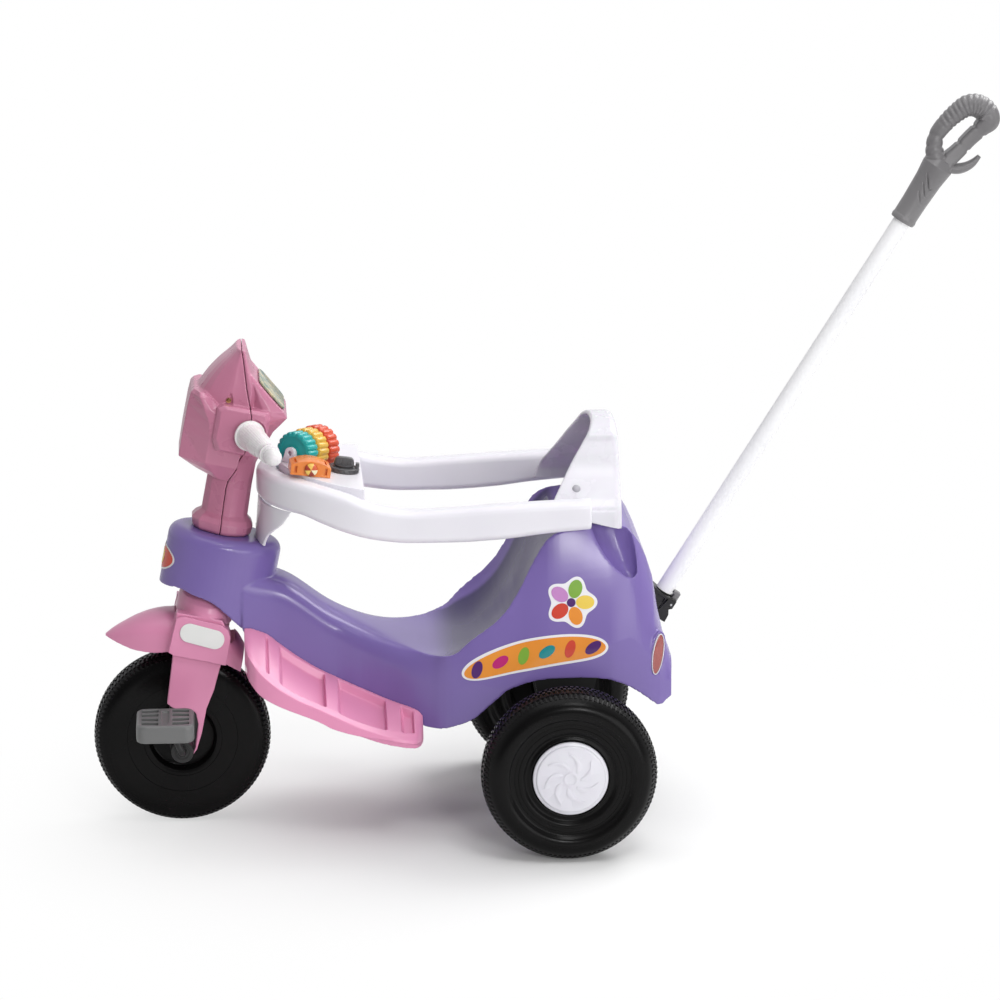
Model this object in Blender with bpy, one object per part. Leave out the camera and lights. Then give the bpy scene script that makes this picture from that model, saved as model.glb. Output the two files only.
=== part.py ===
"""A toddler's pedal tricycle with a push handle.

The vehicle faces -X and its wheels turn about Y. Pieces are modelled with X = 0 at the front axle
and Z = 0 on the floor, and the base empty then moves the whole trike to the middle of its length.
The steering pieces are modelled in a frame whose Z axis is the raked steering axis.
"""

import math

import bmesh
import bpy
from mathutils import Matrix, Vector

for old in list(bpy.data.objects):
    bpy.data.objects.remove(old, do_unlink=True)

# Clearances and walls
GAP = 0.0003
WALL = 0.003
TIP = 0.02

# Wheels and axles
FRONT_RADIUS = 0.1125
REAR_RADIUS = 0.110
WHEELBASE = 0.4805
REAR_TRACK = 0.381
RAKE = math.radians(11.4)
CRANK_ROD = 0.010
CRANK_RADIUS = 0.055
CRANK_ANGLE = math.radians(21.6)
REAR_ROD = 0.012
HUBCAP_RADIUS = 0.048

# Steering column, along the steering axis from the front axle
STEM_DIAMETER = 0.022
HOUSING_DIAMETER = 0.038
CROWN_TOP = 0.198
BUSH_FLANGE = 0.003
NOSE_TOP = 0.2737
FORK_INSIDE = 0.034
FORK_OUTSIDE = 0.053
BAR_DIAMETER = 0.014
BAR_ABOVE_NOSE = 0.1423
BAR_HEIGHT = NOSE_TOP + BAR_ABOVE_NOSE
STEM_TO_BAR = 0.021
STEM_TOP = BAR_HEIGHT - STEM_TO_BAR

# Push handle
TUBE_DIAMETER = 0.0222
TUBE_WALL = 0.0015
TUBE_FOOT = Vector((0.6172, 0, 0.2905))
TUBE_TILT = math.radians(31.9)
SPIGOT_LENGTH = 0.075

# Guard ring and backrest
RING_CENTRE_X = 0.250
RING_LENGTH = 0.152
RING_HALF_WIDTH = 0.150
RING_BAR = 0.030
RING_END_X = 0.511
BACKREST_REAR_X = 0.552

# Pedals
PEDAL_LENGTH = 0.072
PEDAL_WIDTH = 0.080
PEDAL_THICKNESS = 0.023
PEDAL_INNER = 0.096

REAR_END = TUBE_FOOT.x + 0.4147
FRONT_END = -FRONT_RADIUS
ORIGIN_X = (REAR_END + FRONT_END) / 2

COLOURS = {
    "purple plastic": ((0.155, 0.105, 0.345), 0.32, 0.0),
    "pink plastic": ((0.69, 0.265, 0.43), 0.36, 0.0),
    "white plastic": ((0.73, 0.71, 0.77), 0.38, 0.0),
    "grey plastic": ((0.14, 0.14, 0.15), 0.45, 0.0),
    "black plastic": ((0.012, 0.012, 0.012), 0.42, 0.0),
    "steel": ((0.55, 0.55, 0.57), 0.3, 1.0),
    "painted steel": ((0.78, 0.78, 0.80), 0.35, 0.0),
    "red lens": ((0.36, 0.09, 0.09), 0.25, 0.0),
    "teal plastic": ((0.02, 0.42, 0.40), 0.35, 0.0),
    "yellow plastic": ((0.78, 0.50, 0.06), 0.35, 0.0),
    "red plastic": ((0.72, 0.09, 0.03), 0.35, 0.0),
    "orange plastic": ((0.80, 0.24, 0.05), 0.35, 0.0),
}


def material(name):
    """A glossy plastic or metal from the table of colours."""
    found = bpy.data.materials.get(name)
    if found:
        return found
    made = bpy.data.materials.new(name)
    made.use_nodes = True
    colour, roughness, metallic = COLOURS[name]
    shader = made.node_tree.nodes["Principled BSDF"]
    shader.inputs["Base Color"].default_value = (*colour, 1)
    shader.inputs["Roughness"].default_value = roughness
    shader.inputs["Metallic"].default_value = metallic
    made.diffuse_color = (*colour, 1)
    return made


def frame(name, parent, location, rotation=(0, 0, 0)):
    """An empty that carries the pieces of one assembly or one joint."""
    empty = bpy.data.objects.new(name, None)
    bpy.context.collection.objects.link(empty)
    empty.location = location
    empty.rotation_euler = rotation
    empty.parent = parent
    return empty


def finished(name, bm, finish, parent, crease=35):
    """Turns a bmesh into a named piece, its faces outward and its round faces smooth."""
    bmesh.ops.recalc_face_normals(bm, faces=bm.faces)
    mesh = bpy.data.meshes.new(name)
    bm.to_mesh(mesh)
    bm.free()
    mesh.shade_smooth()
    mesh.set_sharp_from_angle(angle=math.radians(crease))
    piece = bpy.data.objects.new(name, mesh)
    bpy.context.collection.objects.link(piece)
    piece.parent = parent
    piece.data.materials.append(material(finish))
    return piece


def shape(bm, parent, name="cutter"):
    """A hidden solid that a Boolean adds, cuts or keeps."""
    piece = finished(name, bm, "grey plastic", parent)
    piece.hide_render = True
    piece.display_type = "WIRE"
    return piece


def combine(piece, operation, *others, solver="EXACT"):
    """Boolean modifiers on a piece, one for each of the other solids."""
    for other in others:
        modifier = piece.modifiers.new(operation.title(), "BOOLEAN")
        modifier.operation = operation
        modifier.object = other
        modifier.solver = solver
    return piece


def cut(piece, *others, solver="EXACT"):
    return combine(piece, "DIFFERENCE", *others, solver=solver)


def fuse(piece, *others, solver="EXACT"):
    return combine(piece, "UNION", *others, solver=solver)


def loft(rings, closed=False):
    """A skin over rings of equal length, with flat ends unless the rings close on themselves."""
    bm = bmesh.new()
    rows = [[bm.verts.new(point) for point in ring] for ring in rings]
    pairs = list(zip(rows, rows[1:]))
    if closed:
        pairs.append((rows[-1], rows[0]))
    for first, second in pairs:
        count = len(first)
        for i in range(count):
            j = (i + 1) % count
            bm.faces.new((first[i], first[j], second[j], second[i]))
    if not closed:
        bm.faces.new(reversed(rows[0]))
        bm.faces.new(rows[-1])
    return bm


def prism(outline, low, high, axis="Y"):
    """A flat outline drawn out between two heights along one axis."""
    bm = bmesh.new()
    verts = [bm.verts.new(along(axis, point, low)) for point in outline]
    face = bm.faces.new(verts)
    made = bmesh.ops.extrude_face_region(bm, geom=[face])
    moved = [item for item in made["geom"] if isinstance(item, bmesh.types.BMVert)]
    bmesh.ops.translate(bm, verts=moved, vec=along(axis, (0, 0), high - low))
    return bm


def along(axis, point, height):
    """A point of a flat outline, at a height along the axis."""
    a, b = point
    return {"X": (height, a, b), "Y": (a, height, b), "Z": (a, b, height)}[axis]


def box(low, high):
    """A block between two corners."""
    outline = ((low[0], low[1]), (high[0], low[1]), (high[0], high[1]), (low[0], high[1]))
    return prism(outline, low[2], high[2], "Z")


def turned(profile, steps=20, axis="Z", centre=(0, 0, 0)):
    """A closed profile of (radius, height) points spun about an axis through the centre."""
    bm = bmesh.new()
    verts = [bm.verts.new((radius, 0, height)) for radius, height in profile]
    edges = [bm.edges.new((a, b)) for a, b in zip(verts, verts[1:])]
    if min(radius for radius, _ in profile) > 0:
        edges.append(bm.edges.new((verts[-1], verts[0])))
    bmesh.ops.spin(
        bm, geom=verts + edges, cent=(0, 0, 0), axis=(0, 0, 1), angle=2 * math.pi, steps=steps,
        use_merge=True
    )
    bmesh.ops.remove_doubles(bm, verts=bm.verts, dist=1e-6)
    turn = {"Z": Matrix(), "Y": Matrix.Rotation(-math.pi / 2, 4, "X"),
        "X": Matrix.Rotation(math.pi / 2, 4, "Y")}
    bmesh.ops.transform(bm, matrix=Matrix.Translation(centre) @ turn[axis], verts=bm.verts)
    return bm


def rod(radius, low, high, axis="Z", centre=(0, 0, 0), steps=16):
    """A plain round bar."""
    return turned(((0, low), (radius, low), (radius, high), (0, high)), steps, axis, centre)


def arc(centre, radius, start, end, steps):
    """Points of a circular arc, its angles in degrees."""
    angles = [math.radians(start + (end - start) * i / steps) for i in range(steps + 1)]
    return [(centre[0] + radius * math.cos(a), centre[1] + radius * math.sin(a)) for a in angles]


def rounded_rectangle(width, height, radius, steps=3, centre=(0, 0)):
    """The outline of a rectangle with round corners."""
    points = []
    for quarter, (sx, sy) in enumerate(((1, 1), (-1, 1), (-1, -1), (1, -1))):
        corner = (centre[0] + sx * (width / 2 - radius), centre[1] + sy * (height / 2 - radius))
        points += arc(corner, radius, 90 * quarter, 90 * quarter + 90, steps)
    return points


def read(table, x):
    """The value of a table of (x, value) pairs at x, joined by smooth curves that keep its steps."""
    if x <= table[0][0]:
        return table[0][1]
    for i, ((x0, y0), (x1, y1)) in enumerate(zip(table, table[1:])):
        if x > x1:
            continue
        slope = (y1 - y0) / (x1 - x0)
        before = slope if i == 0 else (y0 - table[i - 1][1]) / (x0 - table[i - 1][0])
        after = slope if i + 2 >= len(table) else (table[i + 2][1] - y1) / (table[i + 2][0] - x1)
        start = tangent(before, slope)
        end = tangent(slope, after)
        t = (x - x0) / (x1 - x0)
        width = x1 - x0
        rise = t * t * (3 - 2 * t)
        return y0 + (y1 - y0) * rise + width * (start * t * (1 - t) ** 2 - end * t * t * (1 - t))
    return table[-1][1]


def tangent(left, right):
    """A slope between two neighbours that never overshoots."""
    return 0 if left * right <= 0 else 2 * left * right / (left + right)


def swept(path, radii, side, steps=12, squash=1.0):
    """A round bar along a flat path, whose plane has the given side vector as its normal."""
    normal = Vector(side).normalized()
    points = [Vector(p) for p in path]
    rings = []
    for i, point in enumerate(points):
        ahead = points[min(i + 1, len(points) - 1)] - points[max(i - 1, 0)]
        across = normal.cross(ahead.normalized())
        radius = radii[i] if isinstance(radii, (list, tuple)) else radii
        ring = []
        for step in range(steps):
            angle = 2 * math.pi * step / steps
            ring.append(point + across * radius * math.cos(angle)
                + normal * radius * squash * math.sin(angle))
        rings.append(ring)
    return loft(rings)


def softened(points, radius, steps=4):
    """A path with each inner corner rounded by an arc of about the given radius."""
    points = [Vector(p) for p in points]
    soft = [points[0]]
    for before, corner, after in zip(points, points[1:], points[2:]):
        back = (before - corner).normalized()
        on = (after - corner).normalized()
        for i in range(steps + 1):
            t = i / steps
            soft.append(corner + back * radius * (1 - t) ** 2 + on * radius * t * t)
    soft.append(points[-1])
    return soft


def mirrored(name, build, finish, parent, crease=35):
    """The left and right copies of a piece. The build function takes the side, -1 near and +1 far."""
    return {
        side: finished(f"{name}_{word}", build(side), finish, parent, crease)
        for side, word in ((-1, "left"), (1, "right"))
    }


base = frame("base", None, (-ORIGIN_X, 0, 0))
steering = frame("steering", base, (0, 0, FRONT_RADIUS), (0, RAKE, 0))

# Body shell

# Heights and half-widths along the body, as (x, value)
RIDGE = (
    (0.078, 0.334), (0.131, 0.318), (0.191, 0.278), (0.239, 0.255), (0.276, 0.2435), (0.312, 0.238),
    (0.340, 0.243), (0.360, 0.262), (0.402, 0.298), (0.423, 0.330), (0.441, 0.366), (0.461, 0.394),
    (0.480, 0.402), (0.512, 0.405), (0.557, 0.400), (0.570, 0.388), (0.580, 0.370), (0.588, 0.350),
    (0.597, 0.314), (0.602, 0.277), (0.610, 0.250), (0.616, 0.236),
)
SEAT = (
    (0.078, 0.338), (0.131, 0.322), (0.191, 0.282), (0.239, 0.258), (0.276, 0.2445), (0.312, 0.236),
    (0.340, 0.2335), (0.370, 0.238), (0.402, 0.262), (0.423, 0.290), (0.440, 0.322), (0.461, 0.370),
    (0.480, 0.398), (0.512, 0.405), (0.557, 0.400), (0.570, 0.388), (0.580, 0.370), (0.588, 0.350),
    (0.597, 0.314), (0.602, 0.277), (0.610, 0.250), (0.616, 0.236),
)
RIDGE_HALF = (
    (0.078, 0.030), (0.191, 0.026), (0.239, 0.036), (0.276, 0.060), (0.312, 0.096), (0.340, 0.118),
    (0.402, 0.128), (0.461, 0.116), (0.512, 0.110), (0.557, 0.104), (0.588, 0.092), (0.602, 0.088),
    (0.616, 0.078),
)
SIDE_HALF = (
    (0.078, 0.054), (0.130, 0.047), (0.193, 0.048), (0.225, 0.055), (0.258, 0.070), (0.300, 0.097),
    (0.343, 0.122), (0.382, 0.134), (0.456, 0.142), (0.531, 0.141), (0.566, 0.135), (0.597, 0.125),
    (0.616, 0.112),
)
BULGE = ((0.078, 1.0), (0.258, 0.9), (0.343, 0.35), (0.402, 0.15), (0.512, 0.30), (0.580, 0.45),
    (0.616, 0.6))
SHOULDER_DROP = ((0.078, 0.026), (0.239, 0.028), (0.312, 0.034), (0.360, 0.055), (0.420, 0.110),
    (0.500, 0.150), (0.580, 0.12), (0.616, 0.03))
STATIONS = (
    0.078, 0.131, 0.160, 0.191, 0.225, 0.258, 0.285, 0.312, 0.340, 0.360,
    0.380, 0.402, 0.423, 0.441, 0.461, 0.480, 0.512, 0.557, 0.570, 0.580, 0.588, 0.597, 0.604, 0.616,
)
PLAIN_STATIONS = (0.512, 0.604)
BODY_FLOOR = 0.100

# The lower edge of the shell, seen from the side
LOWER_EDGE = (
    (-0.030, 0.3150), (-0.0035, 0.3170), (0.016, 0.3096), (0.039, 0.3006), (0.051, 0.290), (0.070, 0.2705),
    (0.082, 0.2576), (0.155, 0.210), (0.221, 0.178), (0.3007, 0.1464), (0.3166, 0.1442), (0.329, 0.146),
    (0.342, 0.1506), (0.362, 0.160), (0.3805, 0.176), (0.397, 0.192), (0.410, 0.203), (0.454, 0.216),
    (0.498, 0.2176), (0.528, 0.2154), (0.547, 0.2096), (0.564, 0.201), (0.581, 0.1885), (0.595, 0.177),
    (0.601, 0.1735), (0.607, 0.1775), (0.616, 0.183), (0.640, 0.183),
)

# The nose, in the steering frame
NOSE_FRONT = 0.066
NOSE_REAR = 0.078
NOSE_HALF = 0.060
NOSE_ROUND = 0.014
NOSE_FLOOR = 0.110

# Ribs, housings and bosses inside the shell
RIBS = ((0.330, 0.180), (0.435, 0.235), (0.525, 0.235))
RIB_THICKNESS = 0.003
PLATE_TOP = 0.262
AXLE_PLATE_INNER = 0.126
AXLE_PLATE_OUTER = 0.136
AXLE_BOSS = 0.017
POCKET_RADIUS = 0.027
POCKET_PLACE = (0.545, 0.122)
POCKET_FLOOR = 0.330
BUMPER_HALF = 0.062
BUMPER_X = 0.6215
BUMPER_TOP = 0.221


def body_ring(x, inset=0.0):
    """One cross-section of the body, from the floor up the far side, over the seat and down again."""
    ridge = read(RIDGE, x) - inset
    seat = read(SEAT, x) - inset
    side = read(SIDE_HALF, x) - inset
    top = min(read(RIDGE_HALF, x) - inset * 0.6, side - 0.002)
    bulge = read(BULGE, x)
    low = ridge - read(SHOULDER_DROP, x)
    bend_y = (side + top) / 2 * (1 - bulge) + side * bulge
    bend_z = (low + ridge) / 2 * (1 - bulge) + ridge * bulge
    half = [(side, BODY_FLOOR), (side, (BODY_FLOOR + low) / 2), (side, low)]
    for t in (0.5,) if inset > 0 else (0.3, 0.65):
        half.append((
            side * (1 - t) ** 2 + 2 * bend_y * t * (1 - t) + top * t * t,
            low * (1 - t) ** 2 + 2 * bend_z * t * (1 - t) + ridge * t * t,
        ))
    half.append((top, ridge))
    for share in (0.93, 0.80, 0.50):
        half.append((top * share, seat + (ridge - seat) * share ** 2.6))
    half.append((0, seat))
    ring = half + [(-y, z) for y, z in reversed(half[:-1])]
    return [(x, y, z) for y, z in ring]


def body_loft(inset=0.0):
    """The seat and tail form. The inner one stops a wall short of the tail."""
    places = list(STATIONS)
    if inset > 0:
        rear = places[-1] - inset
        places = [x for x in places if x not in PLAIN_STATIONS and x < rear] + [rear]
    return loft([body_ring(x, inset) for x in places])


def egg(front, rear, half, steps=8):
    """The plan of the nose: a half ellipse to the front and another to the rear."""
    points = []
    for i in range(2 * steps):
        angle = math.pi * i / steps
        reach = rear if math.cos(angle) > 0 else front
        points.append((reach * math.cos(angle), half * math.sin(angle)))
    return points


def nose_loft(inset=0.0):
    """The nose form: the egg plan drawn up the steering axis, with a round upper edge."""
    top = NOSE_TOP - inset
    radius = NOSE_ROUND - inset * 0.5
    rings = []
    for height, shrink in [(NOSE_FLOOR, inset)] + [
        (top - radius + radius * math.sin(a), inset + radius * (1 - math.cos(a)))
        for a in (0, math.radians(40), math.radians(90))
    ]:
        plan = egg(NOSE_FRONT - shrink, NOSE_REAR - shrink, NOSE_HALF - shrink)
        rings.append([(x, y, height) for x, y in plan])
    return loft(rings)


def axle_plate(side):
    """A bracket that hangs from the ribs and carries the rear axle."""
    boss = arc((WHEELBASE, REAR_RADIUS), AXLE_BOSS, 180 + TIP * 1000, 360 - TIP * 1000, 8)
    outline = [(RIBS[1][0] - 0.004, PLATE_TOP)] + boss + [(RIBS[2][0] + 0.004, PLATE_TOP)]
    low, high = sorted((side * AXLE_PLATE_INNER, side * AXLE_PLATE_OUTER))
    return prism(outline, low, high, "Y")


def build_body():
    body = finished("body_shell", body_loft(), "purple plastic", base)
    outer_nose = shape(nose_loft(), steering)
    bumper_outline = rounded_rectangle(2 * BUMPER_HALF, BUMPER_TOP - 0.140, 0.014, 4,
        (0, (BUMPER_TOP + 0.140) / 2))
    bumper = shape(prism(bumper_outline, 0.600, BUMPER_X, "X"), base)
    fuse(body, outer_nose, bumper, solver="MANIFOLD")

    cavity = shape(body_loft(WALL), base, "cavity")
    nose_cavity = shape(nose_loft(WALL), steering)
    ribs = []
    for x, low in RIBS:
        ribs.append(shape(box((x - RIB_THICKNESS / 2, -0.16, low), (x + RIB_THICKNESS / 2, 0.16, 0.42)),
            base))
    keel = shape(box((0.110, -RIB_THICKNESS / 2, 0.225), (0.300, RIB_THICKNESS / 2, 0.36)), base)
    housing = shape(rod(HOUSING_DIAMETER / 2, CROWN_TOP + BUSH_FLANGE + 2 * GAP, 0.30, steps=16), steering)
    pockets = []
    for side in (-1, 1):
        well = rod(POCKET_RADIUS + WALL, POCKET_FLOOR - WALL, 0.45, "Z",
            (POCKET_PLACE[0], side * POCKET_PLACE[1], 0), 14)
        pockets.append(shape(well, base))
    fuse(cavity, nose_cavity, solver="MANIFOLD")
    cut(cavity, *ribs, keel, housing, *pockets, solver="MANIFOLD")
    cut(body, cavity, solver="MANIFOLD")

    below = [(LOWER_EDGE[0][0] - 0.1, BODY_FLOOR - 0.05)]
    below += [(LOWER_EDGE[0][0] - 0.1, LOWER_EDGE[0][1])] + list(LOWER_EDGE)
    below += [(LOWER_EDGE[-1][0] + 0.05, LOWER_EDGE[-1][1]), (LOWER_EDGE[-1][0] + 0.05, BODY_FLOOR - 0.05)]
    cut(body, shape(prism(below, -0.2, 0.2, "Y"), base), solver="MANIFOLD")

    for side in (-1, 1):
        fuse(body, shape(axle_plate(side), base), solver="MANIFOLD")
        well = rod(POCKET_RADIUS, POCKET_FLOOR, 0.45, "Z", (POCKET_PLACE[0], side * POCKET_PLACE[1], 0), 14)
        cut(body, shape(well, base), solver="MANIFOLD")
    cut(body, shape(rod(REAR_ROD / 2 + GAP, -0.2, 0.2, "Y", (WHEELBASE, 0, REAR_RADIUS), 14), base),
        solver="MANIFOLD")
    cut(body, shape(rod(STEM_DIAMETER / 2 + 0.0043, 0.15, 0.35, steps=16), steering), solver="MANIFOLD")
    return body


body_shell = build_body()

# Bushes, rear axle, reflectors and footrests

HOUSING_BORE = STEM_DIAMETER / 2 + 0.0043
BUSH_OUTER = HOUSING_BORE - GAP
BUSH_INNER = STEM_DIAMETER / 2 + GAP
BUSH_FLANGE_RADIUS = 0.0185
BUSH_LENGTH = 0.022


def bush(low, up):
    """A flanged sleeve in the steering housing, its flange below or above."""
    flange = low + up * -BUSH_FLANGE
    profile = (
        (BUSH_INNER, flange), (BUSH_FLANGE_RADIUS, flange), (BUSH_FLANGE_RADIUS, low),
        (BUSH_OUTER, low), (BUSH_OUTER, low + up * BUSH_LENGTH), (BUSH_INNER, low + up * BUSH_LENGTH),
    )
    return turned(profile, 16)


HOUSING_FOOT = CROWN_TOP + BUSH_FLANGE + 2 * GAP
finished("lower_steering_bush", bush(HOUSING_FOOT - GAP, 1), "black plastic", steering)
finished("upper_steering_bush", bush(NOSE_TOP + GAP, -1), "black plastic", steering)

AXLE_END = REAR_TRACK / 2 + 0.014
finished("rear_axle", rod(REAR_ROD / 2, -AXLE_END, AXLE_END, "Y", steps=20), "steel",
         frame("rear_axle_line", base, (WHEELBASE, 0, REAR_RADIUS)))

# Footrests: half-widths and heights along the body, as (x, value)
STEP_INNER_Z = (
    (0.088, 0.266), (0.109, 0.257), (0.126, 0.2425), (0.156, 0.2205), (0.187, 0.203), (0.224, 0.187),
    (0.264, 0.174), (0.297, 0.167), (0.303, 0.162),
)
STEP_OUTER_Z = ((0.075, 0.256), (0.103, 0.222), (0.140, 0.196), (0.177, 0.179), (0.227, 0.156),
    (0.252, 0.148), (0.303, 0.138))
STEP_SKIRT_Z = ((0.075, 0.225), (0.099, 0.196), (0.115, 0.187), (0.174, 0.163), (0.189, 0.155),
    (0.227, 0.145), (0.303, 0.1355))
STEP_OUTER_HALF = (
    (0.080, 0.090), (0.085, 0.108), (0.095, 0.120), (0.125, 0.130), (0.177, 0.135), (0.227, 0.139),
    (0.275, 0.143),
    (0.292, 0.138), (0.300, 0.124), (0.303, 0.112),
)
STEP_RIBS = ((0.108, 0.126), (0.179, 0.199), (0.255, 0.277))
STEP_LIP = 0.007
STEP_PANEL_DEPTH = 0.0025
STEP_SHELL = 0.0028


def step_ring(side, x, raised):
    """One cross-section of a footrest: its tread, its outer lip and its skirt, open below."""
    inner_y = max(read(SIDE_HALF, x), 0.0475) - 0.001
    inner_z = read(STEP_INNER_Z, x)
    outer_y = read(STEP_OUTER_HALF, x)
    outer_z = read(STEP_OUTER_Z, x)
    skirt_z = min(read(STEP_SKIRT_Z, x), outer_z - 0.006)
    slope = (outer_z - inner_z) / (outer_y - inner_y)
    sunk = 0 if raised else STEP_PANEL_DEPTH
    lip = min(STEP_LIP, (outer_y - inner_y) / 5)
    points = [
        (inner_y, inner_z - 0.010), (inner_y, inner_z),
        (inner_y + lip, inner_z + slope * lip - sunk * 0.4), (inner_y + lip * 1.5,
        inner_z + slope * lip * 1.5 - sunk),
        (outer_y - lip * 1.5, outer_z - slope * lip * 1.5 - sunk), (outer_y - lip, outer_z - slope * lip),
        (outer_y, outer_z), (outer_y + 0.0015, skirt_z),
        (outer_y + 0.0015 - STEP_SHELL, skirt_z), (outer_y - STEP_SHELL, outer_z - STEP_SHELL * 2.2),
        (inner_y + STEP_SHELL, inner_z - STEP_SHELL * 2.2), (inner_y + STEP_SHELL, inner_z - 0.010),
    ]
    return [(x, side * y, z) for y, z in points]


def build_step(side):
    places = [(0.080, True), (0.085, True), (0.095, True)]
    for start, end in STEP_RIBS:
        places += [(start - 0.003, False), (start, True), (end, True), (end + 0.003, False)]
    places += [(0.152, False), (0.228, False), (0.286, True), (0.296, True), (0.303, True)]
    return loft([step_ring(side, x, raised) for x, raised in sorted(places)])


steps = mirrored("footrest", build_step, "pink plastic", base)
for step in steps.values():
    cut(step, shape(body_loft(-GAP), base), shape(nose_loft(-GAP), steering))

# Rear reflectors: a lens that follows the corner of the tail
REFLECTOR_CENTRE = Vector((0.5975, 0.1243, 0.2415))
REFLECTOR_SIZE = (0.016, 0.053)
REFLECTOR_DEPTH = 0.004
REFLECTOR_TURN = math.radians(66)
REFLECTOR_LEAN = math.radians(8.6)
reflectors = {}
for side, word in ((-1, "left"), (1, "right")):
    place = frame(f"reflector_place_{word}", base, (REFLECTOR_CENTRE.x, side * REFLECTOR_CENTRE.y,
        REFLECTOR_CENTRE.z),
                  (side * REFLECTOR_LEAN, 0, side * REFLECTOR_TURN))
    oval = [(REFLECTOR_SIZE[0] / 2 * math.cos(a), REFLECTOR_SIZE[1] / 2 * math.sin(a))
            for a in [2 * math.pi * i / 16 for i in range(16)]]
    wide = [(y * 1.03, z * 1.012) for y, z in oval]
    pad = shape(prism([(y * 1.45, z * 1.14) for y, z in oval], -0.012, -GAP, "X"), place)
    fuse(body_shell, pad, solver="MANIFOLD")
    pocket = shape(prism(wide, -REFLECTOR_DEPTH, 0.02, "X"), place)
    cut(body_shell, pocket, solver="MANIFOLD")
    reflectors[side] = finished(f"rear_reflector_{word}", prism(oval, -REFLECTOR_DEPTH + GAP, 0.001, "X"),
        "red lens", place)

# Guard ring

RING_TOP = (
    (0.098, 0.464), (0.130, 0.466), (0.170, 0.462), (0.205, 0.455), (0.232, 0.446), (0.260, 0.440),
    (0.296, 0.436), (0.343, 0.438), (0.391, 0.441), (0.453, 0.444), (0.511, 0.446),
)
RING_LOW = (
    (0.098, 0.4255), (0.145, 0.425), (0.176, 0.417), (0.203, 0.409), (0.238, 0.401), (0.290, 0.3955),
    (0.340, 0.3955), (0.402, 0.3986), (0.457, 0.405), (0.511, 0.4095),
)
RING_CORNER = 0.009


def ring_path():
    """Places round the ring in plan, with their outward direction: left arm, front, right arm."""
    places = []
    for x in (RING_END_X, 0.440, 0.375, 0.320, 0.285):
        places.append((Vector((x, -RING_HALF_WIDTH, 0)), Vector((0, -1, 0))))
    steps = 16
    for i in range(steps + 1):
        angle = math.pi * i / steps
        point = Vector((RING_CENTRE_X - RING_LENGTH * math.sin(angle), -RING_HALF_WIDTH * math.cos(angle),
            0))
        out = Vector((-math.sin(angle) / RING_LENGTH, -math.cos(angle) / RING_HALF_WIDTH, 0)).normalized()
        places.append((point, out))
    for point, out in reversed(places[:5]):
        places.append((Vector((point.x, -point.y, 0)), -out))
    return places


def ring_section(point, out, width=RING_BAR):
    """The rounded upright section of the ring at one place."""
    low = read(RING_LOW, point.x)
    top = read(RING_TOP, point.x)
    outline = rounded_rectangle(width, top - low, RING_CORNER, 2, (-width / 2, (top + low) / 2))
    return [point + out * offset + Vector((0, 0, height)) for offset, height in outline]


finished("guard_ring", loft([ring_section(*place) for place in ring_path()]), "white plastic", base)

# Play tray inside the front of the ring
TRAY_REAR_X = 0.231
TRAY_REAR_TOP = 0.459
TRAY_RISE = 0.015
TRAY_FRONT_X = 0.120
TRAY_DEPTH = 0.031
TRAY_FLOOR = TRAY_REAR_TOP - TRAY_DEPTH
TRAY_OVERLAP = 0.002
TRAY_SLOPE = TRAY_RISE / (TRAY_REAR_X - TRAY_FRONT_X)
TRAY_ANGLE = math.atan(TRAY_SLOPE)


def tray_top(x):
    """The height of the tray's top face at x."""
    return TRAY_REAR_TOP + TRAY_SLOPE * (TRAY_REAR_X - x)


def tray_outline(inset, rear):
    """The plan of the tray: the inside of the ring, cut off at its rear wall."""
    reach_x = RING_LENGTH - RING_BAR - GAP - inset
    reach_y = RING_HALF_WIDTH - RING_BAR - GAP - inset
    edge = math.acos((RING_CENTRE_X - rear) / reach_x)
    points = []
    steps = 16
    for i in range(steps + 1):
        angle = -edge + 2 * edge * i / steps
        points.append((RING_CENTRE_X - reach_x * math.cos(angle), reach_y * math.sin(angle)))
    return points


def tray_block(inset, rear, low, drop):
    """The tray's plan drawn up to its sloping top face."""
    outline = tray_outline(inset, rear)
    return loft([[(x, y, low) for x, y in outline], [(x, y, tray_top(x) - drop) for x, y in outline]])


play_tray = finished("play_tray", tray_block(-TRAY_OVERLAP, TRAY_REAR_X, TRAY_FLOOR, 0), "white plastic",
    base)
cut(play_tray, shape(tray_block(WALL + TRAY_OVERLAP, TRAY_REAR_X - WALL, TRAY_FLOOR - 0.01, WALL), base))
cut(play_tray, shape(loft([ring_section(*place, RING_BAR + GAP) for place in ring_path()]), base))

# Front support: a curved shield that carries the ring on the nose
SHIELD_CENTRE_X = 0.1665
SHIELD_REACH = 0.070
SHIELD_SPREAD = 0.098
SHIELD_THICKNESS = 0.004
SHIELD_HALF = ((0.366, 0.040), (0.376, 0.044), (0.386, 0.052), (0.396, 0.066), (0.406, 0.080),
    (0.4245, 0.092))
SHIELD_TAB = (0.030, 0.006)


def nose_height(x):
    """The height of the nose's top face, which is square to the steering axis."""
    return FRONT_RADIUS + (NOSE_TOP - x * math.sin(RAKE)) / math.cos(RAKE)


def shield_ring(share):
    """A level of the shield, from its foot on the nose (0) to its top under the ring (1)."""
    half = read(SHIELD_HALF, 0.370 + (0.4245 - 0.370) * share)
    outer, inner = [], []
    for i in range(9):
        y = half * (-1 + 2 * i / 8)
        for row, reach in ((outer, 0), (inner, SHIELD_THICKNESS)):
            bend = math.sqrt(1 - (y / (SHIELD_SPREAD + 0.004)) ** 2)
            x = SHIELD_CENTRE_X - (SHIELD_REACH - reach) * bend + 0.004 * share
            foot = nose_height(x) + GAP
            row.append((x, y, foot + (0.4255 - GAP - foot) * share))
    return outer + inner[::-1]


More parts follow.
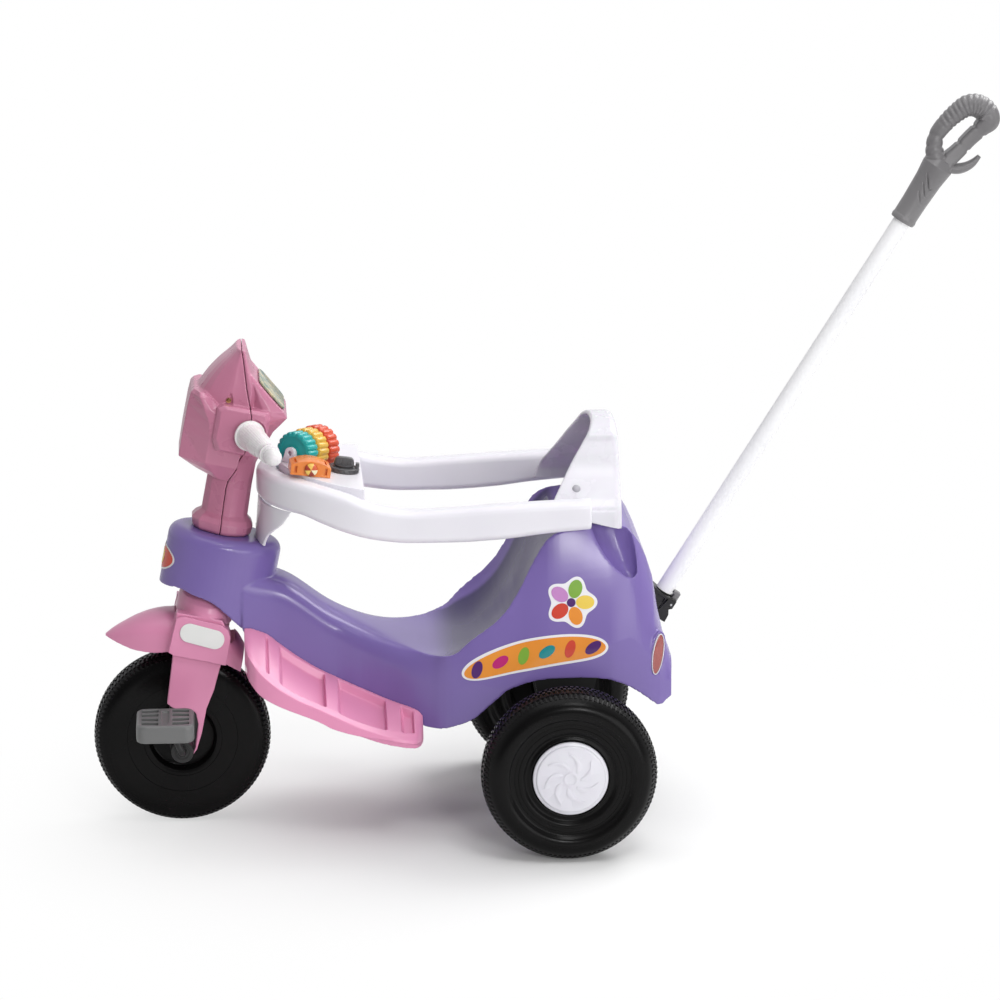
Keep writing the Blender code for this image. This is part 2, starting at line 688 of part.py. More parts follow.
front_support = finished("front_support", loft([shield_ring(i / 4) for i in range(5)]), "white plastic",
    base)
tab_x = SHIELD_CENTRE_X - SHIELD_REACH + 0.0005
tab_low = nose_height(tab_x) - SHIELD_TAB[1]
fuse(front_support, shape(box((tab_x, -SHIELD_TAB[0] / 2, tab_low),
    (tab_x + 0.003, SHIELD_TAB[0] / 2, 0.385)), base))
cut(body_shell, shape(box((tab_x - GAP, -SHIELD_TAB[0] / 2 - GAP, tab_low - 0.004),
    (tab_x + 0.003 + GAP, SHIELD_TAB[0] / 2 + GAP, 0.39)), base), solver="MANIFOLD")

# Backrest: a bell-shaped shell, open to the front
BELL_TOP = 0.524
BELL_HALF = (
    (0.4055, 0.1185), (0.425, 0.1175), (0.437, 0.113), (0.450, 0.104), (0.470, 0.090), (0.490, 0.077),
    (0.505, 0.062), (0.515, 0.045), (0.5215, 0.024), (BELL_TOP, 0.0),
)
RING_TO_BACK = 0.0015
BELL_FIT = (RING_HALF_WIDTH - RING_BAR - RING_TO_BACK) / BELL_HALF[0][1]
BELL_WALL = 0.0045
BELL_ROUND = 0.016
BELL_RIM = ((0.600, 0.60), (0.535, 0.545), (0.521, 0.522), (0.495, 0.484), (0.466, 0.437), (0.455, 0.405),
    (0.455, 0.39))
SEAT_GAP = 0.0008


def bell_outline(inset):
    """The upright outline of the backrest, from one lower corner over the top to the other."""
    heights = (0.380, 0.405, 0.425, 0.437, 0.450, 0.470, 0.490, 0.505, 0.515, 0.5215)
    half = [(read(BELL_HALF, z) * BELL_FIT - inset,
        z if z < 0.49 else z - inset * (z - 0.49) / (BELL_TOP - 0.49)) for z in heights]
    top = (0, BELL_TOP - inset)
    return [(y, z) for y, z in half] + [top] + [(-y, z) for y, z in reversed(half)]


def bell_loft(inset, rear):
    """The bell outline drawn forward from its rear face, with a round rear edge."""
    rings = []
    for angle in (90, 60, 30, 0):
        shrink = inset + BELL_ROUND * (1 - math.cos(math.radians(angle))) * 0.6
        x = rear - BELL_ROUND * 0.6 + BELL_ROUND * 0.6 * math.sin(math.radians(angle))
        rings.append([(x, y, z) for y, z in bell_outline(shrink)])
    rings.append([(0.440, y, z) for y, z in bell_outline(inset)])
    return loft(rings)


backrest = finished("backrest", bell_loft(0, BACKREST_REAR_X), "white plastic", base)
cut(backrest, shape(bell_loft(BELL_WALL, BACKREST_REAR_X - BELL_WALL), base))
front = [(0.40, 0.60)] + list(BELL_RIM) + [(0.40, 0.39)]
cut(backrest, shape(prism(front, -0.2, 0.2, "Y"), base))
cut(backrest, shape(body_loft(-SEAT_GAP), base))

# Fork, in the steering frame: X towards the rear, Z up the steering axis from the front axle

LEG_OUTLINE_FRONT = ((-0.039, 0.170), (-0.036, 0.140), (-0.033, 0.109), (-0.031, 0.080), (-0.029, 0.050))
LEG_CUT = ((-0.022, 0.0460), (-0.014, 0.0455), (-0.006, 0.0480), (0.002, 0.0480), (0.009, 0.0440))
LEG_OUTLINE_REAR = ((0.011, -0.020), (0.019, -0.003), (0.0212, 0.020), (0.0212, 0.053), (0.026, 0.078),
    (0.028, 0.109),
                    (0.031, 0.140), (0.026, 0.160), (0.020, 0.170))
HUB_RADIUS = 0.0165
LEG_WALL = 0.003
CROWN_LOW = 0.160
CROWN_FRONT = 0.039
CROWN_REAR = 0.034
STEM_SOCKET = 0.020


def crescent():
    """The inner edge of the flange that reaches down round the hub."""
    return [(x, z) for x, z in arc((0, 0), HUB_RADIUS, 15, -52, 6)]


def leg_outline(inset=0.0):
    """The side outline of a fork leg."""
    front = [(x + inset, z) for x, z in LEG_OUTLINE_FRONT]
    rear = [(x - inset, z) for x, z in LEG_OUTLINE_REAR]
    return front + [(x, z + inset) for x, z in LEG_CUT] + [(0.0145, 0.030)] + crescent() + rear


def build_fork():
    rings = []
    for height, grow in ((CROWN_LOW, 1.0), (0.175, 1.0), (0.188, 0.97), (CROWN_TOP, 0.80)):
        plan = egg(CROWN_FRONT * grow, CROWN_REAR * grow,
            FORK_OUTSIDE * grow * (0.90 if height > 0.18 else 1.0), 8)
        rings.append([(x, y, height) for x, y in plan])
    fork = finished("fork", loft(rings), "pink plastic", steering)
    for side in (-1, 1):
        low, high = sorted((side * FORK_INSIDE, side * FORK_OUTSIDE))
        fuse(fork, shape(prism(leg_outline(), low, high, "Y"), steering))
    for side in (-1, 1):
        low, high = sorted((side * (FORK_INSIDE - 0.010), side * (FORK_OUTSIDE - LEG_WALL)))
        channel = (
            (-0.036 + LEG_WALL, 0.150), (-0.031 + LEG_WALL, 0.080), (-0.029 + LEG_WALL, 0.030),
            (0.0145, 0.030),
            (0.0212 - LEG_WALL, 0.052), (0.026 - LEG_WALL, 0.078), (0.030 - LEG_WALL, 0.150),
        )
        cut(fork, shape(prism(channel, low, high, "Y"), steering))
    cut(fork, shape(rod(STEM_DIAMETER / 2 + GAP, CROWN_TOP - STEM_SOCKET, CROWN_TOP + 0.01, steps=16),
        steering))
    return fork


fork = build_fork()

# Black bearing blocks that fill the open fork ends round the hub
BEARING_TONGUE_TOP = 0.078
CRANK_BORE = CRANK_ROD / 2 + GAP


def build_bearing(side):
    tongue = [(-HUB_RADIUS + GAP * 2, 0.0), (-0.031 + LEG_WALL + 0.003, 0.030 + 0.012),
        (-0.031 + LEG_WALL + 0.0015, BEARING_TONGUE_TOP),
              (0.026 - LEG_WALL - 0.0015, BEARING_TONGUE_TOP), (0.0212 - LEG_WALL - GAP, 0.052),
              (0.0145 - GAP, 0.032)]
    ring = arc((0, 0), HUB_RADIUS - GAP, 180, 375, 14)
    outline = tongue[1:] + ring[::-1]
    low, high = sorted((side * (FORK_INSIDE + 0.001), side * (FORK_OUTSIDE - LEG_WALL - GAP)))
    return prism(outline, low, high, "Y")


bearings = mirrored("fork_bearing", build_bearing, "black plastic", steering)
for side, bearing in bearings.items():
    cut(bearing, shape(rod(CRANK_BORE, -0.06, 0.06, "Y", steps=14), steering))

# Steering stem, handlebar and grips
finished("steering_stem", rod(STEM_DIAMETER / 2, CROWN_TOP - STEM_SOCKET + GAP, STEM_TOP), "steel",
    steering)

BAR_KINK = (0.0045, 0.060)
BAR_END = (0.0345, 0.160)
GRIP_START = Vector((0.0075, 0.070, BAR_HEIGHT))
GRIP_END = Vector((0.0395, 0.1765, BAR_HEIGHT))
GRIP_AXIS = (GRIP_END - GRIP_START).normalized()
GRIP_PROFILE = (
    (0.0, 0.0190), (0.004, 0.0195), (0.0045, 0.0172), (0.045, 0.0150), (0.080, 0.0110), (0.0825, 0.0128),
    (0.086, 0.0130),
    (0.0865, 0.0098), (0.095, 0.0106), (0.103, 0.0104), (0.1105, 0.0050),
)

bar_path = [(BAR_END[0], -BAR_END[1], BAR_HEIGHT), (BAR_KINK[0], -BAR_KINK[1], BAR_HEIGHT),
            (BAR_KINK[0], BAR_KINK[1], BAR_HEIGHT), (BAR_END[0], BAR_END[1], BAR_HEIGHT)]
finished("handlebar", swept(softened(bar_path, 0.008, 2), BAR_DIAMETER / 2, (0, 0, 1), 10), "steel",
    steering)


def grip_turned(side, profile, steps):
    """A profile turned about the line of a grip."""
    bm = turned(profile, steps)
    turn = Vector((0, 0, 1)).rotation_difference(Vector((GRIP_AXIS.x, side * GRIP_AXIS.y,
        0))).to_matrix().to_4x4()
    start = Matrix.Translation((GRIP_START.x, side * GRIP_START.y, GRIP_START.z))
    bmesh.ops.transform(bm, matrix=start @ turn, verts=bm.verts)
    return bm


def grip_tool(side, profile, steps):
    """A hidden cutter turned about the line of a grip."""
    return shape(grip_turned(side, profile, steps), steering)


def build_grip(side):
    """A tapered grip with a root flange, a collar and a round end."""
    profile = [(0, 0)] + [(radius, place) for place, radius in GRIP_PROFILE] + [(0, 0.1112)]
    return grip_turned(side, profile, 16)


grips = mirrored("grip", build_grip, "white plastic", steering)
for side, grip in grips.items():
    inner = (BAR_KINK[0], side * BAR_KINK[1], BAR_HEIGHT)
    outer = (BAR_END[0] + 0.0003, side * (BAR_END[1] + 0.001), BAR_HEIGHT)
    cut(grip, shape(swept([inner, outer], BAR_DIAMETER / 2 + GAP, (0, 0, 1), 10), steering))

# Head: column, hood, fairing, ear boxes and dash housing, split into a front and a rear moulding.
# Its heights are measured from the handlebar, and its column stands on the nose.
SEAM = ((-0.026, 0.114), (-0.015, 0.085), (-0.005, 0.053), (0.006, 0.024), (0.008, 0.007),
    (0.006, -0.035), (-0.005, -0.070), (-0.006, -0.083), (-0.003, -0.146))
SEAM_TOP = 0.144
SEAM_FOOT = -0.166
COLUMN_FOOT = 2 * GAP - BAR_ABOVE_NOSE

# Levels of each form: height above the handlebar, front X, rear X, and the half-width at the front,
# at the middle and at the rear
COLUMN = (
    (COLUMN_FOOT, -0.036, 0.034, 0.020, 0.034, 0.016), (COLUMN_FOOT + 0.003, -0.0385, 0.036, 0.022, 0.036,
    0.018),
    (COLUMN_FOOT + 0.0127, -0.041, 0.037, 0.022, 0.036, 0.018),
    (COLUMN_FOOT + 0.0187, -0.037, 0.034, 0.020, 0.033, 0.016),
    (COLUMN_FOOT + 0.0237, -0.0305, 0.028, 0.013, 0.028, 0.013),
    (-0.076, -0.031, 0.026, 0.013, 0.028, 0.011),
    (-0.048, -0.031, 0.026, 0.015, 0.031, 0.011), (-0.016, -0.031, 0.035, 0.018, 0.045, 0.026),
)
HOOD = (
    (-0.078, -0.034, 0.002, 0.012, 0.034, 0.036), (-0.069, -0.050, 0.002, 0.022, 0.040, 0.043),
    (-0.055, -0.071, 0.002, 0.034, 0.050, 0.052), (-0.016, -0.0727, 0.002, 0.037, 0.059, 0.061),
    (0.030, -0.0735, 0.002, 0.040, 0.060, 0.060), (0.039, -0.0685, 0.002, 0.038, 0.056, 0.056),
)
FAIRING = (
    (0.014, -0.066, 0.010, 0.038, 0.056, 0.058), (0.042, -0.065, 0.012, 0.036, 0.054, 0.056),
    (0.061, -0.057, 0.010, 0.033, 0.050, 0.053), (0.084, -0.043, -0.010, 0.029, 0.045, 0.048),
    (0.098, -0.031, -0.006, 0.024, 0.040, 0.042), (0.107, -0.027, -0.014, 0.019, 0.035, 0.036),
)
DASH = (
    (-0.011, -0.002, 0.0345, 0.030, 0.050, 0.032), (0.002, -0.002, 0.0380, 0.034, 0.054, 0.038),
    (0.015, -0.002, 0.0450, 0.038, 0.056, 0.044), (0.0285, -0.002, 0.0520, 0.040, 0.056, 0.048),
    (0.034, -0.002, 0.0440, 0.042, 0.056, 0.050), (0.0525, -0.002, 0.0233, 0.042, 0.054, 0.050),
    (0.068, -0.006, 0.0060, 0.040, 0.050, 0.047), (0.083, -0.012, -0.0090, 0.036, 0.044, 0.043),
)
HEAD_HOLLOW = (
    (-0.052, -0.067, 0.003, 0.034, 0.050, 0.050), (-0.031, -0.069, 0.022, 0.034, 0.052, 0.030),
    (0.030, -0.068, 0.040, 0.036, 0.053, 0.040), (0.050, -0.058, 0.020, 0.032, 0.050, 0.044),
    (0.082, -0.038, -0.013, 0.026, 0.041, 0.040),
)
EAR = ((-0.037, 0.026), (-0.029, 0.031), (0.026, 0.031), (0.030, 0.024), (0.030, -0.020),
    (0.024, -0.028), (-0.029, -0.028), (-0.0365, -0.014))
EAR_HALF = 0.0695
EAR_CHAMFER = 0.005
EAR_MIDDLE = 0.001
SEAM_GAP = 0.0004


def head_ring(level, inset):
    """One level of a head form: an eight-sided ring, pulled in by the inset."""
    height, front, rear, narrow, wide, back = level
    middle_front = front * 0.55 + rear * 0.45
    middle_rear = front * 0.35 + rear * 0.65
    half = ((front + inset, narrow - inset), (middle_front, wide - inset), (middle_rear, wide - inset),
        (rear - inset, back - inset))
    return [(x, y, BAR_HEIGHT + height) for x, y in half] + [
        (x, -y, BAR_HEIGHT + height) for x, y in reversed(half)]


def head_form(levels, inset=0.0):
    """A head form lofted up its levels. The inner one stops short at both ends."""
    rings = [head_ring(level, inset) for level in levels if level[2] - level[1] > 4 * inset]
    if inset:
        rings[0] = [(x, y, z + inset) for x, y, z in rings[0]]
        rings[-1] = [(x, y, z - inset) for x, y, z in rings[-1]]
    return loft(rings)


def ear_block():
    """The chamfered boxes that carry the grips, across the whole head."""
    small = [(x * 0.86, (z - EAR_MIDDLE) * 0.88 + EAR_MIDDLE) for x, z in EAR]
    inner = EAR_HALF - EAR_CHAMFER
    places = ((-EAR_HALF, small), (-inner, EAR), (inner, EAR), (EAR_HALF, small))
    return loft([[(x, y, BAR_HEIGHT + z) for x, z in outline] for y, outline in places])


def seam_cutter(offset, far):
    """Everything on one side of the seam between the head's mouldings."""
    line = [(x + offset, BAR_HEIGHT + z) for x, z in SEAM]
    top = BAR_HEIGHT + SEAM_TOP
    foot = BAR_HEIGHT + SEAM_FOOT
    outline = [(far, top), (line[0][0], top)] + line + [(line[-1][0], foot), (far, foot)]
    return shape(prism(outline, -0.09, 0.09, "Y"), steering)


def build_head(name, keep):
    """One moulding of the head: all its forms, hollowed, and cut off at the seam."""
    piece = finished(name, head_form(COLUMN), "pink plastic", steering)
    fuse(piece, *[shape(head_form(levels), steering) for levels in (HOOD, FAIRING, DASH)],
        shape(ear_block(), steering), solver="MANIFOLD")
    hollow = shape(head_form(HEAD_HOLLOW), steering, "hollow")
    spine = shape(rod(STEM_DIAMETER / 2 + 0.004, 0.25, BAR_HEIGHT + 0.014, steps=16), steering)
    saddle = shape(box((-0.012, -0.070, BAR_HEIGHT - 0.012), (0.032, 0.070, BAR_HEIGHT + 0.012)), steering)
    cut(hollow, spine, saddle, solver="MANIFOLD")
    cut(piece, hollow, solver="MANIFOLD")
    cut(piece, seam_cutter(keep * SEAM_GAP / 2, 0.12 * -keep), solver="MANIFOLD")
    cut(piece, shape(rod(STEM_DIAMETER / 2 + GAP, 0.25, STEM_TOP + 0.0005, steps=16), steering),
        solver="MANIFOLD")
    cut(piece, shape(rod(BUSH_FLANGE_RADIUS + 0.001, 0.25, NOSE_TOP + BUSH_FLANGE + 2 * GAP, steps=16),
        steering), solver="MANIFOLD")
    cut(piece, shape(swept(softened(bar_path, 0.008, 2), BAR_DIAMETER / 2 + GAP, (0, 0, 1), 10), steering),
        solver="MANIFOLD")
    for side in (-1, 1):
        cut(piece, grip_tool(side, ((0, -GAP), (0.0215, -GAP), (0.0215, 0.02), (0, 0.02)), 14),
            solver="MANIFOLD")
    return piece


build_head("head_front", -1)
build_head("head_rear", 1)

# Dash plate on the sloping face of the head
DASH_PLATE = (0.052, 0.062, 0.0025)
DASH_LOW = Vector((DASH[4][2], 0, BAR_HEIGHT + DASH[4][0]))
DASH_HIGH = Vector((DASH[6][2], 0, BAR_HEIGHT + DASH[6][0]))
dash_tilt = math.atan2(DASH_HIGH.z - DASH_LOW.z, DASH_LOW.x - DASH_HIGH.x)
dash_place = frame("dash_place", steering, (DASH_LOW + DASH_HIGH) / 2, (0, dash_tilt, 0))
plate = prism(rounded_rectangle(DASH_PLATE[0], DASH_PLATE[1], 0.008, 3), 2 * GAP, DASH_PLATE[2], "Z")
finished("dash_plate", plate, "teal plastic", dash_place)

# Mudguard over the front wheel, with side boxes and lenses

BEAK = (
    (-0.120, 0.1105, 0.1125, 0.004), (-0.112, 0.109, 0.1215, 0.012), (-0.098, 0.107, 0.1335, 0.022),
    (-0.084, 0.106, 0.1440, 0.030),
    (-0.068, 0.107, 0.1530, 0.036), (-0.052, 0.110, 0.1590, 0.040), (-0.040, 0.114, 0.1615, 0.042),
)
SKIRT = ((0.030, 0.112, 0.160, 0.040), (0.036, 0.109, 0.150, 0.036), (0.046, 0.105, 0.142, 0.033),
    (0.056, 0.101, 0.130, 0.030))
SIDE_BOX = ((-0.040, 0.118), (-0.032, 0.115), (0.035, 0.114), (0.034, 0.150), (0.029, 0.160),
    (0.020, 0.165), (-0.030, 0.168), (-0.038, 0.164))
SIDE_BOX_HALF = 0.0585
LENS_CENTRE = (-0.002, 0.147)
LENS_SIZE = (0.057, 0.025)
LENS_TILT = math.radians(5)


def hood_section(x, low, top, half):
    """An arched cross-section: upright sides and a round roof."""
    shoulder = max(low + 0.001, top - half * 0.62)
    points = [(half, low), (half, shoulder)]
    for degrees in (32, 64, 90):
        a = math.radians(degrees)
        points.append((half * math.cos(a), shoulder + (top - shoulder) * math.sin(a)))
    points += [(-y, z) for y, z in reversed(points[:-1])]
    return [(x, y, z) for y, z in points]


def build_mudguard():
    body = finished("mudguard", loft([hood_section(*place) for place in BEAK]), "pink plastic", steering)
    middle = ((-0.042, 0.114, 0.1615, 0.042), (-0.010, 0.112, 0.164, 0.045), (0.032, 0.112, 0.160, 0.040))
    rounds = shape(prism(SIDE_BOX, -SIDE_BOX_HALF, SIDE_BOX_HALF, "Y"), steering)
    fuse(body, shape(loft([hood_section(*place) for place in middle]), steering), rounds)
    fuse(body, shape(loft([hood_section(*place) for place in SKIRT]), steering))
    inner = [(-0.108, 0.09, 0.1225, 0.013), (-0.084, 0.09, 0.1415, 0.027), (-0.052, 0.09, 0.1565, 0.037),
        (-0.020, 0.09, 0.1590, 0.041),
             (0.028, 0.09, 0.1570, 0.037), (0.046, 0.09, 0.1390, 0.030), (0.060, 0.09, 0.1235, 0.0265)]
    cut(body, shape(loft([hood_section(*place) for place in inner]), steering))
    box_inside = prism([(x * 0.91, z - 0.0035 if z > 0.13 else 0.10) for x, z in SIDE_BOX],
        -SIDE_BOX_HALF + 0.003, SIDE_BOX_HALF - 0.003, "Y")
    cut(body, shape(box_inside, steering))
    plan = egg(CROWN_FRONT + GAP, CROWN_REAR + GAP, FORK_OUTSIDE + GAP, 8)
    cut(body, shape(loft([[(x, y, z) for x, y in plan] for z in (0.08, 0.20)]), steering))
    for side in (-1, 1):
        low, high = sorted((side * (FORK_INSIDE - GAP), side * (FORK_OUTSIDE + GAP)))
        cut(body, shape(prism(leg_outline(-GAP), low, high, "Y"), steering))
    return body


build_mudguard()
lens_oval = []
for x, z in rounded_rectangle(LENS_SIZE[0], LENS_SIZE[1], LENS_SIZE[1] / 2 - 0.0005, 5):
    lens_oval.append((LENS_CENTRE[0] + x * math.cos(LENS_TILT) + z * math.sin(LENS_TILT),
                      LENS_CENTRE[1] + z * math.cos(LENS_TILT) - x * math.sin(LENS_TILT)))
for side, word in ((-1, "left"), (1, "right")):
    low, high = sorted((side * (SIDE_BOX_HALF + GAP), side * (SIDE_BOX_HALF + 0.0018)))
    finished(f"side_lens_{word}", prism(lens_oval, low, high, "Y"), "white plastic", steering)

# Front wheel, crank and pedals
wheel_line = frame("wheel_line", steering, (0, 0, 0), (0, -RAKE, 0))
FRONT_TYRE = (
    (CRANK_BORE, 0.0330), (0.0150, 0.0330), (0.0165, 0.0120), (0.0400, 0.0090), (0.0430, 0.0220),
    (0.0850, 0.0260),
    (FRONT_RADIUS - 0.0125, 0.0250), (FRONT_RADIUS - 0.0035, 0.0180), (FRONT_RADIUS, 0.0060),
)
front_profile = [(r, y) for r, y in FRONT_TYRE] + [(r, -y) for r, y in reversed(FRONT_TYRE)]
finished("front_wheel", turned(front_profile, 24, "Y"), "black plastic", wheel_line)

crank_line = frame("crank_line", wheel_line, (0, 0, 0), (0, -(math.pi / 2 + CRANK_ANGLE), 0))
CRANK_ARM_Y = 0.0905
SPINDLE_END = PEDAL_INNER + PEDAL_WIDTH - 0.006
crank_path = softened([
    (CRANK_RADIUS, -SPINDLE_END, 0), (CRANK_RADIUS, -CRANK_ARM_Y, 0), (0, -CRANK_ARM_Y, 0),
    (0, CRANK_ARM_Y, 0),
    (-CRANK_RADIUS, CRANK_ARM_Y, 0), (-CRANK_RADIUS, SPINDLE_END, 0),
], 0.006, 2)
finished("crank_axle", swept(crank_path, CRANK_ROD / 2, (0, 0, 1), 8), "steel", crank_line)
SLEEVE_RADIUS = 0.015
SLEEVE_START = FORK_OUTSIDE + GAP
SLEEVE_END = CRANK_ARM_Y - CRANK_ROD / 2 - 0.0015
for side, word in ((-1, "left"), (1, "right")):
    near, far = side * SLEEVE_START, side * SLEEVE_END
    low, high = sorted((near, far))
    sleeve = turned(((CRANK_BORE, low), (SLEEVE_RADIUS, low), (SLEEVE_RADIUS, high), (CRANK_BORE, high)),
        16, "Y")
    finished(f"crank_sleeve_{word}", sleeve, "black plastic", crank_line)

PEDAL_SLOT_ROWS = 3
PEDAL_SPINE = 0.016
PEDAL_FRAME = 0.0055


def build_pedal(side, line):
    """A slatted pedal block that turns on its spindle."""
    middle = side * (PEDAL_INNER + PEDAL_WIDTH / 2)
    outline = rounded_rectangle(PEDAL_LENGTH, PEDAL_WIDTH, 0.010, 2, (0, middle))
    half = PEDAL_THICKNESS / 2
    rings = [[(x * share, middle + (y - middle) * share, z) for x, y in outline]
             for share, z in ((0.93, -half), (1.0, -half + 0.003), (1.0, half - 0.003), (0.95, half))]
    word = {-1: "left", 1: "right"}[side]
    pedal = finished(f"pedal_{word}", loft(rings), "grey plastic", line)
    pitch = (PEDAL_WIDTH - 2 * PEDAL_FRAME) / PEDAL_SLOT_ROWS
    for row in range(PEDAL_SLOT_ROWS):
        y = middle - PEDAL_WIDTH / 2 + PEDAL_FRAME + pitch * (row + 0.5)
        for end in (-1, 1):
            near = end * PEDAL_SPINE / 2
            far = end * (PEDAL_LENGTH / 2 - PEDAL_FRAME)
            low, high = sorted((near, far))
            slot = box((low, y - pitch / 2 + 0.002, -0.02), (high, y + pitch / 2 - 0.002, 0.02))
            cut(pedal, shape(slot, line))
    low, high = sorted((side * (PEDAL_INNER - 0.01), side * (SPINDLE_END + 0.0005)))
    cut(pedal, shape(rod(CRANK_BORE, low, high, "Y", steps=10), line))
    return pedal


for side, word in ((-1, "left"), (1, "right")):
    line = frame(f"pedal_line_{word}", crank_line, (-side * CRANK_RADIUS, 0, 0),
        (0, math.pi / 2 + CRANK_ANGLE, 0))
    build_pedal(side, line)

# Rear wheels, hubcaps and push nuts
REAR_RIM = 0.047
REAR_TYRE = (
    (REAR_RIM, 0.0225), (0.0520, 0.0310), (0.0850, 0.0330), (REAR_RADIUS - 0.011, 0.0300),
    (REAR_RADIUS - 0.002, 0.0180),
    (REAR_RADIUS, 0.0040), (REAR_RADIUS - 0.002, -0.0180), (REAR_RADIUS - 0.011, -0.0300),
    (0.0850, -0.0330),
    (0.0520, -0.0310), (REAR_RIM, -0.0200),
)
REAR_BORE = REAR_ROD / 2 + GAP
REAR_HUB = 0.018
HUB_INNER_END = REAR_TRACK / 2 - AXLE_PLATE_OUTER - 0.0008
WEB = 0.004
NUT_RADIUS = 0.011
NUT_THICKNESS = 0.004


def build_rear_wheel(side):
    profile = [(REAR_BORE, -HUB_INNER_END), (REAR_HUB, -HUB_INNER_END), (REAR_HUB, -WEB)]
    profile += [(REAR_RIM - 0.001, -WEB), *reversed(REAR_TYRE), (REAR_RIM - 0.001, WEB)]
    profile += [(REAR_HUB, WEB), (REAR_HUB, 0.009), (REAR_BORE, 0.009)]
    return turned([(r, side * y) for r, y in profile], 24, "Y")


def build_hubcap(side):
    """A domed cap with a raised face and a skirt that snaps into the wheel."""
    rim = 0.0225 + GAP
    profile = [
        (0.0, 0.0315), (0.0415, 0.0313), (0.0440, 0.0285), (HUBCAP_RADIUS - 0.001, 0.0265),
        (HUBCAP_RADIUS - 0.001, rim + 0.001), (0.0445, rim + 0.001), (0.0445, 0.012), (0.0420, 0.012),
        (0.0420, 0.0285), (0.0, 0.0285),
    ]
    return turned([(r, side * y) for r, y in profile], 20, "Y")


for side, word in ((-1, "left"), (1, "right")):
    line = frame(f"rear_wheel_line_{word}", base, (WHEELBASE, side * REAR_TRACK / 2, REAR_RADIUS))
    finished(f"rear_wheel_{word}", build_rear_wheel(side), "black plastic", line)
    finished(f"hubcap_{word}", build_hubcap(side), "white plastic", line)
    low, high = sorted((side * (AXLE_END - NUT_THICKNESS - 0.0005), side * (AXLE_END - 0.0005)))
    nut = turned(((REAR_BORE, low), (NUT_RADIUS, low), (NUT_RADIUS, high), (REAR_BORE, high)), 14, "Y")
    finished(f"push_nut_{word}", nut, "steel", frame(f"push_nut_line_{word}", base,
        (WHEELBASE, 0, REAR_RADIUS)))

# Push handle: bracket on the tail, tube, release clip and loop grip

handle = frame("handle", base, TUBE_FOOT, (0, TUBE_TILT, 0))
SPIGOT_RADIUS = TUBE_DIAMETER / 2 - TUBE_WALL - GAP
BRACKET_HALF = 0.017
CLIP_AXIS = (0.0145, -0.009)
CLIP_PIN = 0.003
CLIP_SLOT = 0.013
CLIP_WIDTH = 0.012


def build_bracket():
    """The socket on the tail: a foot plate, two cheeks and the spigot that the tube slides over."""
    cheeks = ((-0.012, -0.002), (0.0185, -0.002), (0.0185, -0.013), (0.010, -0.020), (0.002, -0.026),
        (-0.012, -0.020))
    bracket = finished("handle_bracket", prism(cheeks, -BRACKET_HALF, BRACKET_HALF, "Y"), "black plastic",
        handle)
    spigot = shape(rod(SPIGOT_RADIUS, -0.010, SPIGOT_LENGTH, steps=20), handle)
    foot_outline = ((0.597, 0.306), (0.6105, 0.293), (0.622, 0.283), (0.6215, 0.262), (0.6165, 0.2525),
        (0.602, 0.262))
    foot = shape(prism(foot_outline, -BRACKET_HALF, BRACKET_HALF, "Y"), base)
    fuse(bracket, spigot, foot)
    cut(bracket, shape(box((0.0085, -CLIP_SLOT / 2, -0.030), (0.030, CLIP_SLOT / 2, 0.0)), handle))
    cut(bracket, shape(rod(CLIP_PIN / 2 + GAP, -0.02, 0.02, "Y", (CLIP_AXIS[0], 0, CLIP_AXIS[1]), 14),
        handle))
    return bracket


bracket = build_bracket()
tail_skin = shape(loft([body_ring(x, -GAP) for x in STATIONS[-10:]]), base)
cut(bracket, tail_skin)

clip_line = frame("clip_line", handle, (CLIP_AXIS[0], 0, CLIP_AXIS[1]))
clip_side = [(0.0033 * math.cos(a), 0.0033 * math.sin(a)) for a in [math.radians(d) for d in range(180, 361,
    30)]]
clip_side += [(0.0060, 0.006), (0.0058, 0.016), (-0.0012, 0.0165), (-0.0042, 0.0155), (-0.0042, 0.0125),
    (-0.0012, 0.0115), (-0.0018, 0.004)]
clip = finished("release_clip", prism(clip_side, -CLIP_WIDTH / 2, CLIP_WIDTH / 2, "Y"), "grey plastic",
    clip_line)
cut(clip, shape(rod(CLIP_PIN / 2 + GAP, -0.02, 0.02, "Y", steps=14), clip_line))
finished("clip_pin", rod(CLIP_PIN / 2, -BRACKET_HALF, BRACKET_HALF, "Y", steps=14), "steel", clip_line)

TUBE_TOP = 0.610
outer, inner = TUBE_DIAMETER / 2, TUBE_DIAMETER / 2 - TUBE_WALL
tube = finished("push_tube", turned(((inner, 0), (outer, 0), (outer, TUBE_TOP), (inner, TUBE_TOP)), 20),
    "painted steel", handle)
notch = box((0.0070, -CLIP_SLOT / 2, -0.001), (0.0130, CLIP_SLOT / 2, 0.0080))
cut(tube, shape(notch, handle))

# Loop grip, as (X, Z) points on its middle line with a radius each
SOCKET_LOW = 0.560
SOCKET_BORE_END = TUBE_TOP + GAP * 2
LOOP = (
    ((0.9515, 0.836), 0.0135), ((0.9535, 0.8480), 0.0125), ((0.9520, 0.8600), 0.0110),
    ((0.9545, 0.8750), 0.0100), ((0.9665, 0.8910), 0.0112),
    ((0.9800, 0.9035), 0.0125), ((0.9930, 0.9115), 0.0140), ((1.0060, 0.9110), 0.0150),
    ((1.0160, 0.9035), 0.0150), ((1.0185, 0.8930), 0.0140),
    ((1.0100, 0.8830), 0.0105), ((0.9960, 0.8700), 0.0095), ((0.9830, 0.8560), 0.0095),
    ((0.9700, 0.8440), 0.0105), ((0.9560, 0.8290), 0.0130),
)
HOOK = (((0.9580, 0.8420), 0.0070), ((0.9750, 0.8330), 0.0070), ((0.9880, 0.8330), 0.0065),
    ((1.0000, 0.8385), 0.0050), ((1.0095, 0.8480), 0.0026))


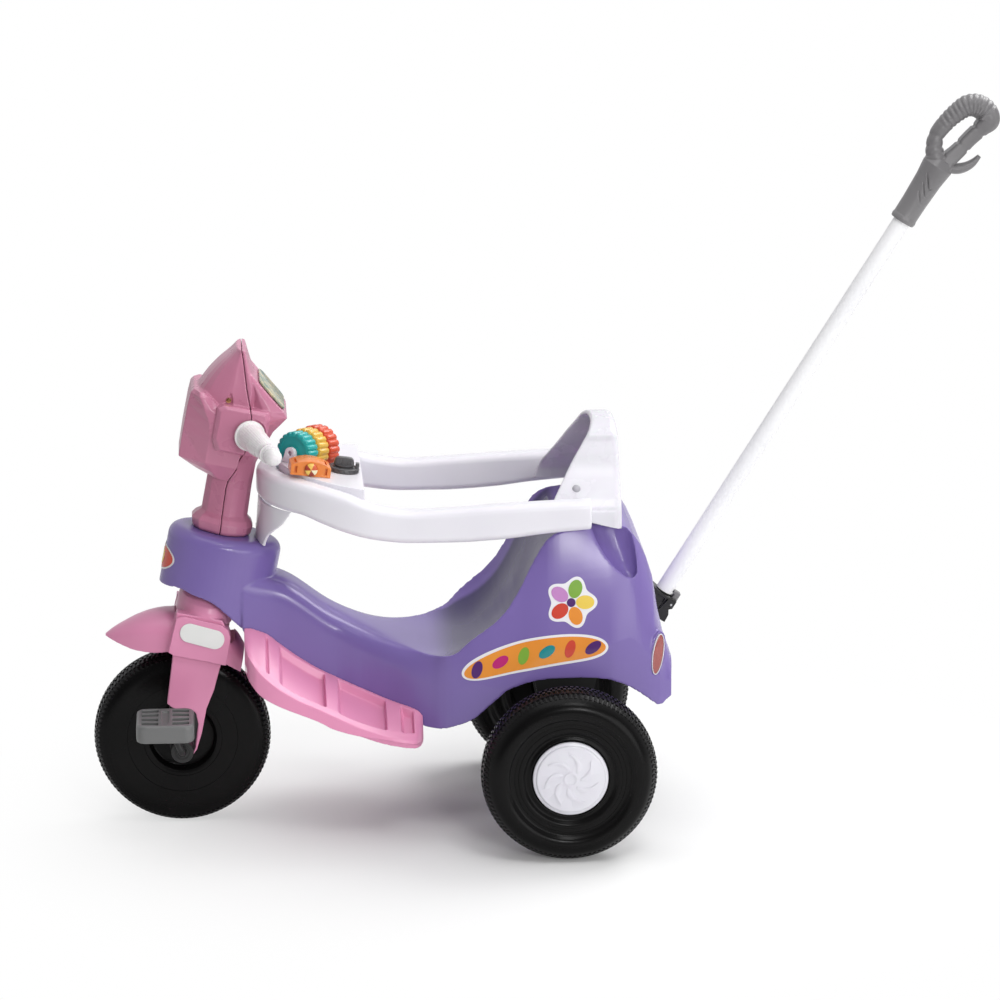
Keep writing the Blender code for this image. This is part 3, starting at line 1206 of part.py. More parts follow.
def planar(points, depth=0.0):
    """Middle line points of a flat sweep, as (x, y, z)."""
    return [(x, depth, z) for (x, z), _ in points]


def curve_through(points, steps=2):
    """More points on a smooth curve through the given (place, radius) pairs."""
    rows = []
    for i in range(len(points) - 1):
        before = points[max(i - 1, 0)]
        after = points[min(i + 2, len(points) - 1)]
        for step in range(steps):
            t = step / steps
            rows.append(blend_four(before, points[i], points[i + 1], after, t))
    rows.append(points[-1])
    return rows


def blend_four(a, b, c, d, t):
    """A Catmull-Rom blend of four (place, radius) pairs."""
    weights = (-0.5 * t ** 3 + t * t - 0.5 * t, 1.5 * t ** 3 - 2.5 * t * t + 1,
        -1.5 * t ** 3 + 2 * t * t + 0.5 * t, 0.5 * t ** 3 - 0.5 * t * t)
    items = (a, b, c, d)
    place = tuple(sum(w * item[0][k] for w, item in zip(weights, items)) for k in (0, 1))
    return place, sum(w * item[1] for w, item in zip(weights, items))


def build_loop_grip():
    socket = turned((
        (0, SOCKET_LOW), (0.0160, SOCKET_LOW), (0.0165, SOCKET_LOW + 0.004), (0.0160, SOCKET_LOW + 0.030),
        (0.0175, SOCKET_LOW + 0.062), (0.0200, SOCKET_LOW + 0.082), (0.0150, SOCKET_LOW + 0.092),
        (0, SOCKET_LOW + 0.094),
    ), 20)
    grip = finished("push_grip", socket, "grey plastic", handle)
    for arm in (LOOP[:9], LOOP[7:]):
        line = curve_through(arm, 1)
        fuse(grip, shape(swept(planar(line), [r for _, r in line], (0, 1, 0), 8, 1.15), base))
    hook = curve_through(HOOK, 1)
    fuse(grip, shape(swept(planar(hook), [r for _, r in hook], (0, 1, 0), 6, 1.4), base))
    cut(grip, shape(rod(TUBE_DIAMETER / 2 + GAP, SOCKET_LOW - 0.01, SOCKET_BORE_END, steps=24), handle))
    return grip


build_loop_grip()

# Toys on the tray

tray_place = frame("tray_place", base, (TRAY_REAR_X, 0, TRAY_REAR_TOP + GAP), (0, TRAY_ANGLE, 0))
ROLLER_TURN = math.radians(-38)
ROLLER_CENTRE = (-0.070, 0.004, 0.0125)
ROLLER_RADIUS = 0.030
ROLLER_BAND = 0.020
ROLLER_PIN = 0.006
ROLLER_RIDGES = 10
RIDGE_DEPTH = 0.0022
POST_THICKNESS = 0.005
BAND_GAP = 0.0006

roller_place = frame("roller_place", tray_place, ROLLER_CENTRE, (0, 0, ROLLER_TURN))
BAND_NAMES = ("roller_band_near", "roller_band_middle", "roller_band_far")
BAND_FINISHES = ("teal plastic", "yellow plastic", "red plastic")
BAND_RADII = (0.0265, 0.0285, 0.0300)
well_half = 1.5 * ROLLER_BAND + 1.5 * BAND_GAP + POST_THICKNESS + 0.0015


def build_band(middle, radius):
    """A ribbed ring: ridges round its rim and a bore for the pin."""
    outline = []
    for ridge in range(ROLLER_RIDGES):
        for share, drop in ((0.0, RIDGE_DEPTH), (0.25, 0), (0.6, 0)):
            angle = 2 * math.pi * (ridge + share) / ROLLER_RIDGES
            outline.append(((radius - drop) * math.cos(angle), (radius - drop) * math.sin(angle)))
    return prism(outline, middle - ROLLER_BAND / 2, middle + ROLLER_BAND / 2, "Y")


for i, (name, finish, radius) in enumerate(zip(BAND_NAMES, BAND_FINISHES, BAND_RADII)):
    middle = (i - 1) * (ROLLER_BAND + BAND_GAP)
    band = finished(name, build_band(middle, radius), finish, roller_place)
    cut(band, shape(rod(ROLLER_PIN / 2 + GAP, -0.1, 0.1, "Y", steps=16), roller_place))

pin_end = well_half - 0.001
finished("roller_pin", rod(ROLLER_PIN / 2, -pin_end, pin_end, "Y", steps=16), "steel", roller_place)
well = box((-ROLLER_RADIUS - 0.0015, -well_half + POST_THICKNESS - 0.0005, -0.06),
    (ROLLER_RADIUS + 0.0015, well_half - POST_THICKNESS + 0.0005, 0.03))
cut(play_tray, shape(well, roller_place))
for side, word in ((-1, "left"), (1, "right")):
    low, high = sorted((side * (well_half - POST_THICKNESS), side * well_half))
    post = arc((0, 0), 0.0075, 0, 180, 8) + [(-0.0105, -ROLLER_CENTRE[2]), (0.0105, -ROLLER_CENTRE[2])]
    piece = finished(f"roller_post_{word}", prism(post, low, high, "Y"), "white plastic", roller_place)
    cut(piece, shape(rod(ROLLER_PIN / 2 + GAP, -0.1, 0.1, "Y", steps=16), roller_place))

# Sounder box with a round button, on the near side
SOUNDER_CENTRE = (-0.068, -0.066)
SOUNDER_SIZE = (0.050, 0.034, 0.0165)
BUTTON_RADIUS = 0.0078
BUTTON_DEPTH = 0.0052
BUTTON_TRAVEL = 0.003
sounder_place = frame("sounder_place", tray_place, (SOUNDER_CENTRE[0], SOUNDER_CENTRE[1], 0),
    (0, 0, math.radians(4)))
arched = [(-SOUNDER_SIZE[0] / 2, 0), (SOUNDER_SIZE[0] / 2, 0),
    (SOUNDER_SIZE[0] / 2, SOUNDER_SIZE[2] * 0.72)]
arched += [(x, z) for x, z in arc((0, SOUNDER_SIZE[2] * 0.72 - 0.0405), 0.0475, 60, 120, 8)]
arched += [(-SOUNDER_SIZE[0] / 2, SOUNDER_SIZE[2] * 0.72)]
sounder = finished("sounder_box", prism(arched, -SOUNDER_SIZE[1] / 2, SOUNDER_SIZE[1] / 2, "Y"),
    "orange plastic", sounder_place)
for place in (-0.019, 0.019):
    slot = box((place - 0.0016, -0.03, 0.003), (place + 0.0016, -SOUNDER_SIZE[1] / 2 + 0.004, 0.010))
    cut(sounder, shape(slot, sounder_place))
button_line = frame("button_line", sounder_place, (0, -SOUNDER_SIZE[1] / 2, 0.0088))
cut(sounder, shape(rod(BUTTON_RADIUS + GAP, -0.01, 0.0085, "Y", steps=20), button_line))
button_end = -BUTTON_TRAVEL - 0.002
button_profile = (
    (0, button_end), (0.0060, button_end), (BUTTON_RADIUS, -BUTTON_TRAVEL), (BUTTON_RADIUS, BUTTON_DEPTH),
    (0, BUTTON_DEPTH),
)
finished("dial_button", turned(button_profile, 20, "Y"), "yellow plastic", button_line)

# Key switch behind it
KEY_CENTRE = (-0.024, -0.032)
KEY_RADIUS = 0.0200
key_place = frame("key_place", tray_place, (KEY_CENTRE[0], KEY_CENTRE[1], 0))
key_base = turned(((0.0045, 0), (KEY_RADIUS, 0), (KEY_RADIUS, 0.0045), (KEY_RADIUS - 0.0015, 0.0058),
    (0.0045, 0.0058)), 20)
key = finished("key_base", key_base, "grey plastic", key_place)
fuse(key, shape(box((0.014, -0.005, 0.001), (0.0195, 0.005, 0.0115)), key_place))
key_line = frame("key_line", key_place, (0, 0, 0))
knob = turned(((0, 0.0006), (0.0042, 0.0006), (0.0042, 0.0062), (0.0120, 0.0062), (0.0128, 0.0080),
    (0.0118, 0.0150), (0.0095, 0.0172), (0, 0.0178)), 20)
knob_piece = finished("key_knob", knob, "grey plastic", key_line)
for side in (-1, 1):
    grip_cut = box((-0.02, side * 0.0095 - 0.0045, 0.0085), (0.02, side * 0.0095 + 0.0045, 0.03))
    cut(knob_piece, shape(grip_cut, key_line))
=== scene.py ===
"""The looks of a toddler's pedal tricycle with a push handle, on a pale studio floor."""

import math

import bmesh
import bpy
from mathutils import Matrix, Vector
from mathutils.bvhtree import BVHTree


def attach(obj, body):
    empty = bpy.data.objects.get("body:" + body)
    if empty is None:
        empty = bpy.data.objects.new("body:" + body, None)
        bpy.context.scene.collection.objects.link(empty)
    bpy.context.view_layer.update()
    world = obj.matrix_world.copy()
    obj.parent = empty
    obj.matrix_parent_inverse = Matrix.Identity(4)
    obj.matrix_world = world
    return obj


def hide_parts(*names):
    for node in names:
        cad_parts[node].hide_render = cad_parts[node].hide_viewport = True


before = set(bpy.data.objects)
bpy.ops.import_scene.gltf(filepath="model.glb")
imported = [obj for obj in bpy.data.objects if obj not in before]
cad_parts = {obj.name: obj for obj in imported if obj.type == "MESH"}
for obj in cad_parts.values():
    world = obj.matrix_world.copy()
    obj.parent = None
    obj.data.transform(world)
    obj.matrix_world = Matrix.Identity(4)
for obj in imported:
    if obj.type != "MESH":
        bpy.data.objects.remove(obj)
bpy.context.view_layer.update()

# Studio: a pale floor that fades to white away from the tricycle, soft lamps behind, above,
# over the shoulder, at the side and beside the lens, and a long lens at the left, a little above.
FRONT_AXLE_X = -0.4597
CAMERA_PLACE = Vector((FRONT_AXLE_X + 0.045, -5.45, 1.80))
CAMERA_YAW = math.radians(3.80)
CAMERA_PITCH = math.radians(-14.25)
LENS_MM = 159.84
FLOOR_HALF = 12.0
FLOOR_FRONT = 1.3
PAPER_NEAR = 0.10
PAPER_FAR = 0.76

camera_data = bpy.data.cameras.new("camera")
camera_data.lens = LENS_MM
camera_data.sensor_width = 36
camera_data.clip_end = 60
camera = bpy.data.objects.new("camera", camera_data)
bpy.context.scene.collection.objects.link(camera)
look = Vector((
    math.sin(CAMERA_YAW) * math.cos(CAMERA_PITCH),
    math.cos(CAMERA_YAW) * math.cos(CAMERA_PITCH),
    math.sin(CAMERA_PITCH),
))
camera.location = CAMERA_PLACE
camera.rotation_euler = look.to_track_quat("-Z", "Y").to_euler()
bpy.context.scene.camera = camera


def node(tree, kind, values=None, wires=None, **settings):
    """A shader node with its settings, its socket values and the outputs wired into it."""
    made = tree.nodes.new(f"ShaderNode{kind}")
    for key, setting in settings.items():
        setattr(made, key, setting)
    for socket, value in (values or {}).items():
        made.inputs[socket].default_value = value
    for socket, source in (wires or {}).items():
        tree.links.new(source, made.inputs[socket])
    return made


def new_material(name):
    """A material with its node tree and its shader."""
    made = bpy.data.materials.new(name)
    made.use_nodes = True
    return made, made.node_tree, made.node_tree.nodes["Principled BSDF"]


floor_mesh = bpy.data.meshes.new("floor")
corners = [
    (-FLOOR_HALF, -FLOOR_FRONT, 0), (FLOOR_HALF, -FLOOR_FRONT, 0), (FLOOR_HALF, FLOOR_HALF, 0),
    (-FLOOR_HALF, FLOOR_HALF, 0),
]
floor_mesh.from_pydata(corners, [], [(0, 1, 2, 3)])
floor = bpy.data.objects.new("floor", floor_mesh)
bpy.context.scene.collection.objects.link(floor)
paper, tree, sheet = new_material("studio paper")
sheet.inputs["Base Color"].default_value = (0.90, 0.90, 0.90, 1)
sheet.inputs["Roughness"].default_value = 0.9
sheet.inputs["Specular IOR Level"].default_value = 0.1
spot = node(tree, "TexCoord")
reach = node(tree, "VectorMath", wires={0: spot.outputs["Object"]}, operation="LENGTH")
fade = node(
    tree, "MapRange", {"From Min": PAPER_NEAR, "From Max": PAPER_FAR}, {"Value": reach.outputs["Value"]},
    interpolation_type="SMOOTHSTEP",
)
ray = node(tree, "LightPath")
seen = node(tree, "Math", wires={0: fade.outputs["Result"], 1: ray.outputs["Is Camera Ray"]},
    operation="MULTIPLY")
glare = node(tree, "Emission", {"Strength": 1.0})
blend = node(
    tree, "MixShader",
    wires={"Fac": seen.outputs["Value"], 1: sheet.outputs["BSDF"], 2: glare.outputs["Emission"]},
)
tree.links.new(blend.outputs["Shader"], tree.nodes["Material Output"].inputs["Surface"])
floor_mesh.materials.append(paper)


def lamp(name, place, target, size, power):
    """A square soft box that faces the target."""
    data = bpy.data.lights.new(name, "AREA")
    data.size = size
    data.energy = power
    light = bpy.data.objects.new(name, data)
    light.location = place
    light.rotation_euler = (Vector(target) - Vector(place)).to_track_quat("-Z", "Y").to_euler()
    bpy.context.scene.collection.objects.link(light)
    return light


lamp("soft box behind", (1.6, 1.2, 2.6), (0.0, 0.0, 0.35), 1.8, 52)
lamp("soft box above", (-0.2, -0.3, 3.2), (0.0, 0.0, 0.3), 2.4, 22)
lamp("soft box over the shoulder", (0.55, -1.75, 3.1), (0.1, -0.1, 0.35), 0.9, 18)
lamp("soft box at the side", (2.3, -3.6, 0.9), (0.1, 0.0, 0.35), 2.2, 40)
gleam = lamp("low soft box beside the lens", (0.55, -3.1, 1.30), (0.05, -0.13, 0.37), 0.45, 19)
gleam.visible_camera = False

# The air sheds three times as much light from the tricycle's rear as from its front. Reflections
# see it darker towards the camera, as in a studio whose lamps stand behind and above.
AIR_FRONT = (0.10, 0.10, 0.11, 1)
AIR_BEHIND = (0.85, 0.85, 0.87, 1)
LIGHT_FROM_FRONT = 0.22
LIGHT_FROM_REAR = 0.68
world = bpy.data.worlds.new("studio air")
bpy.context.scene.world = world
world.use_nodes = True
tree = world.node_tree
way = node(tree, "TexCoord")
split = node(tree, "SeparateXYZ", wires={"Vector": way.outputs["Generated"]})
depth = node(tree, "MapRange", {"From Min": -1.0, "From Max": 1.0}, {"Value": split.outputs["Y"]})
mirror = node(tree, "ValToRGB", wires={"Fac": depth.outputs["Result"]})
mirror.color_ramp.elements[0].position = 0.10
mirror.color_ramp.elements[0].color = AIR_FRONT
mirror.color_ramp.elements[1].position = 0.62
mirror.color_ramp.elements[1].color = AIR_BEHIND
breadth = node(
    tree, "MapRange",
    {"From Min": -1.0, "From Max": 1.0, "To Min": LIGHT_FROM_FRONT, "To Max": LIGHT_FROM_REAR},
    {"Value": split.outputs["X"]},
)
kind = node(tree, "LightPath")
mixer = node(tree, "Mix", data_type="RGBA")
tree.links.new(breadth.outputs["Result"], mixer.inputs["A"])
tree.links.new(kind.outputs["Is Glossy Ray"], mixer.inputs["Factor"])
tree.links.new(mirror.outputs["Color"], mixer.inputs["B"])
tree.links.new(mixer.outputs["Result"], tree.nodes["Background"].inputs["Color"])
bpy.context.scene.view_settings.view_transform = "Standard"

# Body shell: one blow-moulded purple plastic form with the saddle, tail and nose.
# The shell is open below, with ribs inside, and its edges are rounded by the mould.
RAKE = math.radians(11.4)
FRONT_RADIUS = 0.1125
WALL = 0.003
BORE_PLAY = 0.0003
ON_FRAME = Matrix.Translation((FRONT_AXLE_X, 0, 0))
STEERING_IN_FRAME = Matrix.Translation((0, 0, FRONT_RADIUS)) @ Matrix.Rotation(RAKE, 4, "Y")
ON_STEERING = ON_FRAME @ STEERING_IN_FRAME


def tangent(left, right):
    """A slope between two neighbours that never overshoots."""
    return 0 if left * right <= 0 else 2 * left * right / (left + right)


def read(table, x):
    """The value of a table of (x, value) pairs at x, joined by smooth curves that keep its steps."""
    if x <= table[0][0]:
        return table[0][1]
    for i, ((x0, y0), (x1, y1)) in enumerate(zip(table, table[1:])):
        if x > x1:
            continue
        slope = (y1 - y0) / (x1 - x0)
        before = slope if i == 0 else (y0 - table[i - 1][1]) / (x0 - table[i - 1][0])
        after = slope if i + 2 >= len(table) else (table[i + 2][1] - y1) / (table[i + 2][0] - x1)
        start = tangent(before, slope)
        end = tangent(slope, after)
        t = (x - x0) / (x1 - x0)
        width = x1 - x0
        rise = t * t * (3 - 2 * t)
        return y0 + (y1 - y0) * rise + width * (start * t * (1 - t) ** 2 - end * t * t * (1 - t))
    return table[-1][1]


def bridge(bm, first, second, closed=True):
    """Faces between two rows of vertices of equal length."""
    count = len(first)
    for i in range(count if closed else count - 1):
        j = (i + 1) % count
        bm.faces.new((first[i], first[j], second[j], second[i]))


def loft(rings):
    """A skin over rings of equal length, with flat ends."""
    bm = bmesh.new()
    rows = [[bm.verts.new(point) for point in ring] for ring in rings]
    for first, second in zip(rows, rows[1:]):
        bridge(bm, first, second)
    bm.faces.new(reversed(rows[0]))
    bm.faces.new(rows[-1])
    return bm


def along(axis, point, height):
    """A point of a flat outline, at a height along the axis."""
    a, b = point
    return {"X": (height, a, b), "Y": (a, height, b), "Z": (a, b, height)}[axis]


def prism(outline, low, high, axis="Y"):
    """A flat outline drawn out between two heights along one axis."""
    bm = bmesh.new()
    verts = [bm.verts.new(along(axis, point, low)) for point in outline]
    face = bm.faces.new(verts)
    made = bmesh.ops.extrude_face_region(bm, geom=[face])
    lifted = [item for item in made["geom"] if isinstance(item, bmesh.types.BMVert)]
    bmesh.ops.translate(bm, verts=lifted, vec=along(axis, (0, 0), high - low))
    return bm


def box(low, high):
    """A block between two corners."""
    outline = ((low[0], low[1]), (high[0], low[1]), (high[0], high[1]), (low[0], high[1]))
    return prism(outline, low[2], high[2], "Z")


def turned(profile, steps, axis="Z", centre=(0, 0, 0)):
    """A closed profile of (radius, height) points spun about an axis through the centre."""
    bm = bmesh.new()
    verts = [bm.verts.new((radius, 0, height)) for radius, height in profile]
    edges = [bm.edges.new((a, b)) for a, b in zip(verts, verts[1:])]
    if min(radius for radius, _ in profile) > 0:
        edges.append(bm.edges.new((verts[-1], verts[0])))
    bmesh.ops.spin(
        bm, geom=verts + edges, cent=(0, 0, 0), axis=(0, 0, 1), angle=2 * math.pi, steps=steps,
        use_merge=True
    )
    bmesh.ops.remove_doubles(bm, verts=bm.verts, dist=1e-6)
    turn = {"Z": Matrix(), "Y": Matrix.Rotation(-math.pi / 2, 4, "X"),
        "X": Matrix.Rotation(math.pi / 2, 4, "Y")}
    bmesh.ops.transform(bm, matrix=Matrix.Translation(centre) @ turn[axis], verts=bm.verts)
    return bm


def rod(radius, low, high, axis="Z", centre=(0, 0, 0), steps=48):
    """A plain round bar."""
    return turned(((0, low), (radius, low), (radius, high), (0, high)), steps, axis, centre)


def span(side, near, far):
    """Two distances from the middle plane as an interval of Y on one side."""
    return sorted((side * near, side * far))


def around(steps):
    """The angles of a full turn in equal steps."""
    return [2 * math.pi * i / steps for i in range(steps)]


def arc(centre, radius, start, end, steps):
    """Points of a circular arc, its angles in degrees."""
    angles = [math.radians(start + (end - start) * i / steps) for i in range(steps + 1)]
    return [(centre[0] + radius * math.cos(a), centre[1] + radius * math.sin(a)) for a in angles]


def rounded_rectangle(width, height, radius, steps=6, centre=(0, 0)):
    """The outline of a rectangle with round corners."""
    points = []
    for quarter, (sx, sy) in enumerate(((1, 1), (-1, 1), (-1, -1), (1, -1))):
        corner = (centre[0] + sx * (width / 2 - radius), centre[1] + sy * (height / 2 - radius))
        points += arc(corner, radius, 90 * quarter, 90 * quarter + 90, steps)
    return points


def moved(bm, matrix):
    """The same solid in another place."""
    bmesh.ops.transform(bm, matrix=matrix, verts=bm.verts)
    return bm


def as_object(bm):
    """A mesh object from a solid, its faces outward."""
    bmesh.ops.recalc_face_normals(bm, faces=bm.faces)
    mesh = bpy.data.meshes.new("form")
    bm.to_mesh(mesh)
    bm.free()
    made = bpy.data.objects.new("form", mesh)
    bpy.context.scene.collection.objects.link(made)
    return made


def settled(piece):
    """The piece with its modifiers made part of its mesh."""
    mesh = bpy.data.meshes.new_from_object(piece.evaluated_get(bpy.context.evaluated_depsgraph_get()))
    old = piece.data
    piece.modifiers.clear()
    piece.data = mesh
    bpy.data.meshes.remove(old)
    return piece


def solid(first, add=(), cut=()):
    """One solid from others: the added ones joined on, then the cut ones taken away."""
    piece = first if isinstance(first, bpy.types.Object) else as_object(first)
    tools = []
    for operation, others in (("UNION", add), ("DIFFERENCE", cut)):
        for other in others:
            tool = other if isinstance(other, bpy.types.Object) else as_object(other)
            tools.append(tool)
            modifier = piece.modifiers.new(operation, "BOOLEAN")
            modifier.operation = operation
            modifier.object = tool
            modifier.solver = "MANIFOLD"
    settled(piece)
    for tool in tools:
        bpy.data.objects.remove(tool)
    return piece


def moulded(piece, detail, rounds, share):
    """Melts a solid into one skin: edges as round as the detail, flat places flat."""
    remesh = piece.modifiers.new("skin", "REMESH")
    remesh.mode = "VOXEL"
    remesh.voxel_size = detail
    smooth = piece.modifiers.new("melt", "SMOOTH")
    smooth.factor = 0.5
    smooth.iterations = rounds
    thin = piece.modifiers.new("thin", "DECIMATE")
    thin.ratio = share
    return settled(piece)


def dressed(piece, name, finish, place, body, slot, *nodes, crease=None):
    """Names a finished piece, puts it in its place and ties it to the model."""
    piece.name = name
    piece.data.name = name
    piece.data.transform(place)
    piece.data.update()
    piece.data.materials.clear()
    piece.data.materials.append(finish)
    piece.data.shade_smooth()
    if crease is not None:
        piece.data.set_sharp_from_angle(angle=math.radians(crease))
    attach(piece, body)
    if nodes:
        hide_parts(*nodes)
    return piece


def worn(tree, shader, pattern, low, high):
    """Roughness that follows a pattern between two values."""
    level = node(tree, "MapRange", {"To Min": low, "To Max": high}, {"Value": pattern})
    tree.links.new(level.outputs["Result"], shader.inputs["Roughness"])


def grained(tree, shader, pattern, strength):
    """A fine relief of the skin that follows a pattern."""
    bump = node(tree, "Bump", {"Strength": strength, "Distance": 0.001}, {"Height": pattern})
    tree.links.new(bump.outputs["Normal"], shader.inputs["Normal"])


def plastic(name, colour, shade, gloss, grain=0.02, grain_size=900.0, cloud=7.0, glow=0.0, shine=0.5):
    """Moulded plastic: clouded colour, a faint grain, and gloss that varies a little."""
    made, tree, shader = new_material(name)
    where = node(tree, "TexCoord").outputs["Object"]
    clouds = node(tree, "TexNoise", {"Scale": cloud, "Detail": 3}, {"Vector": where})
    tint = node(tree, "ValToRGB", wires={"Fac": clouds.outputs["Fac"]})
    for element, position, tone in zip(tint.color_ramp.elements, (0.35, 0.65), (shade, colour)):
        element.position = position
        element.color = (*tone, 1)
    wear = node(tree, "TexNoise", {"Scale": 38, "Detail": 6}, {"Vector": where})
    worn(tree, shader, wear.outputs["Fac"], gloss - 0.02, gloss + 0.04)
    skin = node(tree, "TexNoise", {"Scale": grain_size, "Detail": 2}, {"Vector": where})
    grained(tree, shader, skin.outputs["Fac"], grain)
    tree.links.new(tint.outputs["Color"], shader.inputs["Base Color"])
    shader.inputs["Specular IOR Level"].default_value = shine
    if glow:
        shader.inputs["Subsurface Weight"].default_value = glow
        shader.inputs["Subsurface Radius"].default_value = (0.01, 0.007, 0.01)
        shader.inputs["Subsurface Scale"].default_value = 0.5
    return made


purple_plastic = plastic("purple shell plastic", (0.190, 0.134, 0.385), (0.180, 0.126, 0.370), gloss=0.24)

# Painted shade: the hollow of the seat back, between its rims and behind the front of the seat, is darker
SEAT_PAINTED_SHADE = (0.050, 0.037, 0.118, 1)
SEAT_SHADE_EDGES = (("Y", 0.104, 0.113, 1, 0), ("X", -0.150, -0.105, 0, 1), ("X", 0.012, 0.026, 1, 0))
tree = purple_plastic.node_tree
seat_where = node(tree, "TexCoord").outputs["Object"]
seat_split = node(tree, "SeparateXYZ", wires={"Vector": seat_where})
seat_shade_edges = []
for axis, near, far, first, last in SEAT_SHADE_EDGES:
    place = seat_split.outputs[axis]
    if axis == "Y":
        place = node(tree, "Math", wires={0: place}, operation="ABSOLUTE").outputs["Value"]
    edge = node(
        tree, "MapRange", {"From Min": near, "From Max": far, "To Min": first, "To Max": last},
        {"Value": place},
        interpolation_type="SMOOTHSTEP",
    )
    seat_shade_edges.append(edge.outputs["Result"])
seat_shade_mask = seat_shade_edges[0]
for other in seat_shade_edges[1:]:
    seat_shade_mask = node(tree, "Math", wires={0: other, 1: seat_shade_mask}, operation="MULTIPLY").outputs["Value"]
# The painted shade is mixed over the plastic's own clouded colour inside the mask
seat_shade_mix = node(tree, "Mix", data_type="RGBA")
seat_shade_mix.inputs["B"].default_value = SEAT_PAINTED_SHADE
seat_colour = tree.nodes["Principled BSDF"].inputs["Base Color"]
tree.links.new(seat_colour.links[0].from_socket, seat_shade_mix.inputs["A"])
tree.links.new(seat_shade_mask, seat_shade_mix.inputs["Factor"])
tree.links.new(seat_shade_mix.outputs["Result"], seat_colour)

# Heights and half-widths along the body, as (x, value) pairs, x measured back from the front axle
RIDGE = (
    (0.078, 0.334), (0.131, 0.318), (0.191, 0.278), (0.239, 0.255), (0.276, 0.2435), (0.312, 0.238),
    (0.340, 0.243), (0.360, 0.262), (0.402, 0.298), (0.423, 0.330), (0.441, 0.366), (0.461, 0.394),
    (0.480, 0.402), (0.512, 0.405), (0.557, 0.400), (0.570, 0.388), (0.580, 0.370), (0.588, 0.350),
    (0.597, 0.314), (0.602, 0.277), (0.610, 0.250), (0.616, 0.236),
)
SEAT = (
    (0.078, 0.338), (0.131, 0.322), (0.191, 0.282), (0.239, 0.258), (0.276, 0.2445), (0.312, 0.236),
    (0.340, 0.2335), (0.370, 0.238), (0.402, 0.262), (0.423, 0.290), (0.440, 0.322), (0.461, 0.370),
    (0.480, 0.398), (0.512, 0.405), (0.557, 0.400), (0.570, 0.388), (0.580, 0.370), (0.588, 0.350),
    (0.597, 0.314), (0.602, 0.277), (0.610, 0.250), (0.616, 0.236),
)
RIDGE_HALF = (
    (0.078, 0.030), (0.191, 0.026), (0.239, 0.036), (0.276, 0.060), (0.312, 0.096), (0.340, 0.118),
    (0.402, 0.128), (0.461, 0.116), (0.512, 0.110), (0.557, 0.104), (0.588, 0.092), (0.602, 0.088),
    (0.616, 0.078),
)
SIDE_HALF = (
    (0.078, 0.054), (0.130, 0.047), (0.193, 0.048), (0.225, 0.055), (0.258, 0.070), (0.300, 0.097),
    (0.343, 0.122), (0.382, 0.134), (0.456, 0.142), (0.531, 0.141), (0.566, 0.135), (0.597, 0.125),
    (0.616, 0.112),
)
BULGE = (
    (0.078, 1.0), (0.258, 0.9), (0.343, 0.35), (0.402, 0.15), (0.512, 0.30), (0.580, 0.45), (0.616, 0.6),
)
SHOULDER_DROP = (
    (0.078, 0.026), (0.239, 0.028), (0.312, 0.034), (0.360, 0.055), (0.420, 0.110), (0.500, 0.150),
    (0.580, 0.12), (0.616, 0.03),
)
LOWER_EDGE = (
    (-0.030, 0.3150), (-0.0035, 0.3170), (0.016, 0.3096), (0.039, 0.3006), (0.051, 0.290),
    (0.070, 0.2705), (0.082, 0.2576), (0.155, 0.210), (0.221, 0.178), (0.3007, 0.1464), (0.3166, 0.1442),
    (0.329, 0.146), (0.342, 0.1506), (0.362, 0.160), (0.3805, 0.176), (0.397, 0.192), (0.410, 0.203),
    (0.454, 0.216), (0.498, 0.2176), (0.528, 0.2154), (0.547, 0.2096), (0.564, 0.201), (0.581, 0.1885),
    (0.595, 0.177), (0.601, 0.1735), (0.607, 0.1775), (0.616, 0.183), (0.640, 0.183),
)
BODY_START = 0.078
BODY_END = 0.616
BODY_STATIONS = 68
BODY_FLOOR = 0.100
NOSE_FRONT = 0.066
NOSE_REAR = 0.078
NOSE_HALF = 0.060
NOSE_ROUND = 0.014
NOSE_FLOOR = 0.110
NOSE_TOP = 0.2737
RIBS = ((0.330, 0.180), (0.435, 0.235), (0.525, 0.235))
PLATE_TOP = 0.262
AXLE_PLATE = (0.126, 0.136)
AXLE_BOSS = 0.017
REAR_AXLE = (0.4805, 0.110)
REAR_ROD = 0.012
POCKET = (
    (0.450, 0.5385, 0.0300), (0.408, 0.5405, 0.0290), (0.388, 0.5450, 0.0250), (0.370, 0.5505, 0.0205),
    (0.354, 0.5560, 0.0150), (0.344, 0.5605, 0.0095), (0.338, 0.5630, 0.0040),
)
POCKET_Y = 0.115
BUMPER_HALF = 0.062
BUMPER_X = 0.6215
BUMPER_TOP = 0.221
BUMPER_LOW = 0.140
HOUSING_FOOT = 0.2016
HOUSING_RADIUS = 0.019
HOUSING_BORE = 0.0153
SLOT_X = 0.0970


def body_ring(x, inset):
    """One cross-section of the body, from the floor up the far side, over the seat and down again."""
    ridge = min(read(RIDGE, x + step) for step in (-inset, 0, inset)) - inset
    seat = min(read(SEAT, x + step) for step in (-inset, 0, inset)) - inset
    side = read(SIDE_HALF, x) - inset
    top = min(read(RIDGE_HALF, x) - inset * 0.6, side - 0.002)
    bulge = read(BULGE, x)
    low = ridge - read(SHOULDER_DROP, x)
    bend_y = (side + top) / 2 * (1 - bulge) + side * bulge
    bend_z = (low + ridge) / 2 * (1 - bulge) + ridge * bulge
    half = [(side, BODY_FLOOR + (low - BODY_FLOOR) * i / 6) for i in range(6)]
    for i in range(13):
        t = i / 12
        half.append((
            side * (1 - t) ** 2 + 2 * bend_y * t * (1 - t) + top * t * t,
            low * (1 - t) ** 2 + 2 * bend_z * t * (1 - t) + ridge * t * t,
        ))
    for i in range(14):
        share = 1 - (i + 1) / 14
        half.append((top * share, seat + (ridge - seat) * share ** 3.6))
    ring = half + [(-y, z) for y, z in reversed(half[:-1])]
    return [(x, y, z) for y, z in ring]


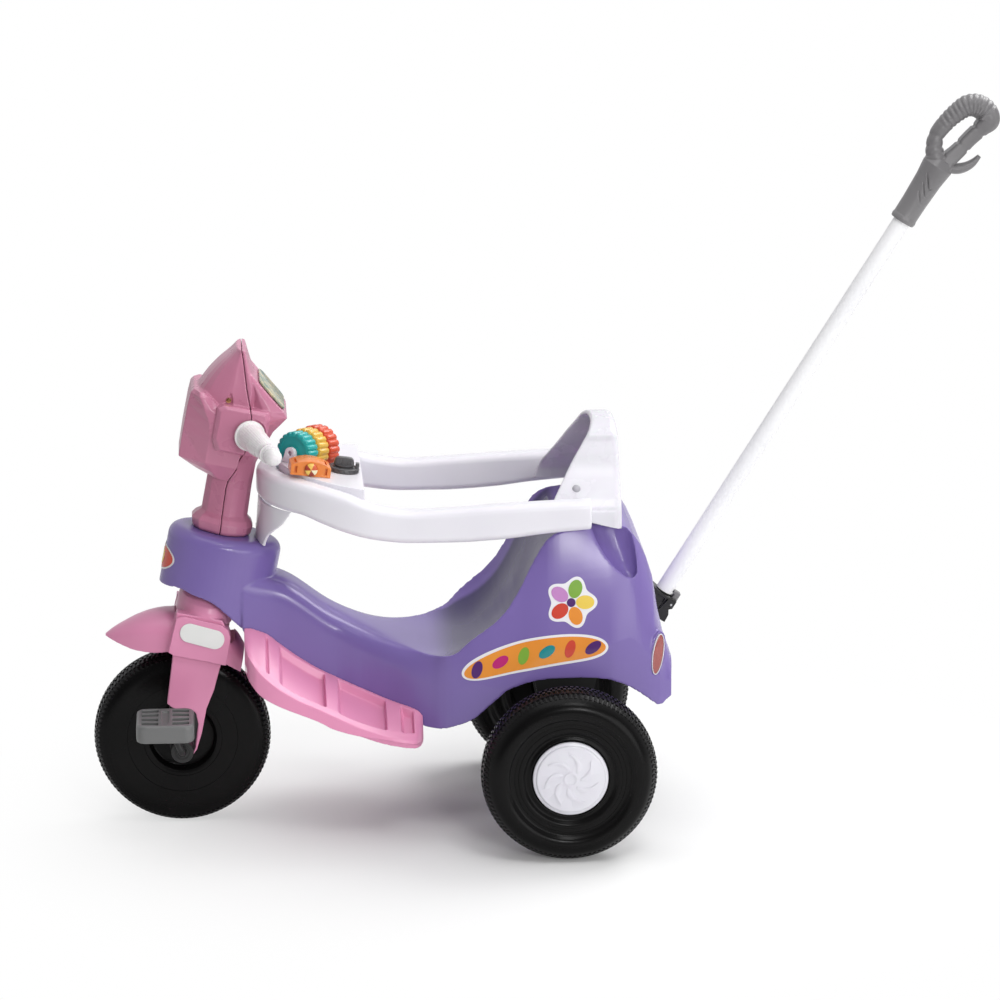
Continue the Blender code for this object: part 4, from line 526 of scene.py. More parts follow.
def body_loft(inset=0.0):
    """The seat and tail form. The inner one stops a wall short of the tail."""
    end = BODY_END - inset
    return loft([
        body_ring(BODY_START + (end - BODY_START) * i / BODY_STATIONS, inset)
        for i in range(BODY_STATIONS + 1)
    ])


def egg(front, rear, half, steps=32):
    """The plan of the nose: a half ellipse to the front and another to the rear."""
    points = []
    for i in range(2 * steps):
        angle = math.pi * i / steps
        reach = rear if math.cos(angle) > 0 else front
        points.append((reach * math.cos(angle), half * math.sin(angle)))
    return points


def nose_loft(inset=0.0):
    """The nose form: the egg plan drawn up the steering axis, with a round upper edge."""
    top = NOSE_TOP - inset
    radius = NOSE_ROUND - inset * 0.5
    rings = [[(x, y, NOSE_FLOOR) for x, y in egg(NOSE_FRONT - inset, NOSE_REAR - inset, NOSE_HALF - inset)]]
    for i in range(9):
        a = math.pi / 2 * i / 8
        shrink = inset + radius * (1 - math.cos(a))
        plan = egg(NOSE_FRONT - shrink, NOSE_REAR - shrink, NOSE_HALF - shrink)
        rings.append([(x, y, top - radius + radius * math.sin(a)) for x, y in plan])
    return moved(loft(rings), STEERING_IN_FRAME)


def pocket_well(side, grow):
    """The scoop of a rear deck pocket, which leans back and narrows to a round tip."""
    rings = []
    for height, x, radius in POCKET:
        rings.append([(x + a, side * POCKET_Y + b, height - grow) for a,
            b in arc((0, 0), radius + grow, 0, 345, 23)])
    return loft(rings)


def axle_plate(side):
    """A bracket that hangs from the ribs and carries the rear axle."""
    boss = arc(REAR_AXLE, AXLE_BOSS, 180, 360, 24)
    outline = [(RIBS[1][0] - 0.004, PLATE_TOP)] + boss + [(RIBS[2][0] + 0.004, PLATE_TOP)]
    low, high = span(side, *AXLE_PLATE)
    return prism(outline, low, high, "Y")


REFLECTOR_CENTRE = Vector((0.5975, 0.1243, 0.2415))
REFLECTOR_HALF_WIDTH = 0.008
REFLECTOR_HALF_HEIGHT = 0.0265
REFLECTOR_TURN = math.radians(66)
REFLECTOR_LEAN = math.radians(8.6)


def reflector_place(side):
    """The frame of a reflector: X looks out of the lens."""
    centre = Vector((REFLECTOR_CENTRE.x, side * REFLECTOR_CENTRE.y, REFLECTOR_CENTRE.z))
    turn = Matrix.Rotation(side * REFLECTOR_TURN, 4, "Z") @ Matrix.Rotation(side * REFLECTOR_LEAN, 4, "X")
    return Matrix.Translation(centre) @ turn


def oval(grow, low, high, steps=48):
    """An upright oval plate, grown past the lens by a margin."""
    outline = []
    for a in around(steps):
        width = (REFLECTOR_HALF_WIDTH + grow) * math.cos(a)
        outline.append((width, (REFLECTOR_HALF_HEIGHT + grow) * math.sin(a)))
    return prism(outline, low, high, "X")


bumper_outline = rounded_rectangle(2 * BUMPER_HALF, BUMPER_TOP - BUMPER_LOW, 0.014, 6,
    (0, (BUMPER_TOP + BUMPER_LOW) / 2))
hollow = solid(
    body_loft(WALL),
    add=[nose_loft(WALL)],
    cut=[box((x - WALL / 2, -0.16, low), (x + WALL / 2, 0.16, 0.42)) for x, low in RIBS]
    + [box((0.110, -WALL / 2, 0.225), (0.300, WALL / 2, 0.36))]
    + [moved(rod(HOUSING_RADIUS, HOUSING_FOOT, 0.30), STEERING_IN_FRAME)]
    + [pocket_well(side, WALL) for side in (-1, 1)],
)
low_start = LOWER_EDGE[0][0]
low_end = LOWER_EDGE[-1][0]
below = [(low_start - 0.1, 0.05), (low_start - 0.1, LOWER_EDGE[0][1])]
for i in range(111):
    x = low_start + (low_end - low_start) * i / 110
    below.append((x, read(LOWER_EDGE, x)))
below += [(low_end + 0.05, LOWER_EDGE[-1][1]), (low_end + 0.05, 0.05)]
shell = solid(
    body_loft(),
    add=[nose_loft(), prism(bumper_outline, 0.600, BUMPER_X, "X")],
    cut=[hollow, prism(below, -0.2, 0.2, "Y")],
)
shell = solid(
    shell,
    cut=[pocket_well(side, 0.0) for side in (-1, 1)]
    + [moved(rod(HOUSING_BORE, 0.15, 0.35), STEERING_IN_FRAME)],
)
shell = solid(
    shell,
    add=[moved(oval(0.0033, -0.012, -0.0003), reflector_place(side)) for side in (-1, 1)],
    cut=[moved(oval(0.0003, -0.004, 0.02), reflector_place(side)) for side in (-1, 1)]
    + [box((SLOT_X - 0.0003, -0.0153, 0.350), (SLOT_X + 0.0033, 0.0153, 0.39))],
)
shell = moulded(shell, 0.0016, rounds=3, share=0.35)
dressed(shell, "saddle_body", purple_plastic, ON_FRAME, "chassis", "purple_plastic", "body_shell")

# Axle plates: two brackets that hang from the ribs inside the shell and carry the rear axle in a
# bored boss. Their black is painted shade: they are part of the purple shell, in shadow under the arches.
SIDES = ((-1, "left"), (1, "right"))
satin_black = plastic("satin black plastic", (0.0125, 0.0125, 0.0125), (0.0090, 0.0090, 0.0092), gloss=0.36,
    grain=0.06)
for side, word in SIDES:
    axle_bore = rod(REAR_ROD / 2 + BORE_PLAY, -0.2, 0.2, "Y", (REAR_AXLE[0], 0, REAR_AXLE[1]))
    plate = solid(axle_plate(side), cut=[axle_bore])
    dressed(plate, f"axle_plate_{word}", satin_black, ON_FRAME, "chassis", "black_plastic", crease=35)


# Stickers: a printed film on each side of the tail and one on the nose, laid on the shell by rays.
# An orange ribbon with coloured pips, a flower above it and a sun on the nose, edged in white.
skin = BVHTree.FromObject(shell, bpy.context.evaluated_depsgraph_get())
FILM_THICKNESS = 0.0002
FILM_LIFT = 0.0004
INK_LIFT = 0.0008
RIBBON_START = 0.354
RIBBON_LENGTH = 0.176
RIBBON_FOOT = 0.221
RIBBON_CLIMB = 0.036
RIBBON_ARCH = 0.011
RIBBON_HALF = 0.0115
RIBBON_SWELL = 0.0055
WHITE_EDGE = 0.0032
FLOWER_CENTRE = (0.487, 0.3135)
FLOWER_RADIUS = 0.0290
FLOWER_WAVE = 0.0040
PETAL_REACH = 0.0175
SUN_CENTRE = (0.0, 0.3490)


def ribbon_middle(share):
    """The middle of the ribbon, a low arch that climbs towards the tail."""
    return RIBBON_FOOT + RIBBON_CLIMB * share + RIBBON_ARCH * math.sin(math.pi * share)


def ribbon(grow, steps=60):
    """The ribbon as rows across it, round at both ends."""
    rows = []
    for i in range(steps + 1):
        share = 0.5 - 0.5 * math.cos(math.pi * i / steps)
        round_end = math.sqrt(max(0.0004, 1 - abs(2 * share - 1) ** 7))
        half = (RIBBON_HALF + RIBBON_SWELL * math.sin(math.pi * share) + grow) * round_end
        x = RIBBON_START - grow + (RIBBON_LENGTH + 2 * grow) * share
        rows.append([(x, ribbon_middle(share) + half * (-1 + j / 3)) for j in range(7)])
    return rows


def spread(centre, edge, rows=6, steps=72):
    """Rings from a centre out to an edge, whose radius is given for each angle."""
    rings = []
    for row in range(1, rows + 1):
        ring = []
        for a in around(steps):
            reach = edge(a) * row / rows
            ring.append((centre[0] + reach * math.cos(a), centre[1] + reach * math.sin(a)))
        rings.append(ring)
    return rings


def film(rows, closed, lift, start, ahead):
    """A thin film over rows of points, each point cast on the shell from a plane ahead of it."""
    bm = bmesh.new()
    laid = []
    for row in rows:
        line = []
        for point in row:
            spot, normal, _, _ = skin.ray_cast(ON_FRAME @ start(*point), ahead)
            line.append(bm.verts.new(spot + normal * lift))
        laid.append(line)
    for first, second in zip(laid, laid[1:]):
        bridge(bm, first, second, closed)
    if closed:
        bm.faces.new(laid[0])
    made = as_object(bm)
    thick = made.modifiers.new("thickness", "SOLIDIFY")
    thick.thickness = FILM_THICKNESS
    thick.offset = 0
    return settled(made)


def pip(half_length, half_height, turn):
    """The edge of a turned oval, as a radius for each angle."""
    return lambda a: 1 / math.hypot(math.cos(a - turn) / half_length, math.sin(a - turn) / half_height)


inks = {
    "white": ((0.80, 0.79, 0.82), (0.77, 0.76, 0.79)),
    "orange": ((0.80, 0.30, 0.04), (0.72, 0.24, 0.03)),
    "violet": ((0.085, 0.020, 0.160), (0.070, 0.016, 0.130)),
    "magenta": ((0.52, 0.02, 0.18), (0.45, 0.02, 0.15)),
    "green": ((0.22, 0.42, 0.05), (0.18, 0.36, 0.04)),
    "teal": ((0.01, 0.26, 0.28), (0.01, 0.22, 0.24)),
    "red": ((0.62, 0.06, 0.03), (0.54, 0.05, 0.03)),
    "yellow": ((0.82, 0.60, 0.10), (0.76, 0.54, 0.08)),
    "lilac": ((0.55, 0.25, 0.55), (0.49, 0.21, 0.49)),
}
printed = {ink: plastic(f"sticker {ink} film", *pair, gloss=0.22, grain=0.01) for ink, pair in inks.items()}
slots = {"orange": "orange_plastic", "teal": "teal_plastic", "red": "red_plastic",
    "yellow": "yellow_plastic"}
for side, word in SIDES:
    def beside(x, z):
        """A place well outside this side of the shell."""
        return Vector((x, side * 0.25, z))

    inward = Vector((0, -side, 0))
    prints = [("ribbon_edge", "white", ribbon(WHITE_EDGE), False, FILM_LIFT),
        ("ribbon", "orange", ribbon(0.0), False, INK_LIFT)]
    for i, ink in enumerate(("violet", "magenta", "green", "teal", "red", "violet")):
        share = (i + 0.55) / 6.1
        centre = (RIBBON_START + RIBBON_LENGTH * share, ribbon_middle(share))
        leaf = spread(centre, pip(0.0115, 0.0062, math.radians(72 - 36 * (i % 2))))
        prints.append((f"pip_{i}", ink, leaf, True, INK_LIFT + FILM_LIFT))
    flower = spread(FLOWER_CENTRE, lambda a: FLOWER_RADIUS + FLOWER_WAVE * math.cos(5 * a), 8, 90)
    prints.append(("flower_edge", "white", flower, True, FILM_LIFT))
    for i, ink in enumerate(("yellow", "green", "lilac", "red", "orange")):
        turn = 2 * math.pi * i / 5
        x = FLOWER_CENTRE[0] + PETAL_REACH * math.cos(turn)
        centre = (x, FLOWER_CENTRE[1] + PETAL_REACH * math.sin(turn))
        prints.append((f"petal_{i}", ink, spread(centre, pip(0.0115, 0.0085, turn)), True, INK_LIFT))
    prints.append(("flower_heart", "violet", spread(FLOWER_CENTRE, pip(0.0055, 0.0055, 0)), True, INK_LIFT))
    for name, ink, rows, closed, lift in prints:
        piece = film(rows, closed, lift, beside, inward)
        dressed(piece, f"sticker_{name}_{word}", printed[ink], Matrix(), "chassis",
            slots.get(ink, "white_plastic"), crease=60)


def ahead_of_nose(y, z):
    """A place well ahead of the nose."""
    return Vector((-0.2, y, z))


for name, ink, half_width, half_height, lift in (
    ("sun_edge", "white", 0.0360, 0.0165, FILM_LIFT), ("sun_field", "red", 0.0335, 0.0142, INK_LIFT),
    ("sun", "yellow", 0.0120, 0.0105, INK_LIFT + FILM_LIFT),
):
    rows = spread(SUN_CENTRE, pip(half_width, half_height, 0))
    piece = film(rows, True, lift, ahead_of_nose, Vector((1, 0, 0)))
    dressed(piece, f"sticker_{name}", printed[ink], Matrix(), "chassis", slots.get(ink, "white_plastic"),
        crease=60)

# Rear reflectors: a red-brown prismatic lens with a white rim, pressed into a pad
# on each rear corner of the body.
def lens_dome(steps=40, rows=7):
    """The lens: an oval with a low crowned face."""
    rings = []
    levels = [(-0.0036, 1.0), (-0.0002, 1.0)]
    for i in range(rows + 1):
        a = math.pi / 2 * i / rows
        levels.append((0.0011 * math.sin(a), math.cos(a * 0.96)))
    for depth, share in levels:
        ring = []
        for a in around(steps):
            width = (REFLECTOR_HALF_WIDTH - 0.0013) * share * math.cos(a)
            ring.append((depth, width, (REFLECTOR_HALF_HEIGHT - 0.0015) * share * math.sin(a)))
        rings.append(ring)
    return loft(rings)


def prism_lens(name, colour, shade):
    """Clear red plastic over a net of small prisms."""
    made = plastic(name, colour, shade, gloss=0.12, grain=0.0)
    tree = made.node_tree
    shader = tree.nodes["Principled BSDF"]
    where = node(tree, "TexCoord").outputs["Object"]
    net = node(tree, "TexVoronoi", {"Scale": 420}, {"Vector": where}, distance="CHEBYCHEV")
    grained(tree, shader, net.outputs["Distance"], 0.5)
    shader.inputs["Coat Weight"].default_value = 0.8
    return made


red_lens = prism_lens("red reflector lens", (0.42, 0.10, 0.085), (0.30, 0.06, 0.055))
white_rim = plastic("white lens rim plastic", (0.80, 0.79, 0.83), (0.76, 0.75, 0.79), gloss=0.25)
for side, word in SIDES:
    rim = solid(oval(0.0, -0.0036, 0.0009), cut=[oval(-0.0011, -0.0030, 0.01)])
    rim = moulded(rim, 0.0004, rounds=2, share=0.5)
    dressed(rim, f"reflector_rim_{word}", white_rim, ON_FRAME @ reflector_place(side), "chassis",
        "red_lens")
    lens = as_object(lens_dome())
    dressed(lens, f"reflector_lens_{word}", red_lens, ON_FRAME @ reflector_place(side), "chassis",
        "red_lens", f"rear_reflector_{word}", crease=40)

# Footrests: two pink moulded steps, one on each side of the body.
# A sunken tread between three cross ribs, a raised lip round it and a skirt below.
PINK = (0.71, 0.27, 0.44)
PINK_SHADE = (0.67, 0.25, 0.41)
STEP_INNER_Z = (
    (0.088, 0.266), (0.109, 0.257), (0.126, 0.2425), (0.156, 0.2205), (0.187, 0.203), (0.224, 0.187),
    (0.264, 0.174), (0.297, 0.167), (0.303, 0.162),
)
STEP_OUTER_Z = (
    (0.075, 0.256), (0.103, 0.222), (0.140, 0.196), (0.177, 0.179), (0.227, 0.156), (0.252, 0.148),
    (0.303, 0.138),
)
STEP_SKIRT_Z = (
    (0.075, 0.225), (0.099, 0.196), (0.115, 0.187), (0.174, 0.163), (0.189, 0.155), (0.227, 0.145),
    (0.303, 0.1355),
)
STEP_OUTER_HALF = (
    (0.080, 0.090), (0.085, 0.108), (0.095, 0.120), (0.125, 0.130), (0.177, 0.135), (0.227, 0.139),
    (0.275, 0.143), (0.292, 0.138), (0.300, 0.124), (0.303, 0.112),
)
STEP_RIBS = ((0.108, 0.126), (0.179, 0.199), (0.255, 0.277))
STEP_LIP = 0.011
STEP_SUNK = 0.0100
STEP_SHELL = 0.0028
STEP_UNDER = 0.0130
STEP_START = 0.080
STEP_END = 0.303
STEP_STATIONS = 150


def tread_depth(x):
    """How far the tread lies below the ribs at x: full between ribs, nothing on them."""
    depth = 1.0 if STEP_RIBS[0][0] < x < STEP_END - 0.012 else 0.0
    for start, end in STEP_RIBS:
        middle = (start + end) / 2
        flat = (end - start) / 2 - 0.002
        depth = min(depth, max(0.0, min(1.0, (abs(x - middle) - flat) / 0.002)))
    return depth * depth * (3 - 2 * depth)


def step_ring(side, x):
    """One cross-section of a footrest: its tread, its outer lip and its skirt, open below."""
    inner_y = max(read(SIDE_HALF, x), 0.0475) - 0.001
    inner_z = read(STEP_INNER_Z, x)
    outer_y = read(STEP_OUTER_HALF, x)
    outer_z = read(STEP_OUTER_Z, x)
    skirt_z = min(read(STEP_SKIRT_Z, x), outer_z - 0.006)
    slope = (outer_z - inner_z) / (outer_y - inner_y)
    lip = min(STEP_LIP, (outer_y - inner_y) / 5)
    sunk = STEP_SUNK * tread_depth(x)
    points = [(inner_y, inner_z - STEP_UNDER - 0.002), (inner_y, inner_z)]
    start = inner_y + lip * 0.6
    end = outer_y - lip
    for i in range(25):
        share = i / 24
        y = start + (end - start) * share
        edge = min(share, 1 - share) * (end - start) / 0.0030
        dip = min(1.0, edge)
        points.append((y, inner_z + slope * (y - inner_y) - sunk * dip * dip * (3 - 2 * dip)))
    points += [
        (outer_y - lip * 0.3, outer_z + 0.0004), (outer_y, outer_z - 0.001), (outer_y + 0.0015, skirt_z),
        (outer_y + 0.0015 - STEP_SHELL, skirt_z), (outer_y - STEP_SHELL, outer_z - STEP_UNDER),
        (inner_y + STEP_SHELL, inner_z - STEP_UNDER),
        (inner_y + STEP_SHELL, inner_z - STEP_UNDER - 0.002),
    ]
    return [(x, side * y, z) for y, z in points]


footrest_pink = plastic("footrest pink plastic", (0.76, 0.285, 0.47), (0.73, 0.27, 0.445), gloss=0.30)
for side, word in SIDES:
    rings = []
    for i in range(STEP_STATIONS + 1):
        rings.append(step_ring(side, STEP_START + (STEP_END - STEP_START) * i / STEP_STATIONS))
    step = solid(loft(rings), cut=[body_loft(-0.0004), nose_loft(-0.0004)])
    step = moulded(step, 0.0009, rounds=2, share=0.35)
    dressed(step, f"step_{word}", footrest_pink, ON_FRAME, "chassis", "pink_plastic", f"footrest_{word}")

# Guard ring: a white hollow bar that bends round the rider, its front on a curved shield
# that stands on the nose, its ends screwed to the backrest.
RING_TOP = (
    (0.098, 0.464), (0.130, 0.466), (0.170, 0.462), (0.205, 0.455), (0.232, 0.446), (0.260, 0.440),
    (0.296, 0.436), (0.343, 0.438), (0.391, 0.441), (0.453, 0.444), (0.511, 0.446),
)
RING_LOW = (
    (0.098, 0.4255), (0.145, 0.425), (0.176, 0.417), (0.203, 0.409), (0.238, 0.401), (0.290, 0.3955),
    (0.340, 0.3955), (0.402, 0.3986), (0.457, 0.405), (0.511, 0.4095),
)
RING_CORNER = 0.009
RING_CENTRE_X = 0.250
RING_LENGTH = 0.152
RING_HALF_WIDTH = 0.150
RING_BAR = 0.030
RING_END_X = 0.511
WHITE = (0.78, 0.765, 0.815)
WHITE_SHADE = (0.75, 0.735, 0.79)


def ring_path(steps=72):
    """Places round the ring in plan, with their outward direction: left arm, front, right arm."""
    places = []
    for i in range(28):
        x = RING_END_X + (RING_CENTRE_X + 0.006 - RING_END_X) * i / 27
        places.append((Vector((x, -RING_HALF_WIDTH, 0)), Vector((0, -1, 0))))
    straight = list(places)
    for i in range(steps + 1):
        angle = math.pi * i / steps
        x = RING_CENTRE_X - RING_LENGTH * math.sin(angle)
        point = Vector((x, -RING_HALF_WIDTH * math.cos(angle), 0))
        out = Vector((-math.sin(angle) / RING_LENGTH, -math.cos(angle) / RING_HALF_WIDTH, 0)).normalized()
        places.append((point, out))
    for point, out in reversed(straight):
        places.append((Vector((point.x, -point.y, 0)), -out))
    return places


def ring_section(point, out, width=RING_BAR):
    """The rounded upright section of the ring at one place, a little crowned outside."""
    low = read(RING_LOW, point.x)
    top = read(RING_TOP, point.x)
    middle = (top + low) / 2
    outline = rounded_rectangle(width - 0.0012, top - low, RING_CORNER, 8, (-width / 2 - 0.0006, middle))
    section = []
    for offset, height in outline:
        crown = 0.0012 * (1 - ((height - middle) / (top - low) * 2) ** 2) if offset > -width / 2 else 0.0
        section.append(point + out * (offset + crown) + Vector((0, 0, height)))
    return section


def bevelled(piece, width, segments, limit=50):
    """Rounds the edges of a solid that are sharper than the limit, in degrees."""
    bevel = piece.modifiers.new("round edge", "BEVEL")
    bevel.width = width
    bevel.segments = segments
    bevel.limit_method = "ANGLE"
    bevel.angle_limit = math.radians(limit)
    return settled(piece)


white_plastic = plastic("white guard ring plastic", WHITE, WHITE_SHADE, gloss=0.22, glow=0.06)
ring = as_object(loft([ring_section(*place) for place in ring_path()]))
bevelled(ring, 0.002, 3)
dressed(ring, "guard_bar", white_plastic, ON_FRAME, "chassis", "white_plastic", "guard_ring", crease=60)

# Front shield: a curved wall of white plastic under the front of the ring.
# It stands on the nose, with a tab in a slot of the shell.
SHIELD_CENTRE_X = 0.1665
SHIELD_REACH = 0.070
SHIELD_SPREAD = 0.098
SHIELD_THICKNESS = 0.004
SHIELD_LOW = 0.370
SHIELD_TOP = 0.4245
SHIELD_RIM = 0.4252
SHIELD_HALF = (
    (0.366, 0.047), (0.376, 0.051), (0.386, 0.058), (0.396, 0.069), (0.406, 0.081), (0.4245, 0.092),
)
SHIELD_TAB_HALF = 0.015
SHIELD_TAB_DROP = 0.006


def nose_height(x):
    """The height of the nose's top face, which is square to the steering axis."""
    return FRONT_RADIUS + (NOSE_TOP - x * math.sin(RAKE)) / math.cos(RAKE)


def shield_ring(share, steps=48):
    """A level of the shield, from its foot on the nose (0) to its top under the ring (1)."""
    half = read(SHIELD_HALF, SHIELD_LOW + (SHIELD_TOP - SHIELD_LOW) * share)
    outer, inner = [], []
    for i in range(steps + 1):
        y = half * (-1 + 2 * i / steps)
        for row, reach in ((outer, 0), (inner, SHIELD_THICKNESS)):
            bend = math.sqrt(1 - (y / (SHIELD_SPREAD + 0.004)) ** 2)
            x = SHIELD_CENTRE_X - (SHIELD_REACH - reach) * bend + 0.004 * share
            foot = nose_height(x) + 0.0003
            row.append((x, y, foot + (SHIELD_RIM - foot) * share))
    return outer + inner[::-1]


tab_x = SHIELD_CENTRE_X - SHIELD_REACH + 0.0005
tab = box((tab_x, -SHIELD_TAB_HALF, nose_height(tab_x) - SHIELD_TAB_DROP),
    (tab_x + 0.003, SHIELD_TAB_HALF, 0.385))
shield = moulded(solid(loft([shield_ring(i / 20) for i in range(21)]), add=[tab]), 0.0009, rounds=2,
    share=0.4)
dressed(shield, "front_shield", white_plastic, ON_FRAME, "chassis", "white_plastic", "front_support")

# Play tray: a white lid across the front of the ring, sloping towards the rider,
# open below, with a slanted well for the rollers.
TRAY_REAR_X = 0.231
TRAY_REAR_TOP = 0.459
TRAY_SLOPE = (0.474 - TRAY_REAR_TOP) / (TRAY_REAR_X - 0.120)
TRAY_FLOOR = 0.428
TRAY_OVERLAP = 0.002
TRAY_TURN = Matrix.Rotation(math.atan(TRAY_SLOPE), 4, "Y")
TRAY_PLACE = Matrix.Translation((TRAY_REAR_X, 0, TRAY_REAR_TOP + 0.0003)) @ TRAY_TURN
ROLLER_CENTRE_Z = 0.0125
ROLLER_TURN = Matrix.Rotation(math.radians(-38), 4, "Z")
ROLLER_PLACE = TRAY_PLACE @ Matrix.Translation((-0.070, 0.004, ROLLER_CENTRE_Z)) @ ROLLER_TURN
ROLLER_RADII = (0.0265, 0.0285, 0.0300)
ROLLER_BAND = 0.020
POST_THICKNESS = 0.005
BAND_GAP = 0.0006
WELL_HALF = 1.5 * ROLLER_BAND + 1.5 * BAND_GAP + POST_THICKNESS + 0.0015


def tray_top(x):
    """The height of the tray's top face at x."""
    return TRAY_REAR_TOP + TRAY_SLOPE * (TRAY_REAR_X - x)


def tray_block(inset, rear, low, drop, steps=64):
    """The plan of the tray, the inside of the ring cut off at its rear wall, drawn up to its top face."""
    reach_x = RING_LENGTH - RING_BAR - 0.0003 - inset
    reach_y = RING_HALF_WIDTH - RING_BAR - 0.0003 - inset
    edge = math.acos((RING_CENTRE_X - rear) / reach_x)
    outline = []
    for i in range(steps + 1):
        angle = -edge + 2 * edge * i / steps
        outline.append((RING_CENTRE_X - reach_x * math.cos(angle), reach_y * math.sin(angle)))
    return loft([[(x, y, low) for x, y in outline], [(x, y, tray_top(x) - drop) for x, y in outline]])


roller_well = box(
    (-ROLLER_RADII[2] - 0.0015, -WELL_HALF + POST_THICKNESS - 0.0005, -0.06),
    (ROLLER_RADII[2] + 0.0015, WELL_HALF - POST_THICKNESS + 0.0005, 0.03),
)
tray = solid(
    tray_block(-TRAY_OVERLAP, TRAY_REAR_X, TRAY_FLOOR, 0),
    cut=[
        tray_block(WALL + TRAY_OVERLAP, TRAY_REAR_X - WALL, TRAY_FLOOR - 0.01, WALL),
        loft([ring_section(*place, RING_BAR + 0.0003) for place in ring_path()]),
        moved(roller_well, ROLLER_PLACE),
    ],
)
tray = moulded(tray, 0.0009, rounds=2, share=0.35)
dressed(tray, "tray_top", white_plastic, ON_FRAME, "chassis", "white_plastic", "play_tray")

# Backrest: a white bell-shaped shell, open to the front, on the rear deck.
# Its rim slopes back towards the top, and the ends of the ring lie on its sides.
BELL_CREST = 0.505
BELL_TOP = 0.524
BELL_HALF = (
    (0.4055, 0.1185), (0.425, 0.1172), (0.437, 0.110), (0.450, 0.098), (0.470, 0.081), (0.490, 0.069),
    (BELL_CREST, 0.060), (BELL_TOP, 0.0),
)
BELL_LOW = 0.380
BELL_SHOULDER = 0.490
BELL_WALL = 0.0045
BELL_ROUND = 0.016
BELL_REAR_X = 0.552
BELL_RIM = (
    (0.600, 0.60), (0.535, 0.545), (0.521, 0.522), (0.495, 0.484), (0.466, 0.437), (0.455, 0.405),
    (0.455, 0.39),
)


def bell_half(z):
    """The half-width of the bell, round over its top."""
    if z < BELL_CREST:
        return read(BELL_HALF[:-1], z)
    share = min(1.0, (z - BELL_CREST) / (BELL_TOP - BELL_CREST))
    return BELL_HALF[-2][1] * math.sqrt(max(0.0, 1 - share ** 2.15))


def bell_outline(inset, steps=40):
    """The upright outline of the backrest, from one lower corner over the top to the other."""
    half = []
    for i in range(steps):
        z = BELL_LOW + (BELL_TOP - BELL_LOW) * (1 - (1 - i / steps) ** 1.5)
        sunk = inset * max(0.0, z - BELL_SHOULDER) / (BELL_TOP - BELL_SHOULDER)
        half.append((max(bell_half(z) - inset, 0.0004), z - sunk))
    top = (0, BELL_TOP - inset)
    return half + [top] + [(-y, z) for y, z in reversed(half)]


def bell_loft(inset, rear, steps=10):
    """The bell outline drawn forward from its rear face, with a round rear edge."""
    rings = []
    for i in range(steps + 1):
        angle = math.pi / 2 * (1 - i / steps)
        shrink = inset + BELL_ROUND * (1 - math.cos(angle)) * 0.6
        x = rear - BELL_ROUND * 0.6 + BELL_ROUND * 0.6 * math.sin(angle)
        rings.append([(x, y, z) for y, z in bell_outline(shrink)])
    rings.append([(0.440, y, z) for y, z in bell_outline(inset)])
    return loft(rings)


front_cut = prism([(0.40, 0.60)] + list(BELL_RIM) + [(0.40, 0.39)], -0.2, 0.2)
inner_bell = bell_loft(BELL_WALL, BELL_REAR_X - BELL_WALL)
skirt_cut = prism([(0.40, 0.36), (0.40, 0.412), (0.508, 0.4125), (0.56, 0.3995), (0.60, 0.36)], -0.2, 0.2)
backrest = solid(bell_loft(0, BELL_REAR_X), cut=[inner_bell, front_cut, skirt_cut, body_loft(-0.0009)])
backrest = moulded(backrest, 0.0013, rounds=3, share=0.4)
backrest_white = plastic("backrest white plastic", (0.70, 0.69, 0.735), (0.67, 0.66, 0.71), gloss=0.26,
    glow=0.3)
dressed(backrest, "bell_backrest", backrest_white, ON_FRAME, "chassis", "white_plastic", "backrest")

# Backrest screws: a low domed head on each side, just above the end of the ring.
# Its place is where a ray from the side meets the backrest.
SCREW_PLACE = (0.4960, 0.4507)
bell_skin = BVHTree.FromObject(backrest, bpy.context.evaluated_depsgraph_get())
dome = ((0, 0.0022), (0.0020, 0.0021), (0.0038, 0.0016), (0.0050, 0.0006), (0.0054, -0.0008), (0, -0.0008))
screw_grey = plastic("screw head grey", (0.42, 0.41, 0.45), (0.36, 0.35, 0.39), gloss=0.30)
for side, word in SIDES:
    start = ON_FRAME @ Vector((SCREW_PLACE[0], side * 0.25, SCREW_PLACE[1]))
    spot, normal, _, _ = bell_skin.ray_cast(start, Vector((0, -side, 0)))
    turn = Vector((0, 0, 1)).rotation_difference(normal).to_matrix().to_4x4()
    head = as_object(turned(dome, 32))
    dressed(head, f"backrest_screw_{word}", screw_grey, Matrix.Translation(spot) @ turn, "chassis",
        "white_plastic", crease=50)

# Fork: one pink moulding, two channelled legs under a round crown that holds the stem.
# Black bearing blocks fill the open ends of the legs round the crank.
LEG_FRONT = ((-0.039, 0.170), (-0.036, 0.140), (-0.033, 0.109), (-0.031, 0.080), (-0.029, 0.050))
LEG_CUT = ((-0.022, 0.0460), (-0.014, 0.0455), (-0.006, 0.0480), (0.002, 0.0480), (0.009, 0.0440))
LEG_REAR = (
    (0.011, -0.020), (0.019, -0.003), (0.0212, 0.020), (0.0212, 0.053), (0.026, 0.078), (0.028, 0.109),
    (0.031, 0.140), (0.026, 0.160), (0.020, 0.170),
)
HUB_RADIUS = 0.0165
LEG_WALL = 0.003
CROWN_LOW = 0.160
CROWN_TOP = 0.198
CROWN_LEVELS = (
    (CROWN_LOW, 1.0, 1.0), (0.175, 1.0, 1.0), (0.182, 0.99, 0.97), (0.188, 0.97, 0.90),
    (0.194, 0.90, 0.86), (CROWN_TOP, 0.80, 0.72),
)
CROWN_FRONT = 0.039
CROWN_REAR = 0.034
FORK_INSIDE = 0.034
FORK_OUTSIDE = 0.053
STEM_RADIUS = 0.011
STEM_SOCKET = 0.020
CRANK_ROD = 0.010
CRANK_BORE = CRANK_ROD / 2 + BORE_PLAY


